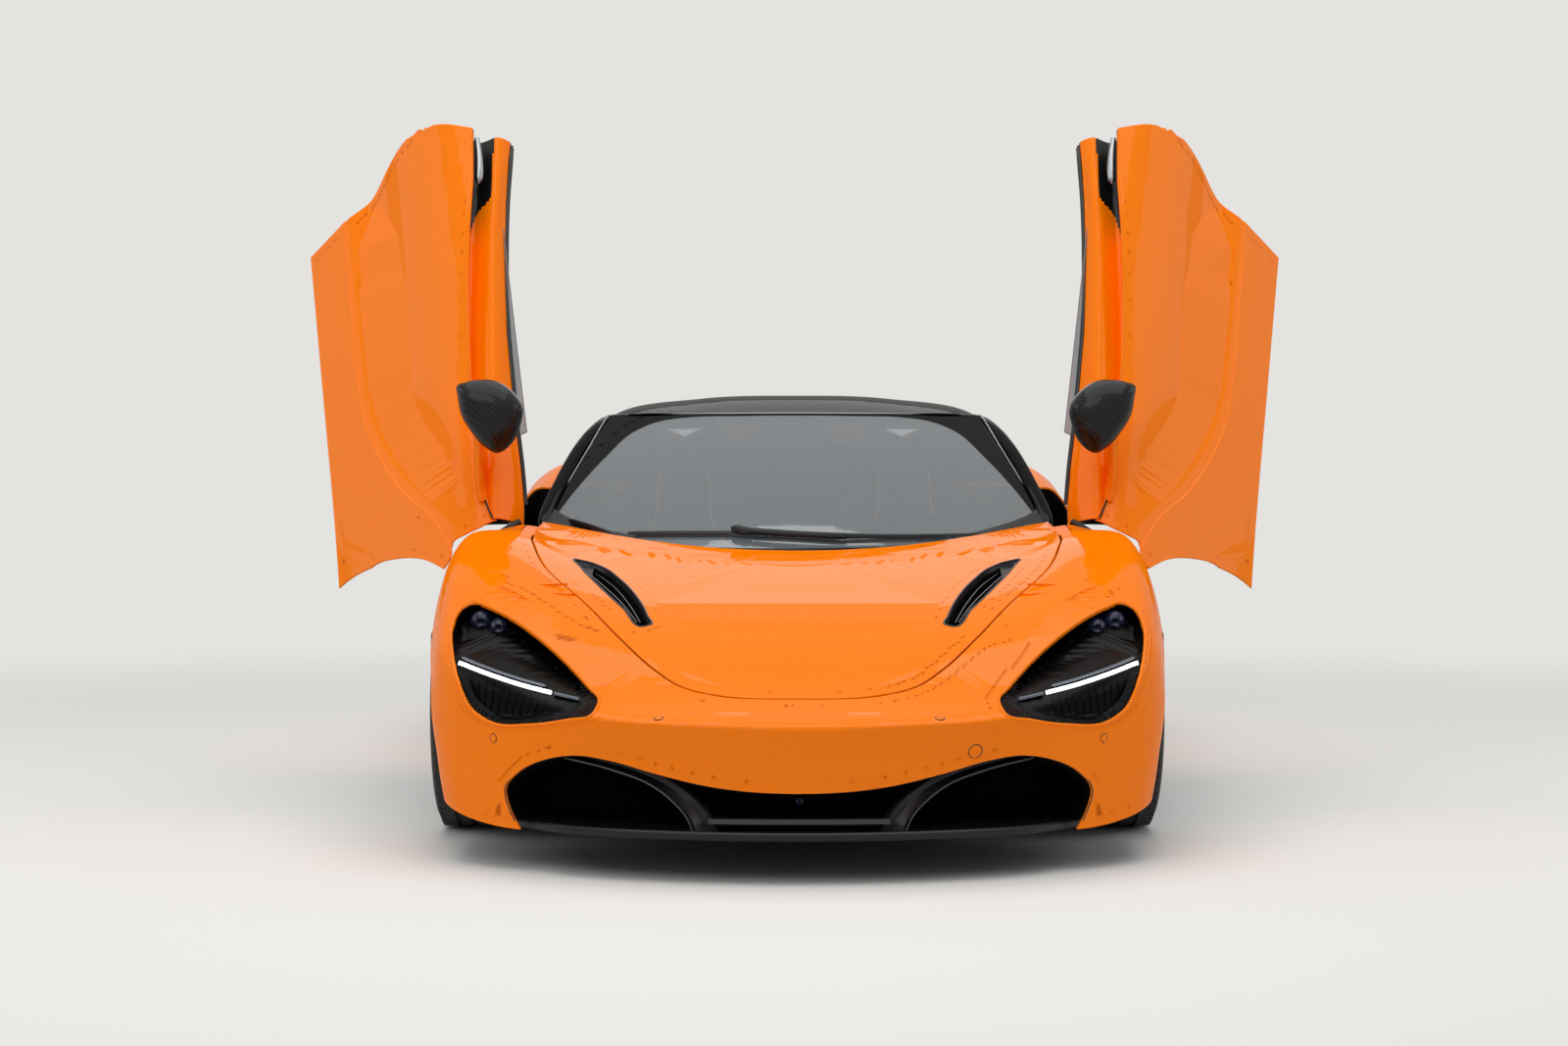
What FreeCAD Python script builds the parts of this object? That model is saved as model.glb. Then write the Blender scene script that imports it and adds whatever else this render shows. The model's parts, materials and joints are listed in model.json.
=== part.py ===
"""Mid-engined two-seat coupe with doors that swing up and out, modelled as its separate pieces.

Frame: +Z up, +Y to the tail, +X to the car's left side, origin on the ground at mid-length.
All sizes are in millimetres. The doors are modelled shut and then turned to where they stand open.
"""
import FreeCAD
import Part
import math
import os

V = FreeCAD.Vector

# Whole car
LENGTH = 4543.0
ROOF_HEIGHT = 1196.0
FRONT_OVERHANG = 1077.0
WHEELBASE = 2670.0
NOSE_Y = -LENGTH / 2
TAIL_Y = LENGTH / 2
FRONT_AXLE_Y = NOSE_Y + FRONT_OVERHANG
REAR_AXLE_Y = FRONT_AXLE_Y + WHEELBASE

# Wheels
FRONT_TRACK = 1674.0
REAR_TRACK = 1629.0
FRONT_TYRE_R = 327.0
REAR_TYRE_R = 345.5
FRONT_TYRE_W = 245.0
REAR_TYRE_W = 305.0
FRONT_RIM_R = 246.0
REAR_RIM_R = 258.0
RIM_WALL = 9.0
SPOKES = 10
TYRE_SEAT = 0.3
FRONT_ARCH_R = 380.0
REAR_ARCH_R = 388.0
KINGPIN_INSET = 55.0
DISC_R = 195.0
DISC_W = 32.0
HUB_R = 62.0
BEAD_INSET = 12.0
FACE_INSET = 30.0
FACE_DEPTH = 78.0
DISC_SET = BEAD_INSET + FACE_INSET + FACE_DEPTH
ARM_HALF_Z = 11.7

# Walls and gaps
SKIN = 4.0
SEAT_GAP = 0.3
SHUT_GAP = 5.5
ROOF_WALL = 22.0
GLASS = 5.0
GLASS_DEPTH = 2.0
LINER = 4.0

# Doors
DOOR_OPEN = 80.0
HINGE_POINT = (806.0, -814.0, 801.0)
HINGE_AXIS = (-0.733, 0.508, 0.453)
DOOR_INNER_X = 724.0
DOOR_WALL = 8.0
DOOR_SILL_Z = 208.0
DOOR_BELT_Z = 905.0
DOOR_TOP_REAR_Y = 439.0
DOOR_LOW_REAR_Y = 261.0
DOOR_FRONT_Y = -772.0
DOOR_TUCK = 18.0
HINGE_PIN_R = 11.0
HINGE_LUG_R = 24.0
HINGE_LUG_L = 46.0
PIN_PLAY = 0.3

# Cabin tub
TUB_FRONT_Y = -760.0
TUB_REAR_Y = 436.0
TUB_FLOOR_Z = 145.0
TUB_WALL = 24.0
SILL_OUT_X = 716.0
SILL_IN_X = 590.0
SILL_TOP_Z = 430.0
TUNNEL_HALF = 95.0
TUNNEL_TOP_Z = 380.0

# Foot of the windscreen pillar: the cowl reaches out to here
PILLAR_PAD_X = 768.0
PILLAR_PAD_Y = -560.0
PILLAR_STEP_Z = 765.0

# Bonnet
BONNET_HINGE_Y = -900.0
BONNET_HINGE_Z = 730.0
BONNET_HINGE_X = 500.0
BONNET_ARM = 14.0
BONNET_PIN_R = 8.0
NECK_IN_R = 118.0
NECK_OUT_R = 140.0

# Body sections from nose to tail. Each row is a station y and seven points of the half section,
# from the rocker up: base, flank, widest, crest, inner crest, deck (each x, z) and the centre z.
BODY_STATIONS = (
    (-2290, (800, 117), (835, 190), (840, 290), (800, 332), (640, 338), (350, 338), 335),
    (-2090, (850, 117), (885, 200), (892, 310), (855, 382), (765, 408), (420, 420), 423),
    (-1850, (885, 120), (922, 250), (925, 385), (885, 510), (785, 545), (480, 535), 528),
    (-1550, (915, 125), (950, 330), (952, 520), (893, 660), (785, 690), (560, 650), 626),
    (-1190, (930, 125), (962, 420), (965, 630), (890, 783), (778, 784), (610, 735), 703),
    (-850, (930, 125), (940, 370), (942, 640), (898, 772), (800, 800), (700, 792), 768),
    (-300, (928, 125), (932, 340), (925, 600), (905, 770), (862, 842), (760, 856), 860),
    (300, (930, 125), (934, 342), (925, 600), (910, 790), (872, 866), (765, 884), 890),
    (900, (935, 125), (948, 390), (950, 640), (925, 855), (850, 935), (720, 945), 930),
    (1475, (940, 130), (962, 420), (965, 690), (925, 890), (835, 955), (680, 940), 925),
    (1900, (915, 190), (945, 450), (945, 710), (885, 855), (785, 905), (600, 900), 895),
    (2290, (850, 260), (885, 480), (880, 660), (830, 800), (730, 850), (500, 862), 865),
)

# Cabin canopy from the header to the tail: y, then base, side, roof edge (each x, z) and centre z.
CANOPY_STATIONS = (
    (-330, (720, 800), (655, 985), (560, 1092), 1098),
    (0, (748, 800), (665, 1010), (566, 1135), 1175),
    (280, (765, 800), (668, 1015), (560, 1152), ROOF_HEIGHT),
    (620, (785, 800), (690, 1020), (535, 1135), 1182),
    (1050, (790, 800), (690, 1010), (480, 1070), 1105),
    (1500, (745, 800), (620, 966), (400, 990), 1004),
    (2080, (620, 780), (500, 890), (300, 900), 906),
)

PARTS = {}


def mirror(shape):
    """The same piece on the other side of the car."""
    return shape.mirror(V(0, 0, 0), V(1, 0, 0))


def polygon(points):
    """A closed wire through 3-D points."""
    return Part.makePolygon([V(*p) for p in points] + [V(*points[0])])


def prism_y(outline, y0, y1):
    """A front-view outline of x, z points pulled from y0 to y1."""
    return Part.Face(polygon([(x, y0, z) for x, z in outline])).extrude(V(0, y1 - y0, 0))


def prism_z(outline, z0, z1):
    """A plan outline of x, y points pulled from z0 to z1."""
    return Part.Face(polygon([(x, y, z0) for x, y in outline])).extrude(V(0, 0, z1 - z0))


def prism_x(outline, x0, x1):
    """A side-view outline of y, z points pulled from x0 to x1."""
    return Part.Face(polygon([(x0, y, z) for y, z in outline])).extrude(V(x1 - x0, 0, 0))


def prism_band(outline, x_centre, half_width):
    """A side-view outline pulled to both sides of a lengthways plane."""
    return prism_x(outline, x_centre - half_width, x_centre + half_width)


def box(x0, x1, y0, y1, z0, z1):
    """A box between two corners."""
    return Part.makeBox(x1 - x0, y1 - y0, z1 - z0, V(x0, y0, z0))


def tube_x(radius, x0, x1, y, z):
    """A cylinder along X."""
    return Part.makeCylinder(radius, x1 - x0, V(x0, y, z), V(1, 0, 0))


def inset(points, distance):
    """A closed outline moved inwards by a distance, with mitred corners."""
    moved = []
    count = len(points)
    for i in range(count):
        (x0, z0), (x1, z1), (x2, z2) = points[i - 1], points[i], points[(i + 1) % count]
        a, b = math.hypot(x1 - x0, z1 - z0), math.hypot(x2 - x1, z2 - z1)
        n0 = ((z1 - z0) / a, -(x1 - x0) / a)
        n1 = ((z2 - z1) / b, -(x2 - x1) / b)
        mx, mz = n0[0] + n1[0], n0[1] + n1[1]
        scale = 2 * distance / (mx * mx + mz * mz)
        moved.append((x1 - mx * scale, z1 - mz * scale))
    return moved


def section(row, depth):
    """One closed cross-section of a loft, moved in by a depth."""
    y, half, centre = row[0], list(row[1:-1]), row[-1]
    right_up = half + [(0.0, centre)]
    left_down = [(-x, z) for x, z in reversed(half)]
    outline = inset(right_up + left_down, depth)
    return polygon([(x, y, z) for x, z in outline])


def loft(rows, depth):
    """A smooth solid through all sections, moved in by a depth."""
    return Part.makeLoft([section(row, depth) for row in rows], True, False)


def plan_prism(depth):
    """The rounded nose and tail seen from above, as a tall prism moved in by a depth."""
    side, nose_corner, tail_corner = 1100.0, (880.0, 392.0), (870.0, 150.0)
    nose, tail = NOSE_Y + depth, TAIL_Y - depth
    z0, z1 = 0.0, 1400.0
    points = [V(-nose_corner[0] + depth, nose + nose_corner[1], z0), V(0, nose, z0),
              V(nose_corner[0] - depth, nose + nose_corner[1], z0)]
    rear = [V(tail_corner[0] - depth, tail - tail_corner[1], z0), V(0, tail, z0),
            V(-tail_corner[0] + depth, tail - tail_corner[1], z0)]
    flare_front, flare_rear = 260.0, 500.0
    edges = [Part.Arc(*points).toShape(),
             Part.makePolygon([points[2], V(side, points[2].y + flare_front, z0),
                               V(side, rear[0].y - flare_rear, z0), rear[0]]),
             Part.Arc(*rear).toShape(),
             Part.makePolygon([rear[2], V(-side, rear[0].y - flare_rear, z0),
                               V(-side, points[2].y + flare_front, z0), points[0]])]
    wire = Part.Wire([e for part in edges for e in part.Edges])
    return Part.Face(wire).extrude(V(0, 0, z1))


def arch_cutters():
    """Cylinders through both wheel arches on both sides."""
    cutters = []
    for y, z, r, inner in ((FRONT_AXLE_Y, FRONT_TYRE_R, FRONT_ARCH_R, 560.0),
                           (REAR_AXLE_Y, REAR_TYRE_R, REAR_ARCH_R, 600.0)):
        for sign in (-1, 1):
            x0, x1 = sorted((sign * inner, sign * 1100.0))
            cutters.append(tube_x(r, x0, x1, y, z))
            cutters.append(box(x0, x1, y - r, y + r, 0, z))
    return cutters


BODY = {depth: loft(BODY_STATIONS, depth).common(plan_prism(depth)) for depth in (0.0, SKIN, SKIN + SEAT_GAP)}
CANOPY = {depth: loft(CANOPY_STATIONS, depth)
          for depth in (-SEAT_GAP, 0.0, GLASS_DEPTH, GLASS_DEPTH + GLASS, ROOF_WALL)}
SHELL = BODY[0.0].cut(BODY[SKIN])
for cutter in arch_cutters():
    SHELL = SHELL.cut(cutter)


def mirrored_plan(half):
    """A plan outline from its right half, which starts and ends on the centre line."""
    return list(half) + [(-x, y) for x, y in reversed(half) if x > 0]


def grow(outline, distance):
    """An outline of any winding moved outwards by a distance."""
    pairs = zip(outline, outline[1:] + outline[:1])
    area = sum(a[0] * b[1] - b[0] * a[1] for a, b in pairs)
    return inset(outline, -distance if area > 0 else distance)


def both(shape):
    """A piece and its mirror image as one compound."""
    solids = shape.Solids
    return Part.makeCompound(solids + [mirror(s) for s in solids])


# Bonnet outline in plan, right half from the front centre to the rear centre
BONNET_PLAN = ((0, -2090), (230, -2075), (345, -2000), (430, -1850), (560, -1560), (690, -1150),
               (716, -990), (400, -1006), (0, -1014))
bonnet_line = mirrored_plan(BONNET_PLAN)
bonnet_prism = prism_z(bonnet_line, 300, 1000)
bonnet_gap = prism_z(grow(bonnet_line, SHUT_GAP), 300, 1000)

# Line between bumper and fenders in plan
BUMPER_SPLIT = ((0, -1850), (430, -1850), (745, -1610), (1100, -1530))
bumper_zone = prism_z(mirrored_plan(BUMPER_SPLIT + ((1100, -2400), (0, -2400))), 0, 1000)

# Headlamp outline from the front, x and z
LAMP_OUTLINE = ((821, 632), (852, 590), (862, 527), (845, 400), (792, 346), (677, 338), (545, 358),
                (497, 390), (545, 456), (677, 563), (760, 618))

# Door outline from the side: y and z, without the arch, which a cylinder cuts
DOOR_SIDE = ((-848, DOOR_SILL_Z), (-1010, 500), (-920, 600), (-843, 648), (-806, 770),
             (DOOR_FRONT_Y, DOOR_BELT_Z), (DOOR_TOP_REAR_Y + 10, DOOR_BELT_Z),
             (DOOR_TOP_REAR_Y, 867), (323, 342), (DOOR_LOW_REAR_Y, DOOR_SILL_Z))


def door_zone(margin, tuck=0.0):
    """The left door's space from the side, grown by a margin, its low rear edge tucked forward."""
    side = list(DOOR_SIDE[:-2]) + [(DOOR_SIDE[-2][0] - tuck, DOOR_SIDE[-2][1]), (DOOR_LOW_REAR_Y - tuck, DOOR_SILL_Z)]
    zone = prism_x(grow(side, margin), DOOR_INNER_X - margin, 1100.0)
    step_x, step_y = PILLAR_PAD_X + SHUT_GAP - margin, PILLAR_PAD_Y + SHUT_GAP - margin
    zone = zone.cut(box(0, step_x, -1000, step_y, PILLAR_STEP_Z + margin, 1200))
    return zone.cut(tube_x(FRONT_ARCH_R + SHUT_GAP - margin, 0, 1200, FRONT_AXLE_Y, FRONT_TYRE_R))


def on_axis(distance):
    """A point on the left door's hinge axis."""
    return V(*HINGE_POINT) + V(*HINGE_AXIS) * distance


def axis_rod(radius, start, end):
    """A cylinder on the left door's hinge axis between two distances."""
    return Part.makeCylinder(radius, end - start, on_axis(start), V(*HINGE_AXIS))


hinge_pocket = axis_rod(HINGE_LUG_R + SHUT_GAP, -95, 60)
door_gap = door_zone(SHUT_GAP).fuse(hinge_pocket)
door_gap_both = door_gap.fuse(mirror(door_gap))

# Front skin: bumper, fenders, bonnet and cowl
front_skin = SHELL.cut(bonnet_gap).cut(door_gap_both)
lamp_cut = prism_y(LAMP_OUTLINE, -2200, -1500)
INTAKE = ((0, 211), (209, 225), (338, 252), (452, 280), (535, 289), (609, 275), (673, 243), (706, 201),
          (690, 150), (0, 150))
intake_cut = prism_y(mirrored_plan(INTAKE), -2400, -1900)
bumper = front_skin.common(bumper_zone).cut(lamp_cut).cut(mirror(lamp_cut)).cut(intake_cut)
PARTS["front_bumper"] = bumper.cut(box(-1100, 1100, -2400, -1500, 0, 140))

COWL_PLAN = ((0, -1022), (400, -1012), (PILLAR_PAD_X, -996), (PILLAR_PAD_X, PILLAR_PAD_Y), (0, PILLAR_PAD_Y))
cowl_zone = prism_z(mirrored_plan(COWL_PLAN), 600, 1000)
fender_zone = box(0, 1100, -2400, -782, 140, 1000).cut(bumper_zone).cut(cowl_zone)
fender_zone = fender_zone.cut(box(0, 1100, -1190, -600, 0, 206)).cut(box(0, 600, -1012, -600, 0, 1000))
PARTS["front_fenders"] = both(front_skin.common(fender_zone))

# Bonnet skin with a stiff rim folded under its edge
rim_zone = prism_z(grow(bonnet_line, -14), 300, 1000).cut(prism_z(grow(bonnet_line, -44), 300, 1000))
bonnet_rim = BODY[SKIN].common(rim_zone).cut(BODY[SKIN].translated(V(0, 0, -14)))


def around_hinge(radius, degrees):
    """A y, z point on a circle round the bonnet hinge, 180 being straight ahead of it."""
    turn = math.radians(degrees)
    return (BONNET_HINGE_Y + radius * math.cos(turn), BONNET_HINGE_Z + radius * math.sin(turn))


neck_outline = [around_hinge(NECK_OUT_R + 25, 172), around_hinge(NECK_IN_R + 4, 176)]
neck_outline += [around_hinge(NECK_IN_R, angle) for angle in (190, 205, 220, 235)]
neck_outline += [around_hinge(14, 200), around_hinge(14, 300)]
neck_outline += [around_hinge(NECK_OUT_R, angle) for angle in (252, 235, 220, 205, 190)]
neck = prism_band(neck_outline, BONNET_HINGE_X, BONNET_ARM / 2)
neck_x0, neck_x1 = BONNET_HINGE_X - BONNET_ARM / 2, BONNET_HINGE_X + BONNET_ARM / 2
neck = neck.fuse(tube_x(16, neck_x0, neck_x1, BONNET_HINGE_Y, BONNET_HINGE_Z))
neck = neck.cut(tube_x(BONNET_PIN_R + PIN_PLAY, 0, 1000, BONNET_HINGE_Y, BONNET_HINGE_Z))
neck = neck.common(BODY[SKIN])
PARTS["bonnet"] = SHELL.common(bonnet_prism).fuse(bonnet_rim).fuse(neck).fuse(mirror(neck))

# Headlamps: a deep black bowl behind each opening
lamp_block = BODY[SKIN + SEAT_GAP].common(prism_y(grow(list(LAMP_OUTLINE), -SEAT_GAP), -2150, -1560))
lamp_block = lamp_block.cut(bonnet_gap).cut(BODY[0.0].translated(V(0, 60, -10)))
PARTS["headlamps"] = both(lamp_block)

# Splitter and the grille behind the intake
SPLITTER_PLAN = ((0, -2271), (300, -2232), (560, -2125), (760, -1985), (860, -1880), (905, -1700),
                 (560, -1600), (0, -1600))
splitter = prism_z(mirrored_plan(SPLITTER_PLAN), 117, 140).common(plan_prism(0.0))
PARTS["front_splitter"] = splitter
grille = prism_y(grow(mirrored_plan(INTAKE), -2), -2010, -1998)
for x in range(-640, 641, 40):
    grille = grille.cut(box(x - 14, x + 14, -2020, -1990, 158, 196))
    if abs(x) > 340:
        grille = grille.cut(box(x - 14, x + 14, -2020, -1990, 202, 240))
floor_lip = box(-640, 640, -2010, -1990, 140, 152)
PARTS["intake_grille"] = grille.fuse(floor_lip)

# Windscreen and its pillars: base and header points of the glass edge
SCREEN_BASE = ((737, -690, 776), (0, -989, 737))
SCREEN_HEAD = ((576, -60, 1123), (0, -232, 1128))


def edge_arc(corner, middle):
    """The edge of the glass as an arc from the left corner to the right one."""
    return Part.Arc(V(*corner), V(*middle), V(-corner[0], corner[1], corner[2])).toShape()


glass_in = V(0, 0.40, -0.917) * GLASS
screen_face = Part.makeRuledSurface(edge_arc(*SCREEN_BASE), edge_arc(*SCREEN_HEAD))
PARTS["windscreen"] = screen_face.extrude(glass_in)
behind_screen = screen_face.translated(V(0, -0.3, 0.6)).extrude(V(0, 500, 0))
cowl_notch = ((-735, -670), (735, -670), (690, PILLAR_PAD_Y + 1), (-690, PILLAR_PAD_Y + 1))
behind_screen = behind_screen.fuse(prism_z(cowl_notch, 600, 1000))
PARTS["cowl"] = front_skin.common(cowl_zone).cut(behind_screen)


def pillar_section(x, y, z):
    """A level section of the left windscreen pillar outboard of the glass edge."""
    return polygon([(x + 0.5, y - 2, z), (x + 30, y + 22, z), (x + 26, y + 60, z), (x - 6, y + 30, z)])


base_corner, head_corner = V(*SCREEN_BASE[0]), V(*SCREEN_HEAD[0])
pillar = Part.makeLoft([pillar_section(*(base_corner + (head_corner - base_corner) * t)) for t in (0.0, 1.04)],
                       True, True)
pillar = pillar.cut(BODY[0.0].translated(V(0, 0, SEAT_GAP)))

# Roof, rear screen, buttresses and engine cover, all from the canopy
roof_wall = CANOPY[0.0].cut(CANOPY[ROOF_WALL])
flat_arc = Part.Arc(V(576, -57.4, 850), V(0, -229.4, 850), V(-576, -57.4, 850)).toShape()
header_rest = Part.makePolygon([V(-576, -57.4, 850), V(-900, 140, 850), V(-900, 560, 850), V(900, 560, 850),
                                V(900, 140, 850), V(576, -57.4, 850)])
header = Part.Face(Part.Wire([flat_arc] + header_rest.Edges)).extrude(V(0, 0, 450))
SIDE_WINDOW = ((-700, 780), (-700, 1000), (-120, 1092), (60, 1108), (300, 1112), (440, 1070), (470, 780))
roof = roof_wall.common(header).cut(prism_x(SIDE_WINDOW, -1100, 1100))
PARTS["roof_frame"] = roof.fuse(pillar).fuse(mirror(pillar))

GLASS_PLAN = ((0, 566), (440, 566), (440, 900), (300, 1010), (0, 1010))
glass_plan = mirrored_plan(GLASS_PLAN)
rear_glass = CANOPY[GLASS_DEPTH].cut(CANOPY[GLASS_DEPTH + GLASS])
PARTS["rear_screen"] = rear_glass.common(prism_z(glass_plan, 950, 1300))
deck_wall = roof_wall.common(box(-1100, 1100, 560, 2060, 850, 1300))
ENGINE_PLAN = ((0, 1010), (300, 1010), (380, 1100), (330, 1600), (260, 2060), (0, 2060))
engine_prism = prism_z(mirrored_plan(ENGINE_PLAN), 840, 1300)
buttress = deck_wall.cut(prism_z(grow(glass_plan, SEAT_GAP), 840, 1300)).cut(engine_prism)
PARTS["rear_buttresses"] = buttress
engine_cover = deck_wall.common(engine_prism)
for y in range(1180, 1900, 90):
    engine_cover = engine_cover.cut(box(-150, 150, y, y + 45, 800, 1300))
PARTS["engine_cover"] = engine_cover

rear_skin = SHELL.cut(door_gap_both).cut(CANOPY[-SEAT_GAP])
quarter_zone = box(0, 1100, 200, 2000, 126, 1100).cut(box(0, 600, 0, 2100, 300, 1100))
quarter_zone = quarter_zone.cut(box(0, 720, 0, 470, 0, 1100))
quarter_zone = quarter_zone.cut(box(0, 1100, 0, 300, 0, 206))
PARTS["rear_quarters"] = both(rear_skin.common(quarter_zone))
TAIL_OPENING = ((0, 800), (600, 800), (790, 740), (800, 640), (640, 520), (560, 400), (0, 400))
tail_cut = prism_y(mirrored_plan(TAIL_OPENING), 2120, 2400)
rear_bumper = rear_skin.common(box(-1100, 1100, 2000, 2400, 126, 1000)).cut(tail_cut)
rear_bumper = rear_bumper.cut(box(-600, 600, 2000, 2060, 700, 1000))
PARTS["rear_bumper"] = rear_bumper

skirt = SHELL.cut(door_gap_both).common(box(SILL_OUT_X + SEAT_GAP, 1100, -1100, 300, 110, 206))
PARTS["side_skirts"] = both(skirt)
TRAY_PLAN = ((0, -1600), (560, -1600), (560, -815), (700, -815), (700, 1085), (600, 1085), (600, 1900), (0, 1900))
undertray = prism_z(mirrored_plan(TRAY_PLAN), 117, 125)

# Cabin tub: floor, box sills, tunnel and the two bulkheads
tub = box(-SILL_OUT_X, SILL_OUT_X, TUB_FRONT_Y, TUB_REAR_Y, 125, TUB_FLOOR_Z)
SILL_SECTION = ((SILL_IN_X, TUB_FLOOR_Z), (SILL_OUT_X, TUB_FLOOR_Z), (SILL_OUT_X, 390),
                (SILL_OUT_X - 30, SILL_TOP_Z), (SILL_IN_X + 30, SILL_TOP_Z), (SILL_IN_X, 330))
sill = prism_y(SILL_SECTION, TUB_FRONT_Y, TUB_REAR_Y)
tunnel = prism_y(((-TUNNEL_HALF, TUB_FLOOR_Z), (TUNNEL_HALF, TUB_FLOOR_Z), (TUNNEL_HALF - 25, TUNNEL_TOP_Z),
                  (25 - TUNNEL_HALF, TUNNEL_TOP_Z)), TUB_FRONT_Y, TUB_REAR_Y)
inside_body = BODY[SKIN + SEAT_GAP]
front_wall = box(-700, 700, TUB_FRONT_Y - TUB_WALL, TUB_FRONT_Y, 125, 735)
rear_wall = box(-700, 700, TUB_REAR_Y, TUB_REAR_Y + TUB_WALL, 125, 838)
bracket_x = BONNET_HINGE_X + BONNET_ARM / 2 + SHUT_GAP
bracket = box(bracket_x, bracket_x + 16, BONNET_HINGE_Y - 12, TUB_FRONT_Y - TUB_WALL,
              BONNET_HINGE_Z - 14, BONNET_HINGE_Z + 12)
bracket = bracket.fuse(tube_x(BONNET_PIN_R, BONNET_HINGE_X - 16, bracket_x + 2, BONNET_HINGE_Y, BONNET_HINGE_Z))
for extra in (sill, mirror(sill), tunnel, front_wall, rear_wall, bracket, mirror(bracket)):
    tub = tub.fuse(extra)

# Hinge towers on the front wall, with the fixed pins that the doors turn on
PIN_FAR, PIN_NEAR, LUG_HALF = -78.0, 26.0, HINGE_LUG_L / 2
tower = box(560, 700, -905, TUB_FRONT_Y - TUB_WALL, 670, 722).fuse(box(560, 872, -905, -866, 670, 722))
post_top = on_axis(-58)
post = box(post_top.x - 16, post_top.x + 16, post_top.y - 24, post_top.y + 6, 700, post_top.z)
tower = tower.fuse(post).fuse(axis_rod(HINGE_PIN_R + 6, PIN_FAR + 6, -LUG_HALF - 6)).common(BODY[SKIN + SEAT_GAP])
hinge = tower.fuse(axis_rod(HINGE_PIN_R, PIN_FAR + 6, PIN_NEAR))
PARTS["tub"] = tub.fuse(hinge).fuse(mirror(hinge))

# Front luggage bay and crash beam
BAY = (410.0, -1960.0, TUB_FRONT_Y - TUB_WALL, 250.0, 640.0)
bay_slope = prism_x(((BAY[1], BAY[3]), (BAY[2], BAY[3]), (BAY[2], BAY[4]), (-1560, BAY[4] - 60), (BAY[1], 430)),
                    -BAY[0], BAY[0])
bay_hollow = prism_x(((BAY[1] + 8, BAY[3] + 8), (BAY[2] - 8, BAY[3] + 8), (BAY[2] - 8, 900), (BAY[1] + 8, 900)),
                     8 - BAY[0], BAY[0] - 8)
PARTS["luggage_bay"] = bay_slope.cut(bay_hollow)

# Engine and gearbox as one plain block
GEARBOX_Z = 230.0
engine = box(-290, 290, TUB_REAR_Y + TUB_WALL, 1150, 190, 700).fuse(box(-190, 190, 1150, 1760, GEARBOX_Z, 560))
PARTS["engine_block"] = engine

# Dashboard, from its side outline
DASH = ((TUB_FRONT_Y, 560), (-520, 545), (-430, 590), (-420, 640), (-470, 716), (TUB_FRONT_Y, 742))
dash = prism_x(DASH, -640, 640)
binnacle = prism_x(((-560, 700), (-430, 690), (-440, 752), (-560, 758)), 255, 465)
PARTS["dashboard"] = dash.fuse(binnacle)
wheel_centre, wheel_tilt = V(360, -330, 655), V(0, 0.93, 0.37)
steering_ring = Part.makeTorus(168, 15, wheel_centre, wheel_tilt)
column = Part.makeCylinder(26, 130, wheel_centre - wheel_tilt * 118, wheel_tilt)
spoke_bar = Part.makeBox(310, 14, 34, wheel_centre + V(-155, -7, -17))
PARTS["steering_wheel"] = steering_ring.fuse(column.cut(dash)).fuse(spoke_bar)

# Seats: a shell bucket with side bolsters, from side outlines
SEAT_X, SEAT_HALF = 355.0, 210.0
CUSHION = ((-340, 200), (-300, 330), (60, 275), (330, 860), (300, 985), (370, 985), (410, 850), (170, 200))
seat_core = prism_band(CUSHION, SEAT_X, SEAT_HALF)
seat_foot = box(SEAT_X - 190, SEAT_X + 190, -250, 150, TUB_FLOOR_Z, 200)
BOLSTER = ((-330, 280), (-300, 375), (40, 350), (240, 800), (330, 800), (170, 280))
seat = seat_core.fuse(seat_foot)
for side in (-1, 1):
    x = SEAT_X + side * (SEAT_HALF - 35)
    seat = seat.fuse(prism_band(BOLSTER, x, 35))
seat = seat.cut(box(SEAT_X + SEAT_HALF - 60, SEAT_X + SEAT_HALF + 60, 0, 500, 900, 1000))
PARTS["seats"] = both(seat)

# Doors, shut: painted skin, inner tray, lowered glass and mirror
door_inner = inside_body.common(door_zone(0, DOOR_TUCK))
hollow = BODY[0.0].common(door_zone(-DOOR_WALL, DOOR_TUCK)).common(box(0, 1100, -1100, 600, 0, 838))
# The tray steps back from the fender round the hinge and from the foot of the pillar
hinge_relief = axis_rod(72, -125, -LUG_HALF - 5).cut(axis_rod(HINGE_LUG_R, -130, 0))
pillar_relief = box(700, 745, -600, -480, 772, 1000).fuse(box(700, PILLAR_PAD_X + SHUT_GAP, -700, -545, 748, 1000))
GLASS_X, GLASS_T = 770.0, 4.5
slot = box(GLASS_X - SEAT_GAP, GLASS_X + GLASS_T + 6, -640, 405, 800, 1000)
lug = axis_rod(HINGE_LUG_R, -LUG_HALF, LUG_HALF)
lug_arm = box(784, 812, -818, -730, 762, 790).common(inside_body)
bore = axis_rod(HINGE_PIN_R + PIN_PLAY, -200, 200)
door_inner = door_inner.cut(hollow).cut(slot).cut(hinge_relief).cut(pillar_relief)
door_inner = door_inner.fuse(lug_arm).fuse(lug).cut(bore)
door_skin = SHELL.common(door_zone(0)).cut(slot).cut(hinge_pocket)
GLASS_SIDE = ((-535, 780), (-535, 866), (390, 866), (380, 800), (290, 420), (-420, 420))
door_glass = prism_x(GLASS_SIDE, GLASS_X, GLASS_X + GLASS_T)
mirror_head = Part.makeLoft([polygon([(x, -579 + dy * k, 915 + dz * k) for dy, dz in
                            ((-62, -45), (-62, 30), (-30, 62), (40, 62), (48, 40), (48, -50), (-20, -66))])
                             for x, k in ((912, 0.75), (960, 1.0), (1060, 1.0), (1098, 0.7))], True, False)
stalk = Part.makeLoft([polygon([(x, y - 40, z), (x + 34, y - 30, z), (x + 34, y + 30, z), (x, y + 40, z)])
                       for x, y, z in ((862, -660, 760), (905, -620, 830), (935, -585, 880))], True, True)
door_mirror = mirror_head.fuse(stalk).cut(BODY[0.0].translated(V(SEAT_GAP, 0, SEAT_GAP)))

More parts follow.
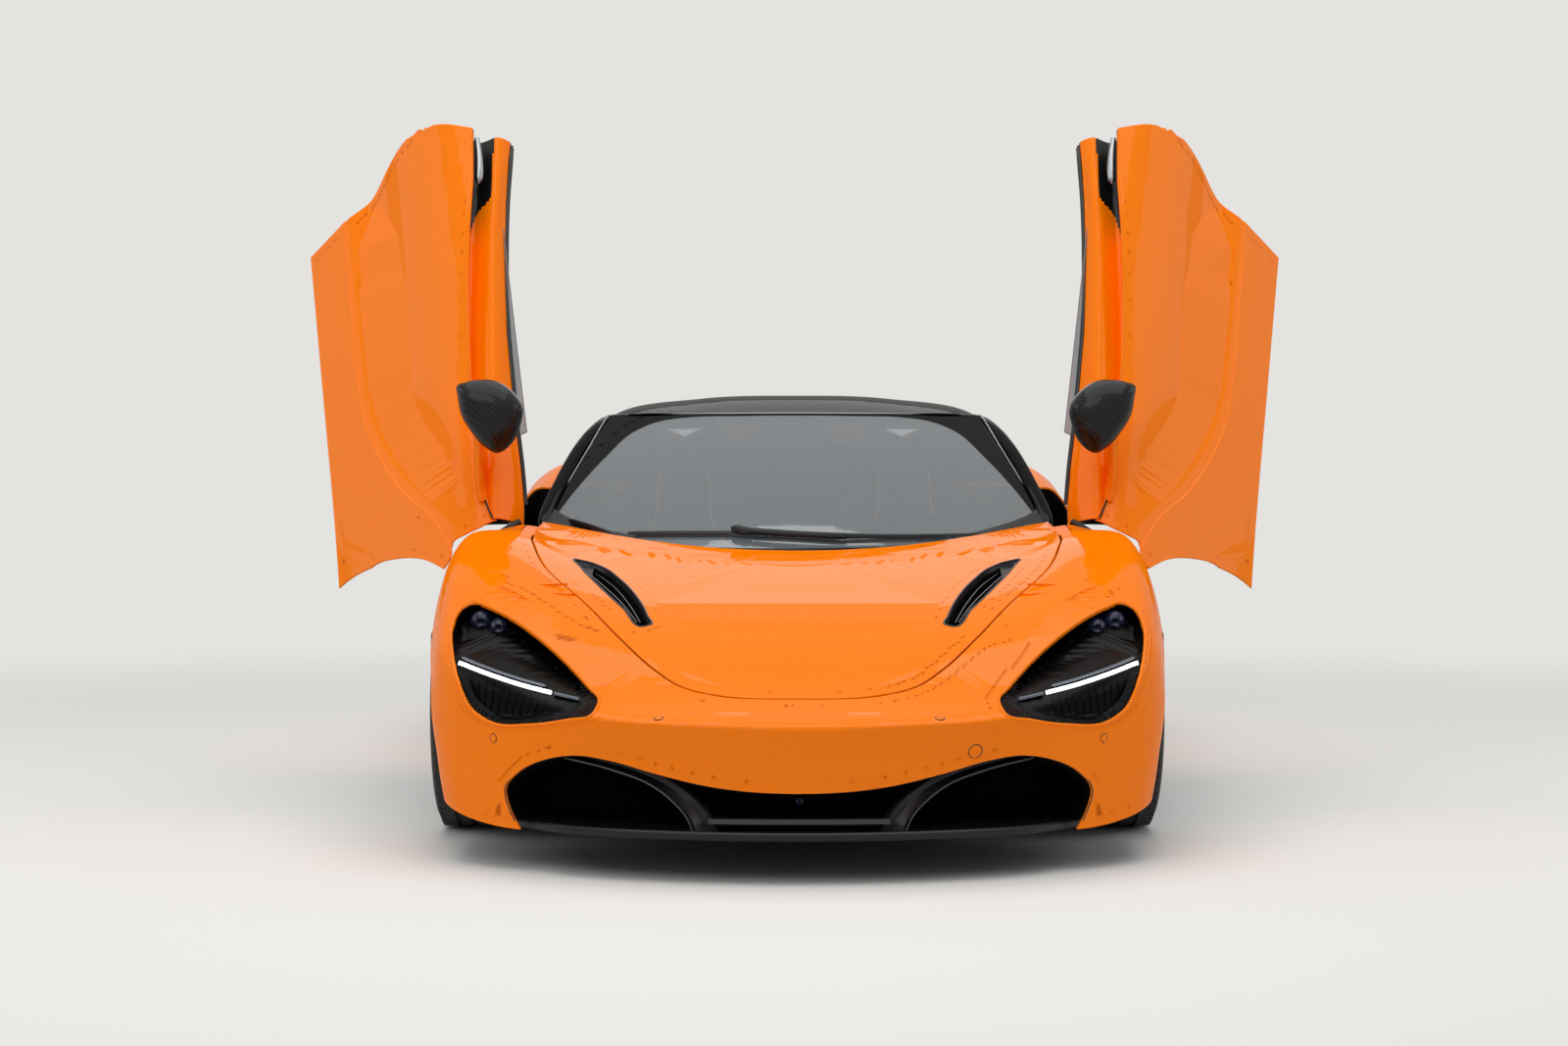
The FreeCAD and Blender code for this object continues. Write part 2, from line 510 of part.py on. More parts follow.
DOOR = {"skin": door_skin, "inner": door_inner, "glass": door_glass, "mirror": door_mirror}
for key, piece in DOOR.items():
    shut_piece = piece.copy()
    shut_piece.rotate(V(*HINGE_POINT), V(*HINGE_AXIS), -DOOR_OPEN)
    PARTS["door_" + key + "_left"] = shut_piece
    PARTS["door_" + key + "_right"] = mirror(shut_piece)


def revolve_x(profile, x_centre, y, z):
    """A profile of (offset along the axle, radius) points turned about a wheel's axle."""
    wire = polygon([(x_centre + a, y, z + r) for a, r in profile])
    return Part.Face(wire).revolve(V(0, y, z), V(1, 0, 0), 360)


def wheel(x, y, tyre_r, tyre_w, rim_r):
    """The tyre and rim of a left wheel whose middle is at x, y."""
    half, seat_half = tyre_w / 2, tyre_w / 2 - BEAD_INSET
    tyre = revolve_x(((-half + 8, rim_r + TYRE_SEAT), (-half, rim_r + 30), (-half + 4, tyre_r - 22),
                      (-half + 22, tyre_r - 3), (-half + 48, tyre_r), (half - 48, tyre_r), (half - 22, tyre_r - 3),
                      (half - 4, tyre_r - 22), (half, rim_r + 30), (half - 8, rim_r + TYRE_SEAT)), x, y, tyre_r)
    barrel = revolve_x(((-seat_half, rim_r), (-seat_half, rim_r - RIM_WALL), (seat_half - 26, rim_r - RIM_WALL),
                        (seat_half - 26, rim_r - 26), (seat_half, rim_r - 16), (seat_half, rim_r)), x, y, tyre_r)
    face = seat_half - FACE_INSET
    back = face - FACE_DEPTH
    hub = revolve_x(((back, 30.3), (back, HUB_R), (face + 10, HUB_R), (face + 20, 40), (face + 20, 30.3)),
                    x, y, tyre_r)
    cap = tube_x(31, x + face + 8, x + face + 22, y, tyre_r)
    rim = barrel.fuse(hub).fuse(cap)
    for i in range(SPOKES):
        ends = [polygon([(x + inner, y - half_y, z), (x + outer, y - half_y, z),
                         (x + outer, y + half_y, z), (x + inner, y + half_y, z)])
                for inner, outer, half_y, z in ((face - 18, face + 12, 24, tyre_r + 48),
                                                (face - 2, face + 16, 11, tyre_r + rim_r - 14))]
        spoke = Part.makeLoft(ends, True, True)
        spoke.rotate(V(x, y, tyre_r), V(1, 0, 0), 360.0 * i / SPOKES)
        rim = rim.fuse(spoke)
    disc = revolve_x(((-DISC_W, 30.3), (-DISC_W, DISC_R), (0, DISC_R), (0, 30.3)), x + back, y, tyre_r)
    return tyre, rim.fuse(disc)


def upright(x, y, radius, half_y):
    """The carrier behind a left disc: plate, spigot into the hub and caliper over the disc."""
    disc_in = x - DISC_W
    plate = box(disc_in - 66, disc_in - 10, y - half_y, y + half_y, radius - 150, radius + 150)
    spigot = tube_x(30, disc_in - 30, x + 40, y, radius)
    ring = tube_x(222, disc_in - 26, x + 26, y, radius).cut(tube_x(120, x - 200, x + 200, y, radius))
    wedge = prism_x(((y, radius), (y + 300, radius - 125), (y + 300, radius + 125)), x - 200, x + 200)
    caliper = ring.common(wedge).cut(tube_x(DISC_R + 6, disc_in - 6, x + 6, y, radius))
    lug_box = box(disc_in - 26, disc_in - 10, y, y + 150, radius - 40, radius + 40)
    return plate.fuse(spigot).fuse(caliper).fuse(lug_box)


front_x, rear_x = FRONT_TRACK / 2, REAR_TRACK / 2
front_disc = front_x + FRONT_TYRE_W / 2 - DISC_SET
rear_disc = rear_x + REAR_TYRE_W / 2 - DISC_SET
WHEELS = {"front": (front_x, FRONT_AXLE_Y, FRONT_TYRE_R, FRONT_TYRE_W, FRONT_RIM_R),
          "rear": (rear_x, REAR_AXLE_Y, REAR_TYRE_R, REAR_TYRE_W, REAR_RIM_R)}
for end, sizes in WHEELS.items():
    tyre, rim = wheel(*sizes)
    PARTS["tyre_" + end + "_left"], PARTS["rim_" + end + "_left"] = tyre, rim
    PARTS["tyre_" + end + "_right"], PARTS["rim_" + end + "_right"] = mirror(tyre), mirror(rim)

knuckle = upright(front_disc, FRONT_AXLE_Y, FRONT_TYRE_R, 40)
PARTS["knuckle_left"], PARTS["knuckle_right"] = knuckle, mirror(knuckle)


def wishbone(x_out, x_in, y, z, spread, half_z):
    """Two legs of an arm from the chassis to one ball joint, as one plate with a window."""
    outline = [(x_out, y - 18), (x_out, y + 18), (x_in, y + spread), (x_in, y - spread)]
    window = [(x_out - 70, y - 1), (x_out - 70, y + 1), (x_in + 40, y + spread - 48), (x_in + 40, y - spread + 48)]
    return prism_z(outline, z - half_z, z + half_z).cut(prism_z(window, z - 50, z + 50))


KINGPIN_X = front_x - KINGPIN_INSET
for key, x_out, y, radius, x_in in (("front", KINGPIN_X + 12, FRONT_AXLE_Y, FRONT_TYRE_R, BAY[0] + 18),
                                    ("rear", rear_disc - DISC_W - 40, REAR_AXLE_Y, REAR_TYRE_R, 300.0)):
    low, high = radius - 162, radius + 162
    half = wishbone(x_out, x_in, y, low, 140, ARM_HALF_Z).fuse(wishbone(x_out, x_in, y, high, 120, ARM_HALF_Z))
    beam = box(0, x_in + 20, y - 150, y + 150, low - ARM_HALF_Z, low + ARM_HALF_Z)
    side_post = box(x_in - 18, x_in + 20, y - 130, y + 130, low, high + 12)
    half = half.fuse(beam).fuse(side_post)
    if key == "rear":
        carrier = upright(rear_disc, y, radius, 60)
        shaft = tube_x(20, x_in, x_out + 10, y, radius)
        foot = box(0, 100, y - 60, y + 60, low, GEARBOX_Z)
        half = half.fuse(carrier).fuse(shaft).fuse(foot)
    whole = half.fuse(mirror(half))
    if key == "rear":
        whole = whole.cut(engine)
    PARTS[key + "_axle"] = whole


def liner(radius, y, z, x0, x1):
    """A left wheel-house sheet over the top half of the wheel."""
    ring = tube_x(radius - SEAT_GAP, x0, x1, y, z).cut(tube_x(radius - SEAT_GAP - LINER, x0 - 1, x1 + 1, y, z))
    return ring.common(box(x0, x1, y - 1000, y + 1000, 215, 1500)).common(BODY[SKIN])


front_liner = liner(FRONT_ARCH_R, FRONT_AXLE_Y, FRONT_TYRE_R, 545, 1000)
rear_liner = liner(REAR_ARCH_R, REAR_AXLE_Y, REAR_TYRE_R, 560, 1000)
PARTS["wheel_liners"] = Part.makeCompound([s for p in (front_liner, rear_liner) for s in both(p).Solids])

# Tail: grille panel, lamps, exhausts, diffuser and wing
tail_panel = inside_body.common(box(-1100, 1100, 2105, 2119, 300, 840))
for x in range(-500, 501, 50):
    tail_panel = tail_panel.cut(box(x - 18, x + 18, 2000, 2200, 430, 500))
EXHAUST_X, EXHAUST_Z = 150.0, 660.0
PLATE_HOLE_X, PLATE_HOLE_Z, PLATE_HOLE_R = 120.0, 545.0, 3.0
for x in (-PLATE_HOLE_X, PLATE_HOLE_X):
    tail_panel = tail_panel.cut(Part.makeCylinder(PLATE_HOLE_R, 60, V(x, 2090, PLATE_HOLE_Z), V(0, 1, 0)))
exhaust = Part.makeCylinder(62, 120, V(EXHAUST_X, 2080, EXHAUST_Z), V(0, 1, 0)).cut(
    Part.makeCylinder(56, 115, V(EXHAUST_X, 2086, EXHAUST_Z), V(0, 1, 0)))
hole = Part.makeCylinder(62 + SEAT_GAP, 200, V(EXHAUST_X, 2060, EXHAUST_Z), V(0, 1, 0))
PARTS["rear_grille"] = tail_panel.cut(hole).cut(mirror(hole))
PARTS["exhausts"] = both(exhaust)
tail_lamp = prism_y(((300, 790), (600, 785), (770, 735), (770, 722), (600, 770), (300, 775)), 2119, 2150)
PARTS["tail_lamps"] = both(tail_lamp)
diffuser = prism_x(((1900, 117), (2215, 240), (2215, 250), (1900, 127)), -560, 560)
for x in (-480, -320, -160, 160, 320, 480):
    diffuser = diffuser.fuse(prism_x(((1950, 125), (2225, 150), (2225, 250), (1950, 140)), x - 4, x + 4))
PARTS["undertray"] = undertray.fuse(diffuser)
WING_HINGE_Y, WING_HINGE_Z = 2084.0, 921.0
WING_LUG_X, WING_LUG_HALF, WING_PIN_R = 320.0, 12.0, 5.0
WING = ((2074, 912), (2084, 924), (2180, 932), (2270, 926), (2270, 919), (2180, 910))
wing = prism_x(WING, -640, 640).common(plan_prism(1.0))
wing_lug = tube_x(10, WING_LUG_X - WING_LUG_HALF, WING_LUG_X + WING_LUG_HALF, WING_HINGE_Y, WING_HINGE_Z)
POST_OUT = WING_LUG_HALF + SHUT_GAP + 4
for side in (-1, 1):
    for end in (-1, 1):
        middle = side * WING_LUG_X + end * POST_OUT
        wing = wing.cut(box(middle - 9.5, middle + 9.5, 2060, 2100, 880, 960))
wing = wing.fuse(wing_lug).fuse(mirror(wing_lug))
wing = wing.cut(tube_x(WING_PIN_R + PIN_PLAY, -700, 700, WING_HINGE_Y, WING_HINGE_Z))
PARTS["rear_wing"] = wing
bumper_posts = PARTS["rear_bumper"]
for side in (-1, 1):
    x = side * WING_LUG_X
    for end in (-1, 1):
        middle = x + end * POST_OUT
        bumper_posts = bumper_posts.fuse(box(middle - 4, middle + 4, 2076, 2092, 880, 926))
    reach = POST_OUT + 4
    bumper_posts = bumper_posts.fuse(tube_x(WING_PIN_R, x - reach, x + reach, WING_HINGE_Y, WING_HINGE_Z))
PARTS["rear_bumper"] = bumper_posts

os.makedirs("parts", exist_ok=True)
for name, piece in PARTS.items():
    piece.exportStep("parts/" + name + ".step")
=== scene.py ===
"""Looks of a mid-engined two-seat coupe whose doors swing up and out.

Every size is in millimetres in the tables below and becomes metres when a mesh is made.
Frame: +Z up, +Y to the tail, +X to the car's left side, origin on the ground at mid-length.
"""
import json
import logging
import math
from collections.abc import Callable, Iterable, Sequence
from dataclasses import dataclass
from enum import Enum

import bmesh
import bpy
import numpy as np
from mathutils import Matrix, Vector
from mathutils.geometry import delaunay_2d_cdt

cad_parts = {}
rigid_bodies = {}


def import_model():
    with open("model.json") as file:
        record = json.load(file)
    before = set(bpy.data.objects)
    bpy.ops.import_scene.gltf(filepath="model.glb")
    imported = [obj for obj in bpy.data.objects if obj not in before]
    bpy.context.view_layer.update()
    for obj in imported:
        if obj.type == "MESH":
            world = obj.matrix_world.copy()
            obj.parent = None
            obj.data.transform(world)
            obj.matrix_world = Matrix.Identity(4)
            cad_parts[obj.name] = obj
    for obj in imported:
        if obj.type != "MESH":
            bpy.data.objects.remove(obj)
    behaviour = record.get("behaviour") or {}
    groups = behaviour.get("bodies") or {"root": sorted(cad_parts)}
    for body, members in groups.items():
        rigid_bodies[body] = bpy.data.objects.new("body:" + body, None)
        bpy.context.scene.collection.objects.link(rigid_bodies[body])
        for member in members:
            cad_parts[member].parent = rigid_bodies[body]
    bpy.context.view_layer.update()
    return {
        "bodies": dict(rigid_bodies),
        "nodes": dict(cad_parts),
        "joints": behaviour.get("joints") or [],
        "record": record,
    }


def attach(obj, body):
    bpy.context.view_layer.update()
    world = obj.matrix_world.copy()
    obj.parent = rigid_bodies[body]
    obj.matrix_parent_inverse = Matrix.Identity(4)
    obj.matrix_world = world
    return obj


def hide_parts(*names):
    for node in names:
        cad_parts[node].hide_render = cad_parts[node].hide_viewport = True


LOG = logging.getLogger("coupe")
MM = 0.001
Array = np.ndarray
Place = Callable[[Array], Array]

NOSE_Y = -2271.5
TAIL_Y = 2271.5
FRONT_AXLE = (-1194.5, 327.0)
REAR_AXLE = (1475.5, 345.5)
FRONT_ARCH_R = 380.0
REAR_ARCH_R = 388.0
DOOR_OPEN_DEG = 80.0
DOOR_HINGE = ((806.0, -814.0, 801.0), (-0.733, 0.508, 0.453))
EDGE_ROLL = 2.2
ROUGHNESS_SPREAD = 0.16
BUMP_DEPTH_M = 0.0004
TINY = 1e-9

# Body sections from nose to tail: y, then base, flank, widest, crest, inner crest and deck
# (each x, z) and the height on the centre line.
BODY_ROWS = (
    (-2290, (800, 108), (830, 190), (836, 290), (796, 348), (640, 364), (350, 371), 372),
    (-2090, (838, 108), (868, 200), (874, 310), (846, 382), (765, 408), (420, 420), 423),
    (-1850, (872, 110), (897, 230), (908, 385), (876, 510), (785, 545), (480, 535), 528),
    (-1550, (900, 118), (920, 275), (945, 520), (891, 660), (785, 690), (560, 650), 626),
    (-1190, (930, 125), (960, 420), (965, 630), (890, 783), (778, 784), (610, 735), 703),
    (-850, (930, 125), (940, 370), (942, 640), (898, 772), (800, 800), (700, 792), 768),
    (-300, (928, 125), (932, 340), (925, 600), (905, 770), (862, 842), (760, 856), 860),
    (300, (930, 125), (934, 342), (925, 600), (910, 790), (872, 866), (765, 884), 890),
    (900, (935, 125), (948, 390), (950, 640), (925, 855), (850, 935), (720, 945), 930),
    (1475, (940, 130), (962, 420), (965, 690), (925, 890), (835, 955), (680, 940), 925),
    (1900, (915, 190), (945, 450), (945, 710), (885, 855), (785, 905), (600, 900), 895),
    (2290, (850, 260), (885, 480), (880, 660), (830, 800), (730, 850), (500, 862), 865),
)

# Canopy sections from the header to the tail: y, base, side, roof edge, roof (each x, z) and
# the height on the centre line.
CANOPY_ROWS = (
    (-330, (720, 800), (655, 985), (560, 1076), (300, 1094), 1098),
    (0, (748, 800), (665, 1010), (566, 1124), (300, 1165), 1174),
    (280, (765, 800), (668, 1015), (560, 1138), (300, 1185), 1195),
    (620, (785, 800), (690, 1020), (535, 1116), (290, 1168), 1181),
    (1050, (790, 800), (690, 1010), (480, 1058), (260, 1094), 1105),
    (1500, (745, 800), (620, 966), (400, 984), (220, 999), 1004),
    (2080, (620, 780), (500, 890), (300, 898), (160, 904), 906),
)


def linear(code: str) -> tuple[float, float, float, float]:
    """Turns an sRGB hex colour into linear light.

    Args:
        code: six hex digits with a leading #.

    Returns:
        Linear red, green, blue and an alpha of one.
    """
    parts = [int(code[i:i + 2], 16) / 255 for i in (1, 3, 5)]
    light = [c / 12.92 if c <= 0.04045 else ((c + 0.055) / 1.055) ** 2.4 for c in parts]
    return (light[0], light[1], light[2], 1.0)


def add_node(tree: bpy.types.NodeTree, kind: str, settings: dict | None = None,
             links: dict | None = None) -> bpy.types.Node:
    """Adds one node with its settings and links.

    Args:
        tree: the node tree that gets it.
        kind: the node's type name.
        settings: property or input values by name or input index.
        links: output sockets by the input name or index that they feed.

    Returns:
        The new node.
    """
    node = tree.nodes.new(kind)
    for key, value in (settings or {}).items():
        if isinstance(key, str) and hasattr(node, key):
            setattr(node, key, value)
        else:
            node.inputs[key].default_value = value
    for key, socket in (links or {}).items():
        tree.links.new(socket, node.inputs[key])
    return node


class Texture(Enum):
    """How a surface was made, which sets its pattern."""

    SPRAYED = "sprayed"
    MOULDED = "moulded"
    TWILL = "twill"
    GRAINED = "grained"
    NAPPED = "napped"
    CAST = "cast"
    TURNED = "turned"
    POLISHED = "polished"


@dataclass(frozen=True)
class Finish:
    """One finish of the car, with a pattern of a real size."""

    name: str
    slot: str
    colour: str
    texture: Texture
    grain_mm: float
    roughness: float
    second: str = ""
    metallic: float = 0.0
    coat: float = 0.0
    coat_roughness: float = 0.03
    bump: float = 0.0
    transmission: float = 0.0
    glow: float = 0.0
    specular: float = 0.5

    def build(self) -> bpy.types.Material:
        """Makes the node material.

        Returns:
            The material, made once and then shared.
        """
        made = bpy.data.materials.get(self.name)
        if made:
            return made
        made = bpy.data.materials.new(self.name)
        made.use_nodes = True
        tree = made.node_tree
        tree.nodes.clear()
        place = add_node(tree, "ShaderNodeTexCoord").outputs["Object"]
        value = self._pattern(tree, place)
        low, high = linear(self.colour), linear(self.second or self.colour)
        mixed = add_node(tree, "ShaderNodeMix", {"data_type": "RGBA", 6: low, 7: high}, {0: value})
        spread = ROUGHNESS_SPREAD * self.roughness
        rough = add_node(tree, "ShaderNodeMapRange",
                         {3: self.roughness - spread, 4: self.roughness + spread}, {0: value})
        surface = add_node(tree, "ShaderNodeBsdfPrincipled",
                           {"Metallic": self.metallic, "Coat Weight": self.coat,
                            "Coat Roughness": self.coat_roughness,
                            "Transmission Weight": self.transmission,
                            "Specular IOR Level": self.specular},
                           {"Base Color": mixed.outputs[2], "Roughness": rough.outputs[0]})
        if self.bump:
            bumped = add_node(tree, "ShaderNodeBump", {"Strength": self.bump, "Distance": BUMP_DEPTH_M},
                              {"Height": value})
            tree.links.new(bumped.outputs[0], surface.inputs["Normal"])
        if self.glow:
            surface.inputs["Emission Color"].default_value = linear(self.colour)
            surface.inputs["Emission Strength"].default_value = self.glow
        add_node(tree, "ShaderNodeOutputMaterial", links={"Surface": surface.outputs[0]})
        return made

    def _pattern(self, tree: bpy.types.NodeTree, place: bpy.types.NodeSocket) -> bpy.types.NodeSocket:
        """Makes the pattern of the surface.

        Args:
            tree: the material's tree.
            place: the object coordinates.

        Returns:
            A socket with a value from zero to one.
        """
        scale = 1.0 / (self.grain_mm * MM)
        if self.texture is Texture.TWILL:
            return self._twill(tree, place, scale)
        if self.texture in (Texture.GRAINED, Texture.CAST):
            cells = add_node(tree, "ShaderNodeTexVoronoi", {"Scale": scale}, {"Vector": place})
            return cells.outputs["Distance"]
        if self.texture is Texture.TURNED:
            rings = add_node(tree, "ShaderNodeTexWave",
                             {"wave_type": "RINGS", "rings_direction": "X", "Scale": scale / 6,
                              "Distortion": 1.0}, {"Vector": place})
            return rings.outputs["Fac"]
        detail = 2.0 if self.texture is Texture.POLISHED else 5.0
        noise = add_node(tree, "ShaderNodeTexNoise", {"Scale": scale, "Detail": detail}, {"Vector": place})
        return noise.outputs["Fac"]

    def _twill(self, tree: bpy.types.NodeTree, place: bpy.types.NodeSocket,
               scale: float) -> bpy.types.NodeSocket:
        """Makes a two-by-two twill: each tow runs over two and under two, one step along per row.

        Args:
            tree: the material's tree.
            place: the object coordinates.
            scale: tows in a metre.

        Returns:
            A socket that is one on warp tows and zero on weft tows, with their rounded backs.
        """
        split = add_node(tree, "ShaderNodeSeparateXYZ", links={0: place})
        across = add_node(tree, "ShaderNodeMath", {"operation": "ADD"},
                          {0: split.outputs[0], 1: split.outputs[1]})
        steps = []
        for axis in (across.outputs[0], split.outputs[2]):
            sized = add_node(tree, "ShaderNodeMath", {"operation": "MULTIPLY", 1: scale}, {0: axis})
            steps.append(add_node(tree, "ShaderNodeMath", {"operation": "FLOOR"}, {0: sized.outputs[0]}))
        summed = add_node(tree, "ShaderNodeMath", {"operation": "ADD"},
                          {0: steps[0].outputs[0], 1: steps[1].outputs[0]})
        wrapped = add_node(tree, "ShaderNodeMath", {"operation": "FLOORED_MODULO", 1: 4.0},
                           {0: summed.outputs[0]})
        over = add_node(tree, "ShaderNodeMath", {"operation": "LESS_THAN", 1: 2.0}, {0: wrapped.outputs[0]})
        return over.outputs[0]


# Solid orange base under clear lacquer: strong colour, soft depth, a mirror-like top coat.
PAINT = Finish("sprayed_orange_paint", "orange_paint", "#FF7B00", Texture.SPRAYED, 1.2, 0.4,
               "#FF8200", coat=0.30, coat_roughness=0.02, specular=0.0)
# Black base under the same lacquer, on the roof and the pillars.
GLOSS_BLACK = Finish("sprayed_black_lacquer", "gloss_black", "#030304", Texture.SPRAYED, 1.2, 0.3,
                     "#040405", coat=0.22, coat_roughness=0.02, specular=0.0)
# Moulded polypropylene with a fine spark-eroded grain, a dull even black.
# Moulded polypropylene with a fine spark-eroded grain, a dull even black.
TRIM = Finish("moulded_black_trim", "trim_plastic", "#0B0B0C", Texture.MOULDED, 1.0, 0.55,
              "#121213", bump=0.35)
# The smoother moulded black of intake struts and ducts.
SATIN = Finish("moulded_satin_black", "satin_black", "#070708", Texture.MOULDED, 1.6, 0.34,
               "#0B0B0D", bump=0.1, specular=0.35)
# The mouth's moulding: glossier so that its curves catch the light, and painted a little lighter than satin
# black as a painted highlight.
MOUTH_HIGHLIGHTED = Finish("mouth_satin", "satin_black", "#0C0C0E", Texture.MOULDED, 1.6, 0.3,
               "#121214", bump=0.1, specular=0.7)
# A bead along a strut, drawn grey as a painted highlight where the light falls on it.
EDGE = Finish("mouth_edge", "satin_black", "#25272A", Texture.MOULDED, 1.6, 0.35,
              "#2C2E31", specular=0.6)
# The deep inside of the mouth and the vents: moulding painted near black and almost without gloss, as painted
# shade that the eye can't read.
SHADE_BLACK = Finish("deep_moulding", "trim_plastic", "#020202", Texture.MOULDED, 3.0, 0.9,
              "#030303", specular=0.02)
# Carbon cloth in two-by-two twill under lacquer. The 2 mm tows are drawn 4 mm wide to show.
CARBON = Finish("twill_carbon_cloth", "carbon", "#040405", Texture.TWILL, 4.0, 0.34,
                "#17191C", coat=0.22, bump=0.1, specular=0.15)
# Laminated glass with a faint grey tint: the cabin shows through it, dimmed.
GLASS = Finish("screen_glass", "clear_glass", "#A9B3B9", Texture.POLISHED, 30.0, 0.02,
               "#AEB8BE", transmission=0.74, specular=1.0)
# Privacy glass, nearly black from outside.
DARK_GLASS = Finish("tinted_glass", "dark_glass", "#30353A", Texture.POLISHED, 30.0, 0.03,
                    transmission=1.0)
# Black lacquer on the lamp bowls, with only a soft gleam.
LAMP_BLACK = Finish("lamp_lacquer", "lamp_black", "#020203", Texture.POLISHED, 6.0, 0.3,
                    "#030304", coat=0.07, specular=0.03)
# Projector glass whose blue-to-violet colour is painted reflection, the sheen of its coating.
LENS_PAINTED_REFLECTION = Finish("projector_glass", "lamp_black", "#0A2430", Texture.POLISHED, 9.0, 0.12,
                   "#2A1D40", coat=0.15, specular=0.2)
# The lit light guide, the brightest thing on the car.
DAY_LIGHT = Finish("daylight_bar", "lamp_black", "#FFFFFF", Texture.POLISHED, 4.0, 0.3, glow=2.2)
# The same guide where it is unlit: frosted acrylic, a flat grey.
BAR_GREY = Finish("frosted_bar", "lamp_black", "#59616A", Texture.MOULDED, 2.0, 0.4, "#6E7680")
# Red acrylic over dim tail lights.
RED_LENS = Finish("red_lens", "red_lens", "#8C0408", Texture.POLISHED, 5.0, 0.2,
                  "#A0060B", coat=0.5, glow=0.35)
# Pebbled hide, dark, with soft highlights on its grain.
LEATHER = Finish("dark_leather", "dark_leather", "#161617", Texture.GRAINED, 1.3, 0.55,
                 "#1F1F20", bump=0.35)
# Napped microfibre, which takes no highlight at all.
SUEDE = Finish("napped_suede", "dark_leather", "#1B1C1D", Texture.NAPPED, 1.6, 0.85,
               "#262728", bump=0.2)
# The same hide dyed to the paint, for piping and stitches.
ORANGE_LEATHER = Finish("orange_leather", "dark_leather", "#F07010", Texture.GRAINED, 1.3, 0.5,
                        "#FF8420", bump=0.3)
# Sand-cast aluminium with a pocked matt skin.
CASTING = Finish("cast_alloy", "cast_metal", "#6E7072", Texture.CAST, 3.0, 0.5,
                 "#8A8C8E", metallic=1.0, bump=0.3)
# Forged aluminium, smoother and a little brighter.
FORGING = Finish("forged_alloy", "forged_metal", "#7C7E80", Texture.CAST, 5.0, 0.42,
                 "#8E9092", metallic=1.0, bump=0.15)
# Dark metallic lacquer on the rims.
RIM = Finish("rim_lacquer", "rim_metal", "#1A1B1D", Texture.SPRAYED, 1.5, 0.25,
             "#232527", metallic=0.6, coat=0.8)
# Turned iron with fine rings where the pads run.
DISC = Finish("brake_disc", "forged_metal", "#5E6063", Texture.TURNED, 3.0, 0.34,
              "#6E7073", metallic=1.0, bump=0.1)
# Stainless steel, brushed round the pipe.
STEEL = Finish("brushed_steel", "exhaust_steel", "#8D8B88", Texture.TURNED, 1.5, 0.3,
               "#A7A5A2", metallic=1.0, bump=0.1)
# Tyre rubber, a dusty dull black.
RUBBER = Finish("tyre_rubber", "tyre_rubber", "#101011", Texture.MOULDED, 1.4, 0.72,
                "#19191A", bump=0.3)
# Extruded seal rubber, blacker and smoother than a tyre.
SEAL = Finish("rubber_seal", "trim_plastic", "#050505", Texture.MOULDED, 1.2, 0.5, "#0A0A0A")
# Silvered glass.
MIRROR_GLASS = Finish("mirror_glass", "clear_glass", "#C9CCCE", Texture.POLISHED, 20.0, 0.02,
                      metallic=1.0)
# Satin chrome on thin strips and grips.
SILVER = Finish("satin_silver", "trim_plastic", "#8F9398", Texture.POLISHED, 4.0, 0.3,
                "#A3A7AB", metallic=1.0)

NODE_FINISH = {finish.slot: finish for finish in (
    PAINT, GLOSS_BLACK, SATIN, TRIM, CARBON, LAMP_BLACK, RED_LENS, GLASS, DARK_GLASS, LEATHER,
    CASTING, FORGING, RIM, STEEL, RUBBER)}


def spline(knots: Array, values: Array, at: Array) -> Array:
    """Evaluates a natural cubic spline.

    Args:
        knots: rising positions of the values.
        values: one row of values for each knot.
        at: where to evaluate it.

    Returns:
        One row of values for each position.
    """
    count = len(knots)
    gap = np.diff(knots)
    system, right = np.eye(count), np.zeros_like(values)
    slope = np.diff(values, axis=0) / gap[:, None]
    for i in range(1, count - 1):
        system[i, i - 1:i + 2] = (gap[i - 1], 2 * (gap[i - 1] + gap[i]), gap[i])
        right[i] = 6 * (slope[i] - slope[i - 1])
    bend = np.linalg.solve(system, right)
    i = np.clip(np.searchsorted(knots, at) - 1, 0, count - 2)
    h, a, b = gap[i][:, None], (knots[i + 1] - at)[:, None], (at - knots[i])[:, None]
    return (bend[i] * a ** 3 + bend[i + 1] * b ** 3) / (6 * h) \
        + (values[i] / h - bend[i] * h / 6) * a + (values[i + 1] / h - bend[i + 1] * h / 6) * b


def curve_through(points: Sequence, step: float = 12.0, closed: bool = False,
                  corners: Iterable[int] = ()) -> Array:
    """Draws a smooth line through points, with sharp corners where they are named.

    Args:
        points: two or three numbers each.
        step: the greatest distance between the samples.
        closed: whether the line returns to its start.
        corners: indices of points that stay sharp.

    Returns:
        Samples along the line; a closed line doesn't repeat its first point.
    """
    base = np.array(points, float)
    count = len(base)
    sharp = set(corners) | (set() if closed else {0, count - 1})
    spans = count if closed else count - 1
    length = [np.linalg.norm(base[(i + 1) % count] - base[i]) for i in range(spans)]

    def tangent(i: int, side: int) -> Array:
        """Slope at a point, from one side only where it is sharp."""
        before, after = (i - 1) % count, i % spans if closed else min(i, spans - 1)
        d0 = (base[i] - base[before]) / length[before % spans]
        d1 = (base[(i + 1) % count] - base[i]) / length[after]
        if i in sharp:
            return d1 if side > 0 else d0
        l0, l1 = length[before % spans], length[after]
        return (d0 * l1 + d1 * l0) / (l0 + l1)

    out = []
    for i in range(spans):
        j = (i + 1) % count
        n = max(2, int(math.ceil(length[i] / step)))
        t = np.arange(n)[:, None] / n
        m0, m1 = tangent(i, 1) * length[i], tangent(j, -1) * length[i]
        out.append((2 * t ** 3 - 3 * t ** 2 + 1) * base[i] + (t ** 3 - 2 * t ** 2 + t) * m0
                   + (3 * t ** 2 - 2 * t ** 3) * base[j] + (t ** 3 - t ** 2) * m1)
    if not closed:
        out.append(base[-1:])
    return np.concatenate(out)


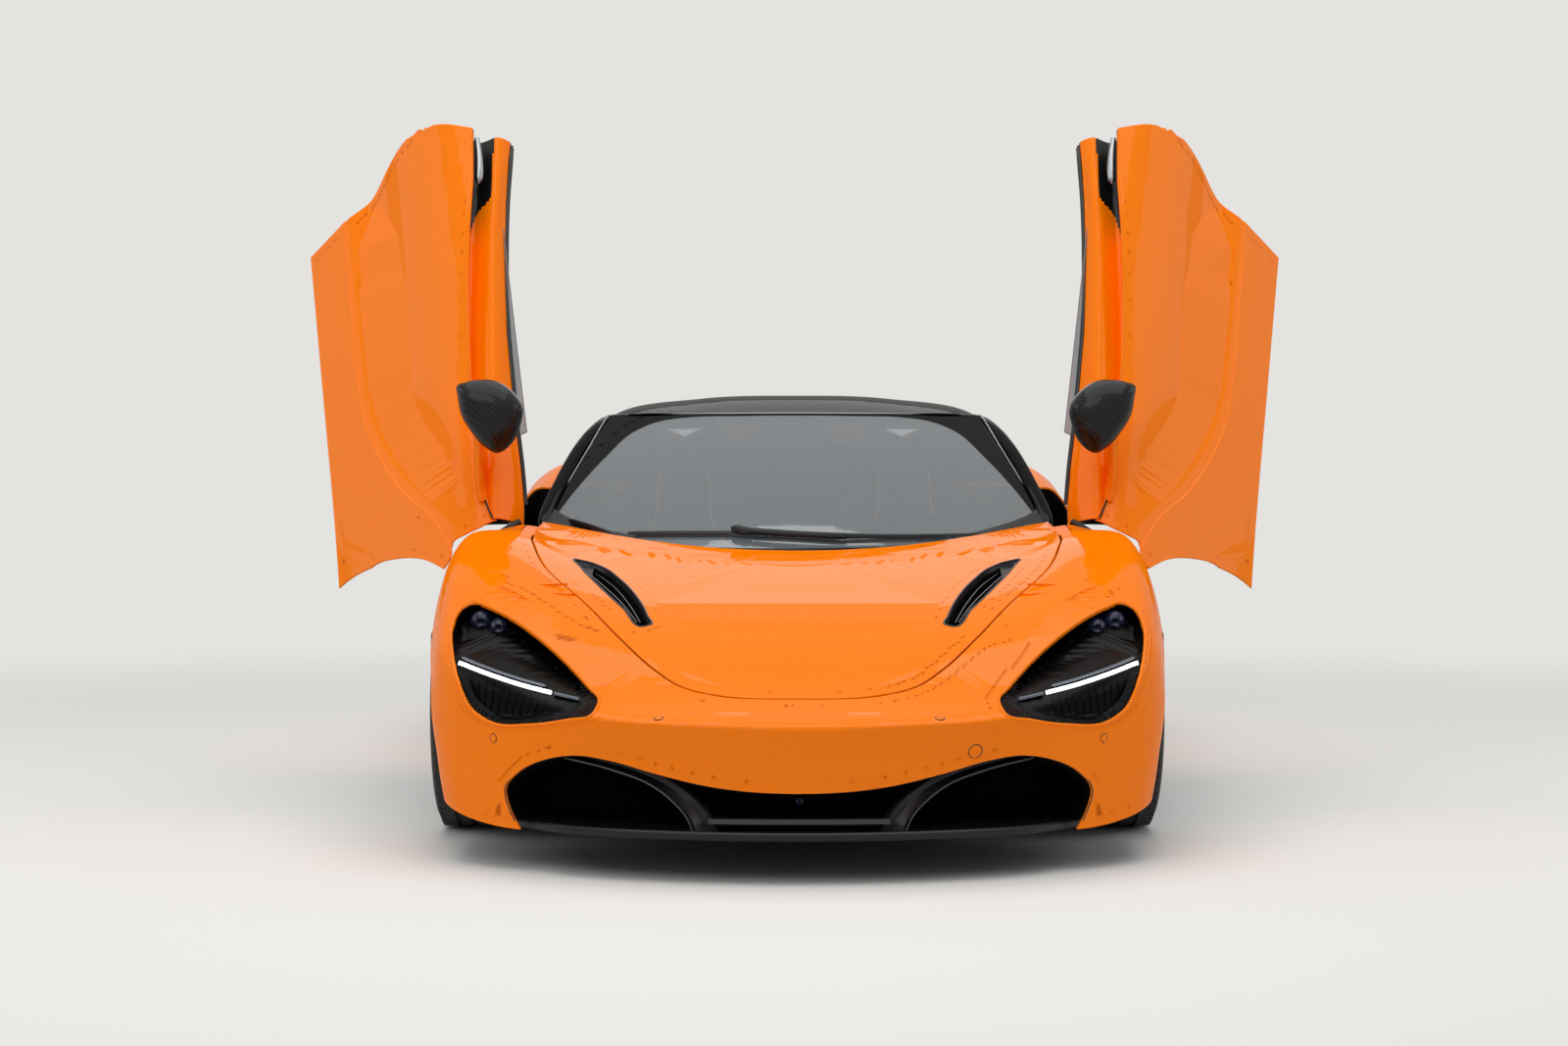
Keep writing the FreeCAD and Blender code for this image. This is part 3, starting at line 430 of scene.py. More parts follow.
def unit(rows: Array) -> Array:
    """The same directions with a length of one."""
    return rows / np.maximum(np.linalg.norm(rows, axis=1, keepdims=True), TINY)


def offset_line(line: Array, distance: float, closed: bool = True) -> Array:
    """Moves a flat line sideways, to the right of its direction.

    Args:
        line: the samples.
        distance: how far.
        closed: whether the line returns to its start.

    Returns:
        The moved samples.
    """
    least_mitre = 0.5
    ahead, behind = np.roll(line, -1, 0), np.roll(line, 1, 0)
    if not closed:
        ahead[-1], behind[0] = line[-1], line[0]
    d0, d1 = unit(line - behind), unit(ahead - line)
    if not closed:
        d0[0], d1[-1] = d1[0], d0[-1]
    both = unit(d0 + d1)
    mitre = np.clip((both * d1).sum(1, keepdims=True), least_mitre, 1.0)
    return line + np.stack([both[:, 1], -both[:, 0]], 1) * distance / mitre


def inside(points: Array, outline: Array) -> Array:
    """Tells which flat points lie within a closed outline.

    Args:
        points: rows of two numbers.
        outline: the outline's samples.

    Returns:
        One truth value a point.
    """
    px, py = points[:, 0][:, None], points[:, 1][:, None]
    x0, y0 = outline[:, 0], outline[:, 1]
    x1, y1 = np.roll(x0, -1), np.roll(y0, -1)
    rise = np.where(np.abs(y1 - y0) < 1e-12, 1e-12, y1 - y0)
    crossed = ((y0 > py) != (y1 > py)) & (px < (x1 - x0) * (py - y0) / rise + x0)
    return crossed.sum(1) % 2 == 1


def smooth_min(a: Array, b: Array, width: float) -> Array:
    """The lesser of two values, rounded over a width where they meet."""
    h = np.clip(0.5 + 0.5 * (b - a) / width, 0, 1)
    return b * (1 - h) + a * h - width * h * (1 - h)


def between(table: Array, row: Array, column: Array) -> Array:
    """Reads a table between its rows and columns.

    Args:
        table: the values.
        row: where in its rows, counted from zero.
        column: where in its columns.

    Returns:
        One value for each place, blended from the four round it.
    """
    r, c = np.clip(row, 0, table.shape[0] - 1.001), np.clip(column, 0, table.shape[1] - 1.001)
    i, j = r.astype(int), c.astype(int)
    a, b = r - i, c - j
    return (table[i, j] * (1 - a) + table[i + 1, j] * a) * (1 - b) \
        + (table[i, j + 1] * (1 - a) + table[i + 1, j + 1] * a) * b


def resampled(line: Array, count: int) -> Array:
    """The same line as a number of points, evenly spaced along it.

    Args:
        line: the samples.
        count: how many points.

    Returns:
        The new samples.
    """
    size = np.concatenate([[0], np.cumsum(np.linalg.norm(np.diff(line, axis=0), axis=1))])
    at = np.linspace(0, size[-1], count)
    return np.stack([np.interp(at, size, line[:, k]) for k in range(line.shape[1])], 1)


def outside_arch(points: Array, axle: tuple[float, float], radius: float) -> Array:
    """Tells which points x, y, z lie outside a wheel arch's circle in side view."""
    return np.hypot(points[:, 1] - axle[0], points[:, 2] - axle[1]) > radius


def oval(count: int, side: float, up: float, side_power: float = 1.0, up_power: float = 1.0) -> Array:
    """A closed profile between an ellipse and a box.

    Args:
        count: how many points.
        side: its half width.
        up: its half height.
        side_power: one for an ellipse, less for fuller sides.
        up_power: the same for top and bottom.

    Returns:
        The ring of side and up offsets.
    """
    turn = np.linspace(0, 2 * math.pi, count, endpoint=False)
    c, s = np.cos(turn), np.sin(turn)
    return np.stack([np.sign(c) * np.abs(c) ** side_power * side, np.sign(s) * np.abs(s) ** up_power * up], 1)


class Loft:
    """A smooth form through half sections that stand along the car."""

    def __init__(self, rows: Sequence, step: float = 4.0) -> None:
        """Samples the form on a fine grid of length and girth.

        Args:
            rows: y, section points from the bottom up and the centre height.
            step: spacing of the samples.
        """
        stations = np.array([row[0] for row in rows], float)
        points = np.array([[*row[1:-1], (0.0, row[-1])] for row in rows], float)
        count, knots = points.shape[:2]
        self.y = np.arange(stations[0], stations[-1] + step / 2, step)
        control = spline(stations, points.reshape(count, -1), self.y).reshape(-1, knots, 2)
        spans = np.linalg.norm(np.diff(points, axis=1), axis=2).mean(0)
        self.girth = np.concatenate([[0], np.cumsum(spans)])
        self.s = np.linspace(0, self.girth[-1], int(self.girth[-1] / step) + 1)
        beyond = control[:, -2:-1] * np.array([-1.0, 1.0])
        first = 2 * control[:, :1] - control[:, 1:2]
        whole = np.concatenate([first, control, beyond], 1)
        knot = np.concatenate([[-spans[0]], self.girth, [self.girth[-1] + spans[-1]]])
        gap = np.diff(knot)[:, None]
        slope = np.diff(whole, axis=1) / gap
        tangent = (slope[:, :-1] * gap[1:] + slope[:, 1:] * gap[:-1]) / (gap[1:] + gap[:-1])
        i = np.clip(np.searchsorted(self.girth, self.s) - 1, 0, knots - 2)
        h = spans[i]
        t = ((self.s - self.girth[i]) / h)[:, None]
        h = h[:, None]
        section = (2 * t ** 3 - 3 * t ** 2 + 1) * control[:, i] \
            + (t ** 3 - 2 * t ** 2 + t) * h * tangent[:, i] \
            + (3 * t ** 2 - 2 * t ** 3) * control[:, i + 1] + (t ** 3 - t ** 2) * h * tangent[:, i + 1]
        self.x, self.z = section[:, :, 0], section[:, :, 1]
        self.widest = self.x.argmax(1)
        self.x_axis = np.arange(0.0, 1000.0, step)
        self.z_axis = np.arange(100.0, 1220.0, step)
        tops, sides = [], []
        for x, z, w in zip(self.x, self.z, self.widest):
            peak = z.argmax() if z.argmax() > w else len(z) - 1
            tops.append(np.interp(self.x_axis, x[w:][::-1], z[w:][::-1], right=-500.0))
            sides.append(np.interp(self.z_axis, z[:peak + 1], x[:peak + 1], right=-500.0))
        self.tops, self.sides = np.array(tops), np.array(sides)

    def _row(self, y: float) -> int:
        """Index of the section nearest to y."""
        return int(np.clip(round((y - self.y[0]) / (self.y[1] - self.y[0])), 0, len(self.y) - 1))

    def _read(self, table: Array, y: Array, column: Array) -> Array:
        """Reads one of the form's tables at each y and column."""
        return between(table, (y - self.y[0]) / (self.y[1] - self.y[0]), column)

    def skin(self, flat: Array) -> Array:
        """Lifts rows of (y, girth) onto the form."""
        column = flat[:, 1] / (self.s[1] - self.s[0])
        x, z = (self._read(table, flat[:, 0], column) for table in (self.x, self.z))
        return np.stack([x, flat[:, 0], z], 1)

    def top(self, x: Array, y: Array) -> Array:
        """Height of the upper side at x, y."""
        return self._read(self.tops, y, np.abs(x) / (self.x_axis[1] - self.x_axis[0]))

    def side(self, y: Array, z: Array) -> Array:
        """Half width of the flank at y, z."""
        return self._read(self.sides, y, (z - self.z_axis[0]) / (self.z_axis[1] - self.z_axis[0]))

    def girth_at_x(self, y: Array, x: Array) -> Array:
        """Girth of the upper side's point at each y, x."""
        found = []
        for yi, xi in zip(y, x):
            r = self._row(yi)
            w = self.widest[r]
            found.append(np.interp(xi, self.x[r, w:][::-1], self.s[w:][::-1]))
        return np.array(found)

    def girth_at_z(self, y: Array, z: Array) -> Array:
        """Girth of the flank's point at each y, z."""
        found = []
        for yi, zi in zip(y, z):
            r = self._row(yi)
            peak = self.z[r].argmax() if self.z[r].argmax() > self.widest[r] else len(self.s) - 1
            found.append(np.interp(zi, self.z[r, :peak + 1], self.s[:peak + 1]))
        return np.array(found)

    def by_plan(self, line: Array) -> Array:
        """Flat coordinates of a plan line of x, y."""
        return np.stack([line[:, 1], self.girth_at_x(line[:, 1], line[:, 0])], 1)

    def by_side(self, line: Array) -> Array:
        """Flat coordinates of a side-view line of y, z."""
        return np.stack([line[:, 0], self.girth_at_z(line[:, 0], line[:, 1])], 1)


@dataclass
class Sheet:
    """A surface as rows of points and faces, before it gets its thickness."""

    points: Array
    faces: list[tuple[int, ...]]

    def mirrored(self) -> "Sheet":
        """The same surface on the other side of the car."""
        return Sheet(self.points * np.array([-1.0, 1, 1]), [face[::-1] for face in self.faces])

    def joined(self, other: "Sheet") -> "Sheet":
        """This surface with another, their common points merged."""
        shift = len(self.points)
        faces = self.faces + [tuple(i + shift for i in face) for face in other.faces]
        return Sheet(np.concatenate([self.points, other.points]), faces).welded()

    def welded(self, grid: float = 0.02) -> "Sheet":
        """The surface with points closer than a grid made one."""
        key = np.round(self.points / grid).astype(np.int64)
        _, first, index = np.unique(key, axis=0, return_index=True, return_inverse=True)
        index = index.reshape(-1)
        faces = []
        for face in self.faces:
            ring = [int(index[i]) for i in face]
            ring = [v for k, v in enumerate(ring) if v != ring[k - 1]]
            if len(ring) > 2 and len(set(ring)) == len(ring):
                faces.append(tuple(ring))
        return Sheet(self.points[first], faces)

    def turned(self, place: Place) -> "Sheet":
        """The surface with its points moved by a function."""
        return Sheet(place(self.points), self.faces)

    def capped(self, count: int) -> "Sheet":
        """A tube of rings of so many points each, with both ends closed."""
        last = len(self.points) - count
        return Sheet(self.points, self.faces + [tuple(range(count))[::-1], tuple(range(last, last + count))])

    def half(self) -> "Sheet":
        """The surface with no point past the centre line."""
        return Sheet(np.maximum(self.points, (0.0, -np.inf, -np.inf)), self.faces)

    def whole(self) -> "Sheet":
        """A left half merged with its mirror image on the centre line."""
        left = self.half()
        return left.joined(left.mirrored())


def cut_sheet(us: Array, vs: Array, lines: Sequence[Array], keep: Place, lift: Place) -> Sheet:
    """Meshes a flat grid, cuts it exactly along lines and lifts what is kept onto a form.

    Args:
        us: grid positions along the first flat coordinate.
        vs: grid positions along the second.
        lines: cut lines in flat coordinates; a closed one repeats its first point.
        keep: which lifted points belong to the piece.
        lift: the function from flat to space.

    Returns:
        The kept surface.
    """
    walk_share, border_cells, slack = 0.4, 2, 1e-2
    nu, nv = len(us), len(vs)
    flat = np.stack(np.meshgrid(us, vs, indexing="ij"), 2).reshape(-1, 2)
    cu, cv = (us[:-1] + us[1:]) / 2, (vs[:-1] + vs[1:]) / 2
    middles = np.stack(np.meshgrid(cu, cv, indexing="ij"), 2).reshape(-1, 2)
    kept = keep(lift(middles)).reshape(nu - 1, nv - 1)
    crossed = np.zeros((nu - 1, nv - 1), bool)
    fine = min(np.diff(us).min(), np.diff(vs).min()) * walk_share
    for line in lines:
        size = np.linalg.norm(np.diff(line, axis=0), axis=1)
        for a, b, n in zip(line[:-1], line[1:], np.maximum(1, (size / fine).astype(int))):
            walk = a + (b - a) * (np.arange(n + 1)[:, None] / n)
            i = np.searchsorted(us, walk[:, 0]) - 1
            j = np.searchsorted(vs, walk[:, 1]) - 1
            ok = (i >= 0) & (j >= 0) & (i < nu - 1) & (j < nv - 1)
            crossed[i[ok], j[ok]] = True
    for _ in range(border_cells):
        wide = crossed.copy()
        wide[1:] |= crossed[:-1]
        wide[:-1] |= crossed[1:]
        wide[:, 1:] |= crossed[:, :-1]
        wide[:, :-1] |= crossed[:, 1:]
        crossed = wide

    def quad(i: int, j: int) -> tuple[int, int, int, int]:
        """Corner indices of one grid cell."""
        a = i * nv + j
        return (a, a + nv, a + nv + 1, a + 1)

    whole = [quad(i, j) for i, j in zip(*np.nonzero(kept & ~crossed))]
    border = [quad(i, j) for i, j in zip(*np.nonzero(crossed))]
    used = sorted({v for face in border for v in face})
    order = {v: k for k, v in enumerate(used)}
    spots = [Vector(flat[v]) for v in used]
    edges = []
    for line in lines:
        start = len(spots)
        spots += [Vector(p) for p in line]
        edges += [(start + k, start + k + 1) for k in range(len(line) - 1)]
    cells = [[order[v] for v in face] for face in border]
    cut_points, _, cut_faces, *_ = delaunay_2d_cdt(spots, edges, cells, 4, slack, False)
    cut_flat = np.array([[p.x, p.y] for p in cut_points])
    centre = np.array([cut_flat[list(face)].mean(0) for face in cut_faces])
    low, high = np.array([us[0], vs[0]]), np.array([us[-1], vs[-1]])
    ok = keep(lift(centre)) & ((centre > low) & (centre < high)).all(1)
    shift = len(flat)
    faces = whole + [tuple(v + shift for v in face) for face, good in zip(cut_faces, ok) if good]
    both = np.concatenate([flat, cut_flat])
    sheet = Sheet(np.concatenate([both, np.zeros((len(both), 1))], 1), faces).welded()
    used = np.zeros(len(sheet.points), bool)
    for face in sheet.faces:
        used[list(face)] = True
    index = np.cumsum(used) - 1
    faces = [tuple(int(index[v]) for v in face) for face in sheet.faces]
    return Sheet(lift(sheet.points[used][:, :2]), faces)


def cut_flat(us: Array, vs: Array, line: Array, lift: Place, hole: bool = False) -> Sheet:
    """Cuts a flat grid along one closed outline and then lifts it.

    Args:
        us: grid positions along the first flat coordinate.
        vs: grid positions along the second.
        line: the outline in flat coordinates.
        lift: the function from flat to space.
        hole: whether the outside is kept, not the inside.

    Returns:
        The kept surface.
    """
    sheet = cut_sheet(us, vs, [ring(line)], lambda points: inside(points[:, :2], line) != hole,
                      lambda flat: np.insert(flat, 2, 0.0, axis=1))
    return Sheet(lift(sheet.points[:, :2]), sheet.faces)


def face_out(sheet: Sheet, towards: Sequence[float]) -> Sheet:
    """Turns a surface so that it mostly faces a direction.

    Args:
        sheet: the surface.
        towards: the direction that its outside should face.

    Returns:
        The surface, flipped if it faced the other way.
    """
    p = sheet.points
    total = np.zeros(3)
    for f in sheet.faces:
        total += np.cross(p[f[1]] - p[f[0]], p[f[2]] - p[f[0]])
    if total @ np.array(towards, float) < 0:
        return Sheet(p, [f[::-1] for f in sheet.faces])
    return sheet


def make_mesh(name: str, points: Array, faces: Sequence,
              sharp: Iterable[tuple[int, int]] = ()) -> bpy.types.Object:
    """Makes a smooth-shaded mesh object from points in millimetres.

    Args:
        name: the piece's name.
        points: rows of x, y, z.
        faces: rings of point indices.
        sharp: pairs of point indices whose edge stays crisp.

    Returns:
        The object, at the origin.
    """
    mesh = bpy.data.meshes.new(name)
    mesh.from_pydata((points * MM).tolist(), [], [list(map(int, f)) for f in faces])
    mesh.update()
    crisp = {frozenset(pair) for pair in sharp}
    if crisp:
        flags = mesh.attributes.new("sharp_edge", "BOOLEAN", "EDGE")
        ends = np.zeros(len(mesh.edges) * 2, int)
        mesh.edges.foreach_get("vertices", ends)
        flags.data.foreach_set("value", [frozenset(pair) in crisp for pair in ends.reshape(-1, 2).tolist()])
    piece = bpy.data.objects.new(name, mesh)
    bpy.context.scene.collection.objects.link(piece)
    return piece


def shell(name: str, sheet: Sheet, thickness: float = 6.0, radius: float = EDGE_ROLL,
          steps: int = 3) -> bpy.types.Object:
    """Gives a surface a wall with a rolled outer edge and closes it.

    Args:
        name: the piece's name.
        sheet: the outer surface, facing outwards.
        thickness: wall thickness.
        radius: radius of the rolled edge.
        steps: facets in the roll.

    Returns:
        The closed piece, whose inner faces have material index one.
    """
    least_mitre, inset = 0.6, 1.0
    points, faces = sheet.points, sheet.faces
    normals = np.zeros_like(points)
    edge_face: dict[tuple[int, int], int] = {}
    for face in faces:
        ring = points[list(face)]
        n = np.zeros(3)
        for k in range(1, len(face) - 1):
            n += np.cross(ring[k] - ring[0], ring[k + 1] - ring[0])
        for k, v in enumerate(face):
            normals[v] += n
            edge_face[(face[k - 1], v)] = 1
    normals /= np.maximum(np.linalg.norm(normals, axis=1, keepdims=True), 1e-12)
    rim = [(a, b) for a, b in edge_face if (b, a) not in edge_face]
    after, before = {a: b for a, b in rim}, {b: a for a, b in rim}
    border = sorted(set(after) | set(before))
    out = {}
    for v in border:
        d0 = points[v] - points[before.get(v, v)]
        d1 = points[after.get(v, v)] - points[v]
        d0 /= max(np.linalg.norm(d0), TINY)
        d1 /= max(np.linalg.norm(d1), TINY)
        both = d0 + d1
        both /= max(np.linalg.norm(both), TINY)
        side = np.cross(both, normals[v])
        side /= max(np.linalg.norm(side), TINY)
        out[v] = side / max(both @ d1, least_mitre)
    count = len(points)
    rows = [points]
    ring_index = {v: [v] for v in border}
    for k in range(1, steps + 1):
        turn = math.pi / 2 * k / steps
        ring = []
        for v in border:
            ring_index[v].append(count + len(ring))
            ring.append(points[v] + out[v] * radius * math.sin(turn)
                        - normals[v] * radius * (1 - math.cos(turn)))
        rows.append(np.array(ring))
        count += len(ring)
    low = np.array([points[v] + out[v] * radius - normals[v] * thickness for v in border])
    for k, v in enumerate(border):
        ring_index[v].append(count + k)
    rows.append(low)
    count += len(low)
    inner = points - normals * thickness
    for v in border:
        inner[v] = points[v] + out[v] * (radius - inset) - normals[v] * thickness
    rows.append(inner)
    all_points = np.concatenate(rows)
    made, inner_faces = list(faces), []
    for a, b in rim:
        ra, rb = ring_index[a], ring_index[b]
        for k in range(len(ra) - 1):
            made.append((ra[k + 1], rb[k + 1], rb[k], ra[k]))
        inner_faces.append((count + a, count + b, rb[-1], ra[-1]))
    inner_faces += [tuple(count + v for v in face[::-1]) for face in faces]
    sharp = [(a, b) for a, b in rim] + [(ring_index[a][-1], ring_index[b][-1]) for a, b in rim]
    piece = make_mesh(name, all_points, made + inner_faces, sharp)
    piece.data.polygons.foreach_set("material_index", [0] * len(made) + [1] * len(inner_faces))
    return piece


def mirrored_outline(half: Sequence) -> list[tuple[float, float]]:
    """A whole outline from its left half, which starts and ends on the centre line."""
    return [tuple(p) for p in half] + [(-p[0], p[1]) for p in reversed(half) if p[0] > 0]


def ring(line: Array) -> Array:
    """A closed line with its first point repeated at the end."""
    return np.concatenate([line, line[:1]])


class Nose:
    """The rounded front: the loft rounded into the plan curve of the nose."""

    POST_Y = -1300.0
    SCALE = 1000.0
    BLEND = 64.0
    ARC_RADIUS = 1183.8
    ARC_HALF_X = 880.0
    NEAREST = 150.0
    FARTHEST = 1500.0
    SEARCH_STEP = 10.0
    HALVINGS = 14

    def __init__(self, body: Loft) -> None:
        """Tabulates the distance from an upright post inside the body to the skin."""
        self.body = body
        self.angle = np.radians(np.arange(0, 88.01, 0.5))
        self.z = np.arange(100.0, 760.0, 4.0)
        angle, z = np.meshgrid(self.angle, self.z, indexing="ij")
        far, near = np.full(angle.shape, -1.0), np.full(angle.shape, self.NEAREST)
        for reach in np.arange(self.FARTHEST, self.NEAREST, -self.SEARCH_STEP):
            found = (far < 0) & self._within(angle, z, reach)
            near[found] = reach
            far[found] = reach + self.SEARCH_STEP
        far[far < 0] = self.NEAREST
        for _ in range(self.HALVINGS):
            middle = (near + far) / 2
            good = self._within(angle, z, middle)
            near, far = np.where(good, middle, near), np.where(good, far, middle)
        lean = np.interp(z, (100, 160, 223, 290, 340, 375), (-36, -38, -40, -30, -14, 0))
        lean *= np.interp(np.degrees(angle), (28, 44), (1.0, 0.15))
        self.reach = smooth_min(near, self._wall(angle) + lean, self.BLEND)

    def _within(self, angle: Array, z: Array, reach: Array | float) -> Array:
        """Tells whether points round the post lie in the loft."""
        x, y = np.sin(angle) * reach, self.POST_Y - np.cos(angle) * reach
        beyond = np.minimum(y - self.body.y[0], 0.0)
        return (z <= self.body.top(x, y) + 0.3 * beyond) & (x <= self.body.side(y, z) + 0.2 * beyond)

    def _wall(self, angle: Array) -> Array:
        """Distance from the post to the plan curve of the nose."""
        turn = np.linspace(0, math.asin(self.ARC_HALF_X / self.ARC_RADIUS), 60)
        x = np.append(self.ARC_RADIUS * np.sin(turn), (990, 1300))
        y = np.append(NOSE_Y + self.ARC_RADIUS * (1 - np.cos(turn)), (-1750, -1380))
        return np.interp(angle, np.arctan2(x, self.POST_Y - y), np.hypot(x, self.POST_Y - y))

    def lift(self, flat: Array) -> Array:
        """Lifts rows of (angle times SCALE, z) onto the nose."""
        angle, z = flat[:, 0] / self.SCALE, flat[:, 1]
        reach = between(self.reach, np.abs(angle) / (self.angle[1] - self.angle[0]),
                        (z - self.z[0]) / (self.z[1] - self.z[0]))
        return np.stack([np.sin(angle) * reach, self.POST_Y - np.cos(angle) * reach, z], 1)

    def from_front(self, line: Array) -> Array:
        """Flat coordinates of a front-view line of x, z on the left half."""
        out = []
        for x, z in line:
            flat = np.stack([self.angle * self.SCALE, np.full(len(self.angle), z)], 1)
            out.append((np.interp(x, self.lift(flat)[:, 0], flat[:, 0]), z))
        return np.array(out)

    def from_plan(self, line: Array) -> Array:
        """Flat coordinates of a plan line of x, y on the top of the nose."""
        out = []
        heights = np.arange(330.0, 750.0, 2.0)
        for x, y in line:
            angle = math.atan2(x, self.POST_Y - y)
            flat = np.stack([np.full(len(heights), angle * self.SCALE), heights], 1)
            lifted = self.lift(flat)
            reach = np.minimum.accumulate(np.hypot(lifted[:, 0], lifted[:, 1] - self.POST_Y))
            out.append((angle * self.SCALE, np.interp(-math.hypot(x, y - self.POST_Y), -reach, heights)))
        return np.array(out)

    def from_side(self, line: Array) -> Array:
        """Flat coordinates of a side-view line of y, z on the flank."""
        x = self.body.side(line[:, 0], line[:, 1])
        return np.stack([np.arctan2(x, self.POST_Y - line[:, 0]) * self.SCALE, line[:, 1]], 1)


def circle(y: float, z: float, radius: float, start: float, end: float, count: int = 60) -> Array:
    """Samples of a side-view arc between two angles in degrees."""
    turn = np.radians(np.linspace(start, end, count))
    return np.stack([y + radius * np.cos(turn), z + radius * np.sin(turn)], 1)


@dataclass
class FrontEnd:
    """Bonnet, bumper and fenders, cut from one smooth form."""

    body: Loft
    nose: Nose
    gap: float = 5.0
    roll: float = EDGE_ROLL
    bonnet_half: tuple = ((0, -2091), (176, -2082), (272, -2040), (350, -1956), (439, -1822), (562, -1588),
                          (664, -1410), (704, -1250), (722, -1110), (716, -1030), (694, -1004), (400, -1008),
                          (0, -1014))
    vent: tuple = ((598, -1238), (556, -1240), (520, -1272), (466, -1380), (412, -1540), (380, -1676),
                   (370, -1732), (388, -1746), (446, -1636), (520, -1470), (580, -1312))
    split_plan: tuple = ((392, -1860), (560, -1775), (745, -1610), (900, -1555), (1100, -1530))
    lamp: tuple = ((820, 627), (856, 608), (866, 572), (852, 512), (832, 452), (798, 390), (745, 360),
                   (648, 361), (553, 378), (486, 399), (480, 417), (506, 441), (624, 536), (707, 587),
                   (777, 617))
    intake_half: tuple = ((0, 211), (209, 225), (338, 252), (452, 280), (535, 289), (609, 275), (673, 243),
                          (708, 201), (696, 150), (668, 100), (0, 100))
    door_front: tuple = ((-853, 180), (-844, 300), (-826, 380), (-834, 470), (-877, 590), (-926, 649),
                         (-897, 680), (-851, 690), (-839, 722), (-823, 770), (-800, 830), (-792, 905))

    def __post_init__(self) -> None:
        """Draws the outlines that the panels share."""
        self.bonnet_line = curve_through(mirrored_outline(self.bonnet_half), closed=True)
        self.vent_line = curve_through(self.vent, 8.0, closed=True)
        self.split_line = curve_through(self.split_plan)
        self.lamp_line = curve_through(self.lamp, 8.0, closed=True)
        whole = mirrored_outline(self.intake_half)
        self.intake_line = curve_through(whole, 10.0, closed=True, corners=(9, 12))
        self.door_line = curve_through(self.door_front)
        self.edge = self.gap / 2 + self.roll

    def grown(self, outline: Array, distance: float) -> Array:
        """An outline moved outwards whatever its winding."""
        x, y = outline[:, 0], outline[:, 1]
        area = (x * np.roll(y, -1) - np.roll(x, -1) * y).sum()
        return offset_line(outline, distance if area > 0 else -distance)

    def bonnet(self) -> Sheet:
        """The bonnet's outer surface.

        Returns:
            The surface, with the vents' openings cut out.
        """
        line = self.grown(self.bonnet_line, -self.edge)
        holes = [self.vent_line, self.vent_line * (-1, 1)]

        def keep(points: Array) -> Array:
            """Inside the shut line and outside the vents."""
            plan = points[:, :2]
            return inside(plan, line) & ~inside(plan, holes[0]) & ~inside(plan, holes[1])

        us, vs = np.arange(-726.0, 727.0, 12.0), np.arange(-2100.0, -975.0, 12.5)
        lines = [ring(outline) for outline in [line] + holes]
        return face_out(cut_sheet(us, vs, lines, keep, lambda flat: self.sunk(flat, 0.0)), (0, 0, 1))

    def sunk(self, line: Array, down: float) -> Array:
        """A plan line laid below the bonnet's surface."""
        return np.stack([line[:, 0], line[:, 1], self.body.top(line[:, 0], line[:, 1]) - down], 1)

    def vent_bowl(self) -> list[bpy.types.Object]:
        """The left vent in the bonnet.

        Returns:
            Its rolled edge, wall, floor and two vanes.
        """
        line = self.vent_line
        steps = ((1.5, 1.0), (-3, 4.0), (-6, 14.0), (-9, 44.0))
        rows = [self.sunk(self.grown(line, grow), down) for grow, down in steps]
        wall = face_out(grid_sheet(rows, closed=True).welded(), (0, 0, 1))
        low = self.grown(line, -7)
        us, vs = np.arange(360.0, 606.0, 11.0), np.arange(-1750.0, -1230.0, 11.0)
        floor = cut_sheet(us, vs, [ring(low)], lambda p: inside(p[:, :2], low),
                          lambda flat: self.sunk(flat, 42.0))
        rim = self.sunk(self.grown(line, -1), 1.5)
        made = [painted(sweep("edge", rim, disc_ring(3.4, 10), closed=True), SATIN),
                painted(shell("wall", wall, 1.5, 0.3, 1), SATIN),
                # The vent floor's near-black finish is painted shade.
                painted(shell("floor", face_out(floor, (0, 0, 1)), 2.0, 0.3, 1), SHADE_BLACK)]
        for shift in (-14, 16):
            path = curve_through([(404 + shift * 0.3, -1680), (446 + shift * 0.6, -1540),
                                  (506 + shift, -1380), (552 + shift * 0.8, -1284)], 14.0)
            vane = np.array([(-1.2, -16), (1.2, -16), (1.6, 8), (-1.6, 8)], float)
            made.append(painted(sweep("vane", self.sunk(path, 24.0), vane), SATIN))
        return made

    def stud(self, name: str, x: float, z: float, radius: float, proud: float) -> list[bpy.types.Object]:
        """A round cover in the bumper with a black ring round it, painted shade of its groove.

        Args:
            name: the piece's name.
            x: front-view place on the left half; a negative one goes on the right half.
            z: its height.
            radius: its radius.
            proud: how far it stands out.

        Returns:
            The cover and its ring.
        """
        x, side = abs(x), np.sign(x)
        spots = self.nose.lift(self.nose.from_front(np.array([(x, z), (x + 4, z), (x, z + 4)])))
        normal = np.cross(spots[2] - spots[0], spots[1] - spots[0])
        normal *= side ** np.array([1, 0, 0]) * -np.sign(normal[1])
        place = Matrix.Translation(Vector(spots[0] * (side, 1, 1)) * MM) \
            @ Vector((0, -1, 0)).rotation_difference(Vector(normal)).to_matrix().to_4x4()
        flank = radius - 0.8
        cover = [(6, 0.1), (6, flank), (-proud + 0.8, flank), (-proud, radius - 2.4), (-proud - 0.2, 0.1)]
        # The black ring fills the groove round the cover as painted shade.
        groove = [(5, flank), (5, radius + 1.4), (-0.5, radius + 1.4), (-0.5, flank)]
        made = [painted(turned_piece(name, cover, (0, 0, 0), 36, "y"), PAINT),
                painted(turned_piece(name, groove, (0, 0, 0), 36, "y"), TRIM)]
        for piece in made:
            piece.data.transform(place)
        return made

    def sill(self, x: Array) -> Array:
        """Height of the bumper's lower edge, which rises at the corners."""
        return 106 + 46 * np.clip((x - 660) / 240, 0, 1) ** 2.2

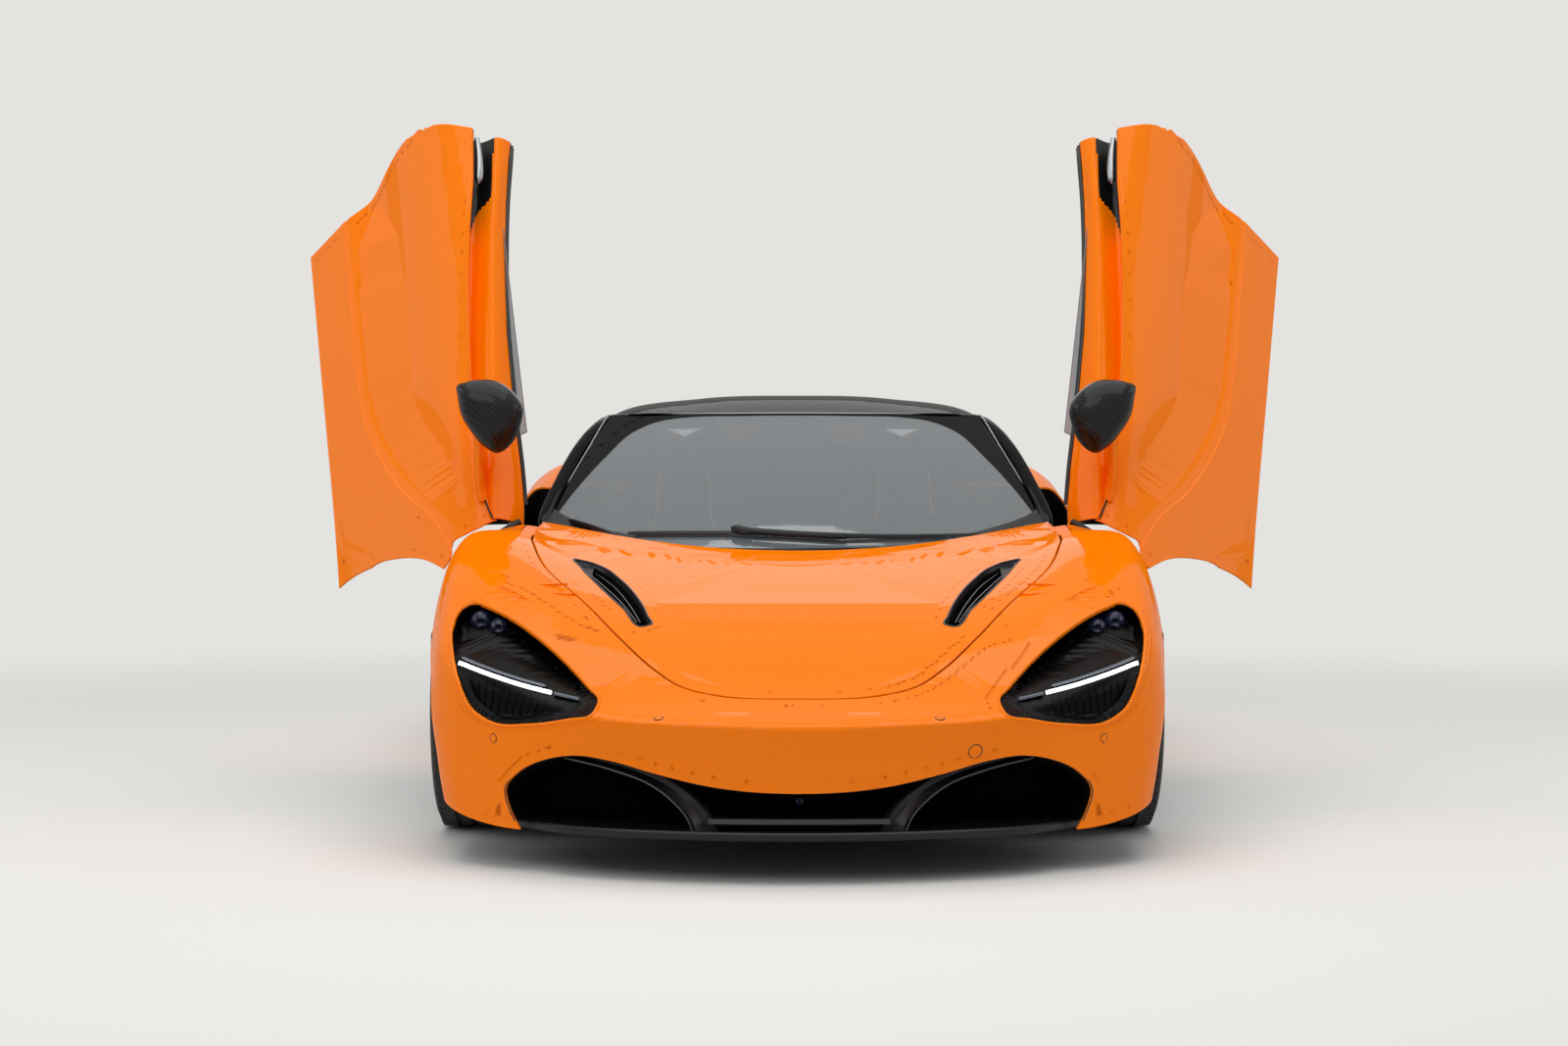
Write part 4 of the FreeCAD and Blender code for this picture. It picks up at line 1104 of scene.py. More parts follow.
    def bumper(self) -> Sheet:
        """The painted nose below the bonnet, round to both arches.

        Returns:
            The surface of both halves, merged at the centre line.
        """
        bonnet = self.grown(self.bonnet_line, self.edge)
        lamp = self.grown(self.lamp_line, self.roll)
        intake = self.grown(self.intake_line, self.roll)
        split = offset_line(self.split_line, -self.edge, closed=False)
        split = np.concatenate([[(300, -1900)], split])
        region = np.concatenate([split, [(1200, -2500), (-200, -2500), (-200, -1900)]])
        arch = circle(*FRONT_AXLE, FRONT_ARCH_R + self.roll, 100, 250)
        upper = bonnet[(bonnet[:, 0] >= -20) & (bonnet[:, 1] < -1500)]
        upper = upper[np.argsort(upper[:, 1])]
        rocker = np.linspace(650, 905, 60)
        rocker = np.stack([rocker, self.sill(rocker)], 1)
        lines = [ring(self.nose.from_front(lamp)), self.mouth_flat(intake), self.nose.from_plan(upper),
                 self.nose.from_plan(split), self.nose.from_side(arch), self.nose.from_front(rocker)]

        def keep(points: Array) -> Array:
            """In front of the split line, outside every opening."""
            plan, front_view = points[:, :2], points[:, [0, 2]]
            ok = inside(plan, region) & ~inside(plan, bonnet)
            ok &= ~inside(front_view, lamp) & ~inside(front_view, intake)
            ok &= outside_arch(points, FRONT_AXLE, FRONT_ARCH_R + self.roll)
            return ok & (points[:, 2] > self.sill(points[:, 0]))

        us = np.radians(np.arange(0, 80.1, 0.6)) * self.nose.SCALE
        vs = np.concatenate([np.arange(104, 340, 9.5), np.arange(340, 700, 4.5)])
        return face_out(cut_sheet(us, vs, lines, keep, self.nose.lift), (1, -1, 0)).whole()

    def mouth_flat(self, intake: Array) -> Array:
        """The left half of the mouth's outline in the nose's flat coordinates."""
        start = int(np.argmin(np.abs(intake[:, 0]) + (intake[:, 1] < 160) * 1e4))
        turned = np.roll(intake, -start, 0)
        if turned[5, 0] < 0:
            turned = np.roll(turned[::-1], 1, 0)
        right = []
        for p in turned:
            if p[0] < -1 and len(right) > 5:
                break
            right.append((max(p[0], 0.0), p[1]))
        return self.nose.from_front(np.array(right))

    def fender(self) -> Sheet:
        """The left front fender from the split line to the door.

        Returns:
            The surface of one side.
        """
        bonnet = self.grown(self.bonnet_line, self.edge)
        split = offset_line(self.split_line, self.edge, closed=False)
        split = np.concatenate([[(300, -1900)], split])
        region = np.concatenate([split, [(1200, -700), (300, -700)]])
        door = offset_line(self.door_line, -self.edge, closed=False)
        ahead = np.concatenate([door, [(-780, 1100), (-2000, 1100), (-2000, 0), (-842, 0)]])
        arch = circle(*FRONT_AXLE, FRONT_ARCH_R + self.roll, -20, 200, 120)
        body = self.body
        cowl_x, cowl_back = 768.0 + self.edge, -1000.0
        side = bonnet[(bonnet[:, 0] > 0) & (bonnet[:, 1] > -1920)]
        side = side[np.argsort(side[:, 1])]
        cowl_y = np.arange(-1010.0, -770.0, 10.0)
        cowl = np.stack([np.full(len(cowl_y), cowl_x), cowl_y], 1)
        cross_x = np.arange(640.0, 800.0, 10.0)
        cross = np.stack([cross_x, np.full(len(cross_x), cowl_back)], 1)
        lines = [body.by_plan(side), body.by_plan(split[split[:, 0] < 905]), body.by_side(door),
                 body.by_side(arch), body.by_plan(cowl), body.by_plan(cross)]
        outer = split[split[:, 0] > 880]
        flank_z = np.arange(340.0, 700.0, 10.0)
        edge_y = []
        for z in flank_z:
            ys = np.arange(-1640.0, -1500.0, 1.0)
            gap = np.abs(np.interp(body.side(ys, np.full(len(ys), z)), outer[:, 0], outer[:, 1]) - ys)
            edge_y.append(ys[gap.argmin()])
        lines.append(body.by_side(np.stack([edge_y, flank_z], 1)))

        def keep(points: Array) -> Array:
            """Behind the split line, beside bonnet and cowl, ahead of the door."""
            plan, side_view = points[:, :2], points[:, 1:]
            ok = inside(plan, region) & ~inside(plan, bonnet) & inside(side_view, ahead)
            ok &= ~((points[:, 0] < cowl_x) & (points[:, 1] > cowl_back))
            return ok & outside_arch(points, FRONT_AXLE, FRONT_ARCH_R + self.roll)

        us, vs = np.arange(-1930.0, -760.0, 11.0), np.arange(150.0, self.body.girth[-1] - 300, 11.0)
        return face_out(cut_sheet(us, vs, lines, keep, body.skin), (1, 0, 1))


@dataclass
class Studio:
    """Camera, lamps, floor and world."""

    lens_mm: float = 64.28
    camera_mm: tuple[float, float, float] = (-45.0, -8771.5, 1010.0)
    pitch_deg: float = 1.433
    yaw_deg: float = 0.08
    pale: str = "#E4E3E0"

    def camera(self) -> None:
        """Puts the camera where the photo was taken from."""
        data = bpy.data.cameras.new("camera")
        data.sensor_width = 36.0
        data.lens = self.lens_mm
        data.clip_end = 200.0
        camera = bpy.data.objects.new("camera", data)
        camera.location = Vector(self.camera_mm) * MM
        camera.rotation_euler = (math.radians(90 - self.pitch_deg), 0, math.radians(-self.yaw_deg))
        bpy.context.scene.collection.objects.link(camera)
        bpy.context.scene.camera = camera

    def lamps(self) -> None:
        """Hangs soft boxes over the car and at its sides."""
        target = Vector((0, 0, 0.5))
        for name, place, size, power in (
                ("over", (0, -1.5, 6.5), (7, 9), 330), ("front", (-2.5, -8, 5), (6, 3), 95),
                ("left", (7.5, -1, 4), (5, 3), 60), ("right", (-7.5, -1, 4), (5, 3), 60),
                ("back", (0, 8, 5), (7, 3), 80)):
            data = bpy.data.lights.new(name, "AREA")
            data.shape = "RECTANGLE"
            data.size, data.size_y = size
            data.energy = power
            lamp = bpy.data.objects.new(name, data)
            lamp.location = place
            lamp.rotation_euler = (target - Vector(place)).to_track_quat("-Z", "Y").to_euler()
            bpy.context.scene.collection.objects.link(lamp)

    def _mirrored_or_seen(self, tree: bpy.types.NodeTree) -> tuple[bpy.types.Node, bpy.types.Node]:
        """The light path and a node that is one for rays from the camera and off gloss."""
        path = add_node(tree, "ShaderNodeLightPath")
        seen = add_node(tree, "ShaderNodeMath", {"operation": "MAXIMUM"},
                        {0: path.outputs["Is Camera Ray"], 1: path.outputs["Is Glossy Ray"]})
        return path, seen

    def world(self) -> None:
        """Makes the pale surroundings, softer as light than as a background."""
        world = bpy.data.worlds.new("world")
        world.use_nodes = True
        bpy.context.scene.world = world
        tree = world.node_tree
        tree.nodes.clear()
        path, seen = self._mirrored_or_seen(tree)
        seen = add_node(tree, "ShaderNodeMath", {"operation": "MAXIMUM"},
                        {0: seen.outputs[0], 1: path.outputs["Is Transmission Ray"]})
        light = add_node(tree, "ShaderNodeBackground", {"Color": linear("#EEF1F5"), "Strength": 0.38})
        shown = add_node(tree, "ShaderNodeBackground", {"Color": linear(self.pale), "Strength": 1.0})
        mixed = add_node(tree, "ShaderNodeMixShader", links={0: seen.outputs[0], 1: light.outputs[0],
                                                              2: shown.outputs[0]})
        add_node(tree, "ShaderNodeOutputWorld", links={0: mixed.outputs[0]})

    def floor(self) -> None:
        """Lays a pale floor that fades into the surroundings far from the car."""
        reach = 60000.0
        corners = np.array([(-reach, -reach, 0), (reach, -reach, 0), (reach, reach, 0), (-reach, reach, 0)])
        piece = make_mesh("studio_floor", corners, [(0, 1, 2, 3)])
        made = bpy.data.materials.new("studio_concrete")
        made.use_nodes = True
        tree = made.node_tree
        tree.nodes.clear()
        place = add_node(tree, "ShaderNodeTexCoord").outputs["Object"]
        far = add_node(tree, "ShaderNodeVectorMath", {"operation": "LENGTH"}, {0: place})
        fade = add_node(tree, "ShaderNodeMapRange", {1: 2.9, 2: 6.5, "interpolation_type": "SMOOTHSTEP"},
                        {0: far.outputs["Value"]})
        matt = add_node(tree, "ShaderNodeBsdfDiffuse", {"Color": linear("#EDECE8")})
        shown = add_node(tree, "ShaderNodeEmission", {"Color": linear(self.pale), "Strength": 1.0})
        _, seen = self._mirrored_or_seen(tree)
        share = add_node(tree, "ShaderNodeMath", {"operation": "MULTIPLY"},
                         {0: fade.outputs[0], 1: seen.outputs[0]})
        mixed = add_node(tree, "ShaderNodeMixShader", links={0: share.outputs[0], 1: matt.outputs[0],
                                                              2: shown.outputs[0]})
        add_node(tree, "ShaderNodeOutputMaterial", links={"Surface": mixed.outputs[0]})
        piece.data.materials.append(made)

    def build(self) -> None:
        """Sets the whole scene round the car."""
        self.camera()
        self.lamps()
        self.world()
        self.floor()
        bpy.context.scene.view_settings.view_transform = "Standard"


def settle(piece: bpy.types.Object, body: str, slot: str, nodes: Sequence[str] = ()) -> bpy.types.Object:
    """Attaches a finished piece to its body and hides the nodes that it replaces.

    Args:
        piece: the mesh, with its materials.
        body: the body that it moves with.
        slot: its material slot; not used.
        nodes: names of the nodes that it replaces.

    Returns:
        The same piece.
    """
    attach(piece, body)
    if nodes:
        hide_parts(*nodes)
    LOG.info("%s: %d faces", piece.name, len(piece.data.polygons))
    return piece


def coated(piece: bpy.types.Object, *finishes: Finish) -> bpy.types.Object:
    """Gives a mesh its finishes, in the order of its material indices."""
    for finish in finishes:
        piece.data.materials.append(finish.build())
    return piece


def painted(piece: bpy.types.Object, finish: Finish) -> bpy.types.Object:
    """Gives every face of a mesh one finish."""
    piece.data.materials.clear()
    return coated(piece, finish)


def dress(piece: bpy.types.Object, body: str, nodes: Sequence[str] = ()) -> bpy.types.Object:
    """Gives a panel paint outside and bare trim inside and attaches it to its body."""
    return settle(coated(piece, PAINT, TRIM), body, PAINT.slot, nodes)


def rotated(angle_deg: float, axis: Sequence[float], through: Sequence[float]) -> Place:
    """A turn about a line.

    Args:
        angle_deg: the turn.
        axis: direction of the line.
        through: a point on it.

    Returns:
        A function that turns rows of points.
    """
    turn = np.array(Matrix.Rotation(math.radians(angle_deg), 3, Vector(axis)))
    centre = np.array(through, float)
    return lambda points: (points - centre) @ turn.T + centre


def grid_sheet(rows: Sequence[Array], closed: bool = False) -> Sheet:
    """Joins rows of as many points each into a surface.

    Args:
        rows: the rows.
        closed: whether each row is a closed ring.

    Returns:
        The surface.
    """
    table = np.array(rows, float)
    n, m = table.shape[:2]
    faces = []
    for i in range(n - 1):
        for j in range(m if closed else m - 1):
            k = (j + 1) % m
            faces.append((i * m + j, i * m + k, (i + 1) * m + k, (i + 1) * m + j))
    return Sheet(table.reshape(-1, 3), faces)


def sweep(name: str, path: Array, profile: Array, closed: bool = False, up: Sequence[float] = (0, 0, 1),
          scale: Array | None = None) -> bpy.types.Object:
    """Pulls a closed profile along a path.

    Args:
        name: the piece's name.
        path: points in space.
        profile: a ring of (side, up) offsets.
        closed: whether the path is a loop.
        up: direction that stays up in the profile.
        scale: size of the profile at each point.

    Returns:
        The closed piece.
    """
    ahead, behind = np.roll(path, -1, 0), np.roll(path, 1, 0)
    if not closed:
        ahead[-1], behind[0] = path[-1], path[0]
    along = unit(ahead - behind)
    side = unit(np.cross(along, np.array(up, float)))
    over = np.cross(side, along)
    size = np.ones(len(path)) if scale is None else scale
    rows = [p + (profile[:, :1] * s + profile[:, 1:] * o) * k for p, s, o, k in zip(path, side, over, size)]
    if closed:
        rows.append(rows[0])
    sheet = grid_sheet(rows, closed=True)
    sheet = sheet.welded() if closed else sheet.capped(len(profile))
    return outward(make_mesh(name, sheet.points, sheet.faces))


def outward(piece: bpy.types.Object, smooth_deg: float = 40.0) -> bpy.types.Object:
    """Turns a closed mesh's faces outwards and keeps its corners crisp.

    Args:
        piece: the mesh.
        smooth_deg: the sharpest angle that is shaded smooth.

    Returns:
        The same piece.
    """
    mesh = bmesh.new()
    mesh.from_mesh(piece.data)
    bmesh.ops.remove_doubles(mesh, verts=mesh.verts, dist=1e-6)
    bmesh.ops.recalc_face_normals(mesh, faces=mesh.faces)
    for edge in mesh.edges:
        edge.smooth = len(edge.link_faces) == 2 and edge.calc_face_angle(0) < math.radians(smooth_deg)
    for face in mesh.faces:
        face.smooth = True
    mesh.to_mesh(piece.data)
    mesh.free()
    return piece


def disc_ring(radius: float, count: int = 12) -> Array:
    """A round profile of side and up offsets."""
    turn = np.arange(count) * 2 * math.pi / count
    return np.stack([np.cos(turn), np.sin(turn)], 1) * radius


def turned_piece(name: str, profile: Sequence, centre: Sequence[float], count: int = 96,
                 axis: str = "x") -> bpy.types.Object:
    """Turns a closed profile of (along, radius) about an axle.

    Args:
        name: the piece's name.
        profile: the ring of points.
        centre: where the axle passes.
        count: facets round the axle.
        axis: x or y.

    Returns:
        The closed piece.
    """
    turn = np.arange(count) * 2 * math.pi / count
    rows = []
    for a, r in profile:
        if axis == "x":
            row = np.stack([np.full(count, a), np.cos(turn) * r, np.sin(turn) * r], 1)
        else:
            row = np.stack([np.cos(turn) * r, np.full(count, a), np.sin(turn) * r], 1)
        rows.append(row + np.array(centre, float))
    rows.append(rows[0])
    sheet = grid_sheet(rows, closed=True).welded()
    return outward(make_mesh(name, sheet.points, sheet.faces))


def join(name: str, pieces: Sequence[bpy.types.Object]) -> bpy.types.Object:
    """Joins meshes into one piece and keeps their materials.

    Args:
        name: the joined piece's name.
        pieces: the meshes.

    Returns:
        The first one, with all the others in it.
    """
    with bpy.context.temp_override(active_object=pieces[0], selected_editable_objects=list(pieces)):
        bpy.ops.object.join()
    pieces[0].name = name
    pieces[0].data.name = name
    return pieces[0]


def hollow_depth(above: Array, depth: Array) -> Array:
    """Depth of the flank's hollow at a distance above its crease.

    Args:
        above: distance above the crease.
        depth: the greatest depth there.

    Returns:
        A small crisp step, then a soft valley that runs out upwards.
    """
    step = np.minimum(depth, 4.0)
    rise, dip = np.clip(above / 5, 0, 1), np.clip((above - 5) / 85, 0, 1)
    fade = np.clip((above - 90) / 215, 0, 1)
    valley = step * rise * rise * (3 - 2 * rise) + (depth - step) * dip * dip * (3 - 2 * dip)
    return valley * (0.5 + 0.5 * np.cos(math.pi * fade))


@dataclass
class Door:
    """One door, drawn shut on the left side and then turned to where it stands open."""

    body: Loft
    outline: tuple = ((-847, 222), (-834, 300), (-810, 380), (-824, 470), (-872, 590), (-918, 650),
                      (-893, 673), (-844, 682), (-832, 720), (-816, 766), (-798, 786), (-740, 780),
                      (-560, 777), (-292, 790), (-124, 805), (92, 833), (254, 858), (430, 874), (464, 791),
                      (478, 700), (464, 640), (424, 560), (358, 473), (308, 372), (281, 296), (256, 222))
    crease: tuple = ((-860, 672), (-838, 662), (-790, 640), (-742, 610), (-646, 522), (-508, 436),
                     (-358, 380), (-208, 368), (-10, 368), (330, 378), (500, 384))
    inner_x: float = 727.0

    def __post_init__(self) -> None:
        """Samples the outline and the crease."""
        corners = (0, 5, 10, 17, 25)
        self.line = curve_through(self.outline, 9.0, closed=True, corners=corners)
        self.crease_line = curve_through(self.crease, 10.0)

    def dent(self, points: Array) -> Array:
        """How far the flank is hollowed above the crease.

        Args:
            points: rows of x, y, z on the flank.

        Returns:
            The depth at each point.
        """
        y, z = points[:, 1], points[:, 2]
        slope = np.gradient(self.crease_line[:, 1], self.crease_line[:, 0])
        tilt = 1 / np.sqrt(1 + np.interp(y, self.crease_line[:, 0], slope) ** 2)
        above = (z - np.interp(y, self.crease_line[:, 0], self.crease_line[:, 1])) * tilt
        return hollow_depth(above, np.interp(y, (-900, -800, -700, -520, -200, 300), (9, 13, 18, 24, 30, 31)))

    def lift(self, flat: Array) -> Array:
        """Lifts rows of (y, girth) onto the hollowed flank."""
        points = self.body.skin(flat)
        points[:, 0] -= self.dent(points)
        return points

    def skin(self) -> Sheet:
        """The painted outer skin up to the lip of the air channel.

        Returns:
            The surface, cut along the crease so that its step stays crisp.
        """
        body, arch_radius = self.body, FRONT_ARCH_R + EDGE_ROLL
        arch = circle(*FRONT_AXLE, arch_radius, -30, 60, 60)

        def keep(points: Array) -> Array:
            """Within the outline and behind the arch."""
            return inside(points[:, 1:], self.line) & outside_arch(points, FRONT_AXLE, arch_radius)

        lines = [body.by_side(ring(self.line)), body.by_side(arch), body.by_side(self.crease_line),
                 body.by_side(self.crease_line + (0, 5.5))]
        us, vs = np.arange(-1040.0, 475.0, 10.0), np.arange(60.0, 1010.0, 10.0)
        return face_out(cut_sheet(us, vs, lines, keep, self.lift), (1, 0, 0))

    def lip(self, y: float) -> tuple[float, float]:
        """Half width and height of the channel's outer lip."""
        z = np.interp(y, (-816, -798, -740, -560, -292, -124, 92, 254, 430),
                      (766, 786, 780, 777, 790, 805, 833, 858, 874))
        return float(self.body.side(np.array([y]), np.array([z]))[0]), float(z)

    def wall_x(self, y: float) -> float:
        """Half width at the channel's inner wall."""
        along = (-796, -640, -383, -128, 88, 270, 436)
        return float(np.interp(y, along, (868, 872, 866, 842, 822, 802, 776)))

    def seal_at(self, y: float) -> tuple[float, float]:
        """Half width and height of the strip's inner edge, where the seal lies."""
        along = (-796, -735, -635, -520, -380, -210, 5, 221, 436)
        x = np.interp(y, along, (748, 754, 768, 780, 784, 784, 770, 746, 716))
        return float(x), float(np.interp(y, along, (798, 812, 828, 838, 843, 848, 857, 870, 890)))

    def channel(self) -> Sheet:
        """The air channel inboard of the lip, its wall and the strip beside the seal.

        Returns:
            The surface, drawn shut.
        """
        rows = []
        for y in np.arange(-796.0, 437.0, 9.0):
            x, z = self.lip(y)
            deep = float(np.interp(y, (-796, -700, -500, -200, 200, 436), (3, 8, 18, 34, 46, 48)))
            wall = self.wall_x(y)
            high = float(np.interp(y, (-796, -700, -560, -383, -128, 88, 270, 436),
                                   (792, 806, 826, 842, 852, 864, 880, 888)))
            inner, top = self.seal_at(y)
            wide, floor = x - wall, z - deep
            climb = high - floor
            knots = [(x - 1, z + 1.5), (x - 0.12 * wide, z - 2), (x - 0.2 * wide, z - 0.4 * deep),
                     (x - 0.28 * wide, z - 0.85 * deep), (x - 0.42 * wide, floor), (x - 0.74 * wide, floor),
                     (x - 0.86 * wide, floor + 0.06 * climb), (x - 0.93 * wide, floor + 0.3 * climb),
                     (wall, high - 8), (wall - 3, high - 2), (wall - 9, high), (inner + 12, top + 1),
                     (inner + 4, top), (inner, top - 7)]
            rows.append(np.insert(resampled(curve_through(knots, 8.0), 40), 1, y, axis=1))
        return face_out(grid_sheet(rows), (0, 0, 1))

    def place(self) -> Place:
        """The turn from shut to open."""
        return rotated(-DOOR_OPEN_DEG, DOOR_HINGE[1], DOOR_HINGE[0])

    def tray(self) -> list[Sheet]:
        """The inner panel and the rim that joins it to the skin.

        Returns:
            The panel, then the rim's front and rear part.
        """
        along = (-772, -635, -520, -380, -210, 5, 221, 428)
        top = [(y, self.seal_at(y)[1] - 6) for y in along]
        side = [(-802, 222), (-782, 300), (-784, 420), (-796, 560), (-800, 640), (-796, 720)] + top \
            + [(442, 800), (446, 720), (436, 640), (404, 560), (352, 473), (300, 372), (246, 222)]
        shift = np.interp([z for _, z in side], (216, 600, 760, 790), (118, 96, 20, 0))
        moved = [(y + (s if y < -560 else 0), z) for (y, z), s in zip(side, shift)]
        line = curve_through(moved, 14.0, closed=True, corners=(0, 6, 13, 20))

        def lift(flat: Array) -> Array:
            """The inner face, which leans out to the seal above the armrest."""
            y, z = flat[:, 0], flat[:, 1]
            edge = np.array([self.seal_at(v) for v in y])
            lean = np.clip((z - 700) / (edge[:, 1] - 6 - 700), 0, 1)
            dip = np.exp(-((z - 330) / 70) ** 4) * np.exp(-((y + 120) / 250) ** 4)
            grip = np.exp(-((z - 610) / 34) ** 4) * np.exp(-((y + 60) / 120) ** 4)
            flat_x = self.inner_x
            x = flat_x + (edge[:, 0] - 5 - flat_x) * lean * lean * (3 - 2 * lean) + 16 * dip + 22 * grip
            return np.stack([x, y, z], 1)

        def keep(points: Array) -> Array:
            """Within the panel's outline."""
            return inside(points[:, 1:], line)

        us, vs = np.arange(-860.0, 470.0, 16.0), np.arange(190.0, 900.0, 16.0)
        panel = face_out(cut_sheet(us, vs, [ring(line)], keep, lift), (-1, 0, 0))
        rim = []
        for part, front in ((side[:6], True), ([(438, 812)] + side[14:], False)):
            part = curve_through(part, 14.0)
            outer = self.body.side(part[:, 0], part[:, 1]) - 9
            outer -= self.dent(np.stack([outer, part[:, 0], part[:, 1]], 1))
            tuck = np.interp(part[:, 1], (216, 600, 760), (118, 96, 20)) * front
            rows = [np.stack([729 + (outer - 729) * share, part[:, 0] + (1 - share) * tuck, part[:, 1]], 1)
                    for share in (0.0, 0.03, 0.06, 0.3, 0.6, 1.0)]
            rim.append(grid_sheet(rows))
        return [panel] + rim


class MirrorShape:
    """The door mirror: a carbon head, pointed at its front, on a painted stalk."""

    CENTRE = np.array([998.0, -561.0, 936.0])
    ACROSS = np.array([-0.617, -0.138, 0.774])
    ALONG = np.array([-0.226, -0.912, -0.343])
    THROUGH = np.array([-0.754, 0.387, -0.532])
    OUTLINE = ((-95, -75), (-54, -95), (18, -89), (72, -50), (89, -23), (83, 35), (59, 85), (18, 112),
               (-18, 94), (-54, 53), (-81, 8), (-92, -46))
    HALF_THICK = 60.0
    ROWS = 25
    PAINTED_ROWS = (14, 24)
    GLASS_Y = -480.0

    def head(self, name: str) -> bpy.types.Object:
        """The head, rounded through its thickness and cut flat behind for the glass.

        Args:
            name: the piece's name.

        Returns:
            The piece: carbon in front, glass where it is cut, paint behind.
        """
        flat = curve_through(self.OUTLINE, 9.0, closed=True) @ np.stack([self.ACROSS, self.ALONG])
        rows = []
        for turn in np.radians(np.linspace(-86, 86, self.ROWS)):
            through = self.THROUGH * math.sin(turn) * self.HALF_THICK
            row = self.CENTRE + flat * math.cos(turn) ** 0.75 + through
            row[:, 1] = np.minimum(row[:, 1], self.GLASS_Y)
            rows.append(row)
        m = len(flat)
        first, last = (count * m for count in self.PAINTED_ROWS)
        sheet = grid_sheet(rows, closed=True).capped(m)
        piece = coated(outward(make_mesh(name, sheet.points, sheet.faces)), CARBON, PAINT, MIRROR_GLASS)
        for polygon in piece.data.polygons:
            y = polygon.center[1] / MM
            if polygon.normal.y > 0.97 and y > self.GLASS_Y - 3:
                polygon.material_index = 2
            elif first <= polygon.index < last or polygon.index > last:
                polygon.material_index = 1
        return piece

    def stalk(self, name: str) -> bpy.types.Object:
        """The arm from the door's shoulder up to the head."""
        path = curve_through([(868, -712, 758), (896, -682, 778), (930, -636, 812), (966, -594, 856)], 10.0)
        size = np.interp(np.linspace(0, 1, len(path)), (0, 0.15, 0.6, 1), (1.25, 1.0, 0.8, 0.75))
        return sweep(name, path, oval(24, 15, 36), up=(0, 1, 0), scale=size)


def slab(name: str, outline: Array, low: float, high: float, axis: int,
         bevel: float = 2.0) -> bpy.types.Object:
    """A flat outline pulled along one axis, with bevelled edges.

    Args:
        name: the piece's name.
        outline: the closed outline in the two other axes, in their order.
        low: where it starts along the axis.
        high: where it ends.
        axis: 0, 1 or 2.
        bevel: size of the bevel.

    Returns:
        The closed piece.
    """
    x, y = outline[:, 0], outline[:, 1]
    area = (x * np.roll(y, -1) - np.roll(x, -1) * y).sum()
    small = offset_line(outline, -bevel if area > 0 else bevel)
    rows = []
    for line, level in ((small, low), (outline, low + bevel), (outline, high - bevel), (small, high)):
        rows.append(np.insert(line, axis, level, axis=1))
    sheet = grid_sheet(rows, closed=True).capped(len(outline))
    return outward(make_mesh(name, sheet.points, sheet.faces), 30)


def repeated(name: str, unit: bpy.types.Object, count: int, finish: Finish,
             step_mm: Sequence[float] = (0, 0, 0), turn_deg: float = 0.0,
             centre_mm: Sequence[float] = (0, 0, 0)) -> bpy.types.Object:
    """Repeats a unit in a row or round the X axis with Geometry Nodes.

    Args:
        name: name of the result.
        unit: the mesh that is repeated; it is deleted.
        count: how many copies.
        finish: the finish of them all.
        step_mm: move from one copy to the next.
        turn_deg: turn about X from one copy to the next.
        centre_mm: where the whole group is put.

    Returns:
        A plain mesh of all copies.
    """
    group = bpy.data.node_groups.new(name + "_nodes", "GeometryNodeTree")
    sockets = {}
    for label, kind, value in (("Unit", "NodeSocketObject", unit), ("Count", "NodeSocketInt", count),
                               ("Step", "NodeSocketVector", Vector(step_mm) * MM),
                               ("Turn", "NodeSocketFloat", math.radians(turn_deg)),
                               ("Centre", "NodeSocketVector", Vector(centre_mm) * MM),
                               ("Finish", "NodeSocketMaterial", finish.build())):
        socket = group.interface.new_socket(label, in_out="INPUT", socket_type=kind)
        sockets[label] = (socket.identifier, value)
    group.interface.new_socket("Geometry", in_out="OUTPUT", socket_type="NodeSocketGeometry")
    given = add_node(group, "NodeGroupInput").outputs
    line = add_node(group, "GeometryNodeMeshLine", links={"Count": given["Count"], "Offset": given["Step"]})
    taken = add_node(group, "GeometryNodeObjectInfo", links={"Object": given["Unit"]})
    index = add_node(group, "GeometryNodeInputIndex")
    angle = add_node(group, "ShaderNodeMath", {"operation": "MULTIPLY"},
                     {0: index.outputs[0], 1: given["Turn"]})
    spin = add_node(group, "ShaderNodeCombineXYZ", links={"X": angle.outputs[0]})
    copies = add_node(group, "GeometryNodeInstanceOnPoints",
                      links={"Points": line.outputs[0], "Instance": taken.outputs["Geometry"],
                             "Rotation": spin.outputs[0]})
    real = add_node(group, "GeometryNodeRealizeInstances", links={0: copies.outputs[0]})
    moved = add_node(group, "GeometryNodeTransform",
                     links={"Geometry": real.outputs[0], "Translation": given["Centre"]})
    coloured = add_node(group, "GeometryNodeSetMaterial",
                        links={"Geometry": moved.outputs[0], "Material": given["Finish"]})
    add_node(group, "NodeGroupOutput", links={0: coloured.outputs[0]})
    host = bpy.data.objects.new(name + "_host", bpy.data.meshes.new(name + "_host"))
    bpy.context.scene.collection.objects.link(host)
    modifier = host.modifiers.new("repeat", "NODES")
    modifier.node_group = group
    for identifier, value in sockets.values():
        modifier[identifier] = value
    graph = bpy.context.evaluated_depsgraph_get()
    graph.update()
    mesh = bpy.data.meshes.new_from_object(host.evaluated_get(graph))
    mesh.name = name
    piece = bpy.data.objects.new(name, mesh)
    bpy.context.scene.collection.objects.link(piece)
    for old in (host, unit):
        bpy.data.objects.remove(old, do_unlink=True)
    bpy.data.node_groups.remove(group)
    return piece


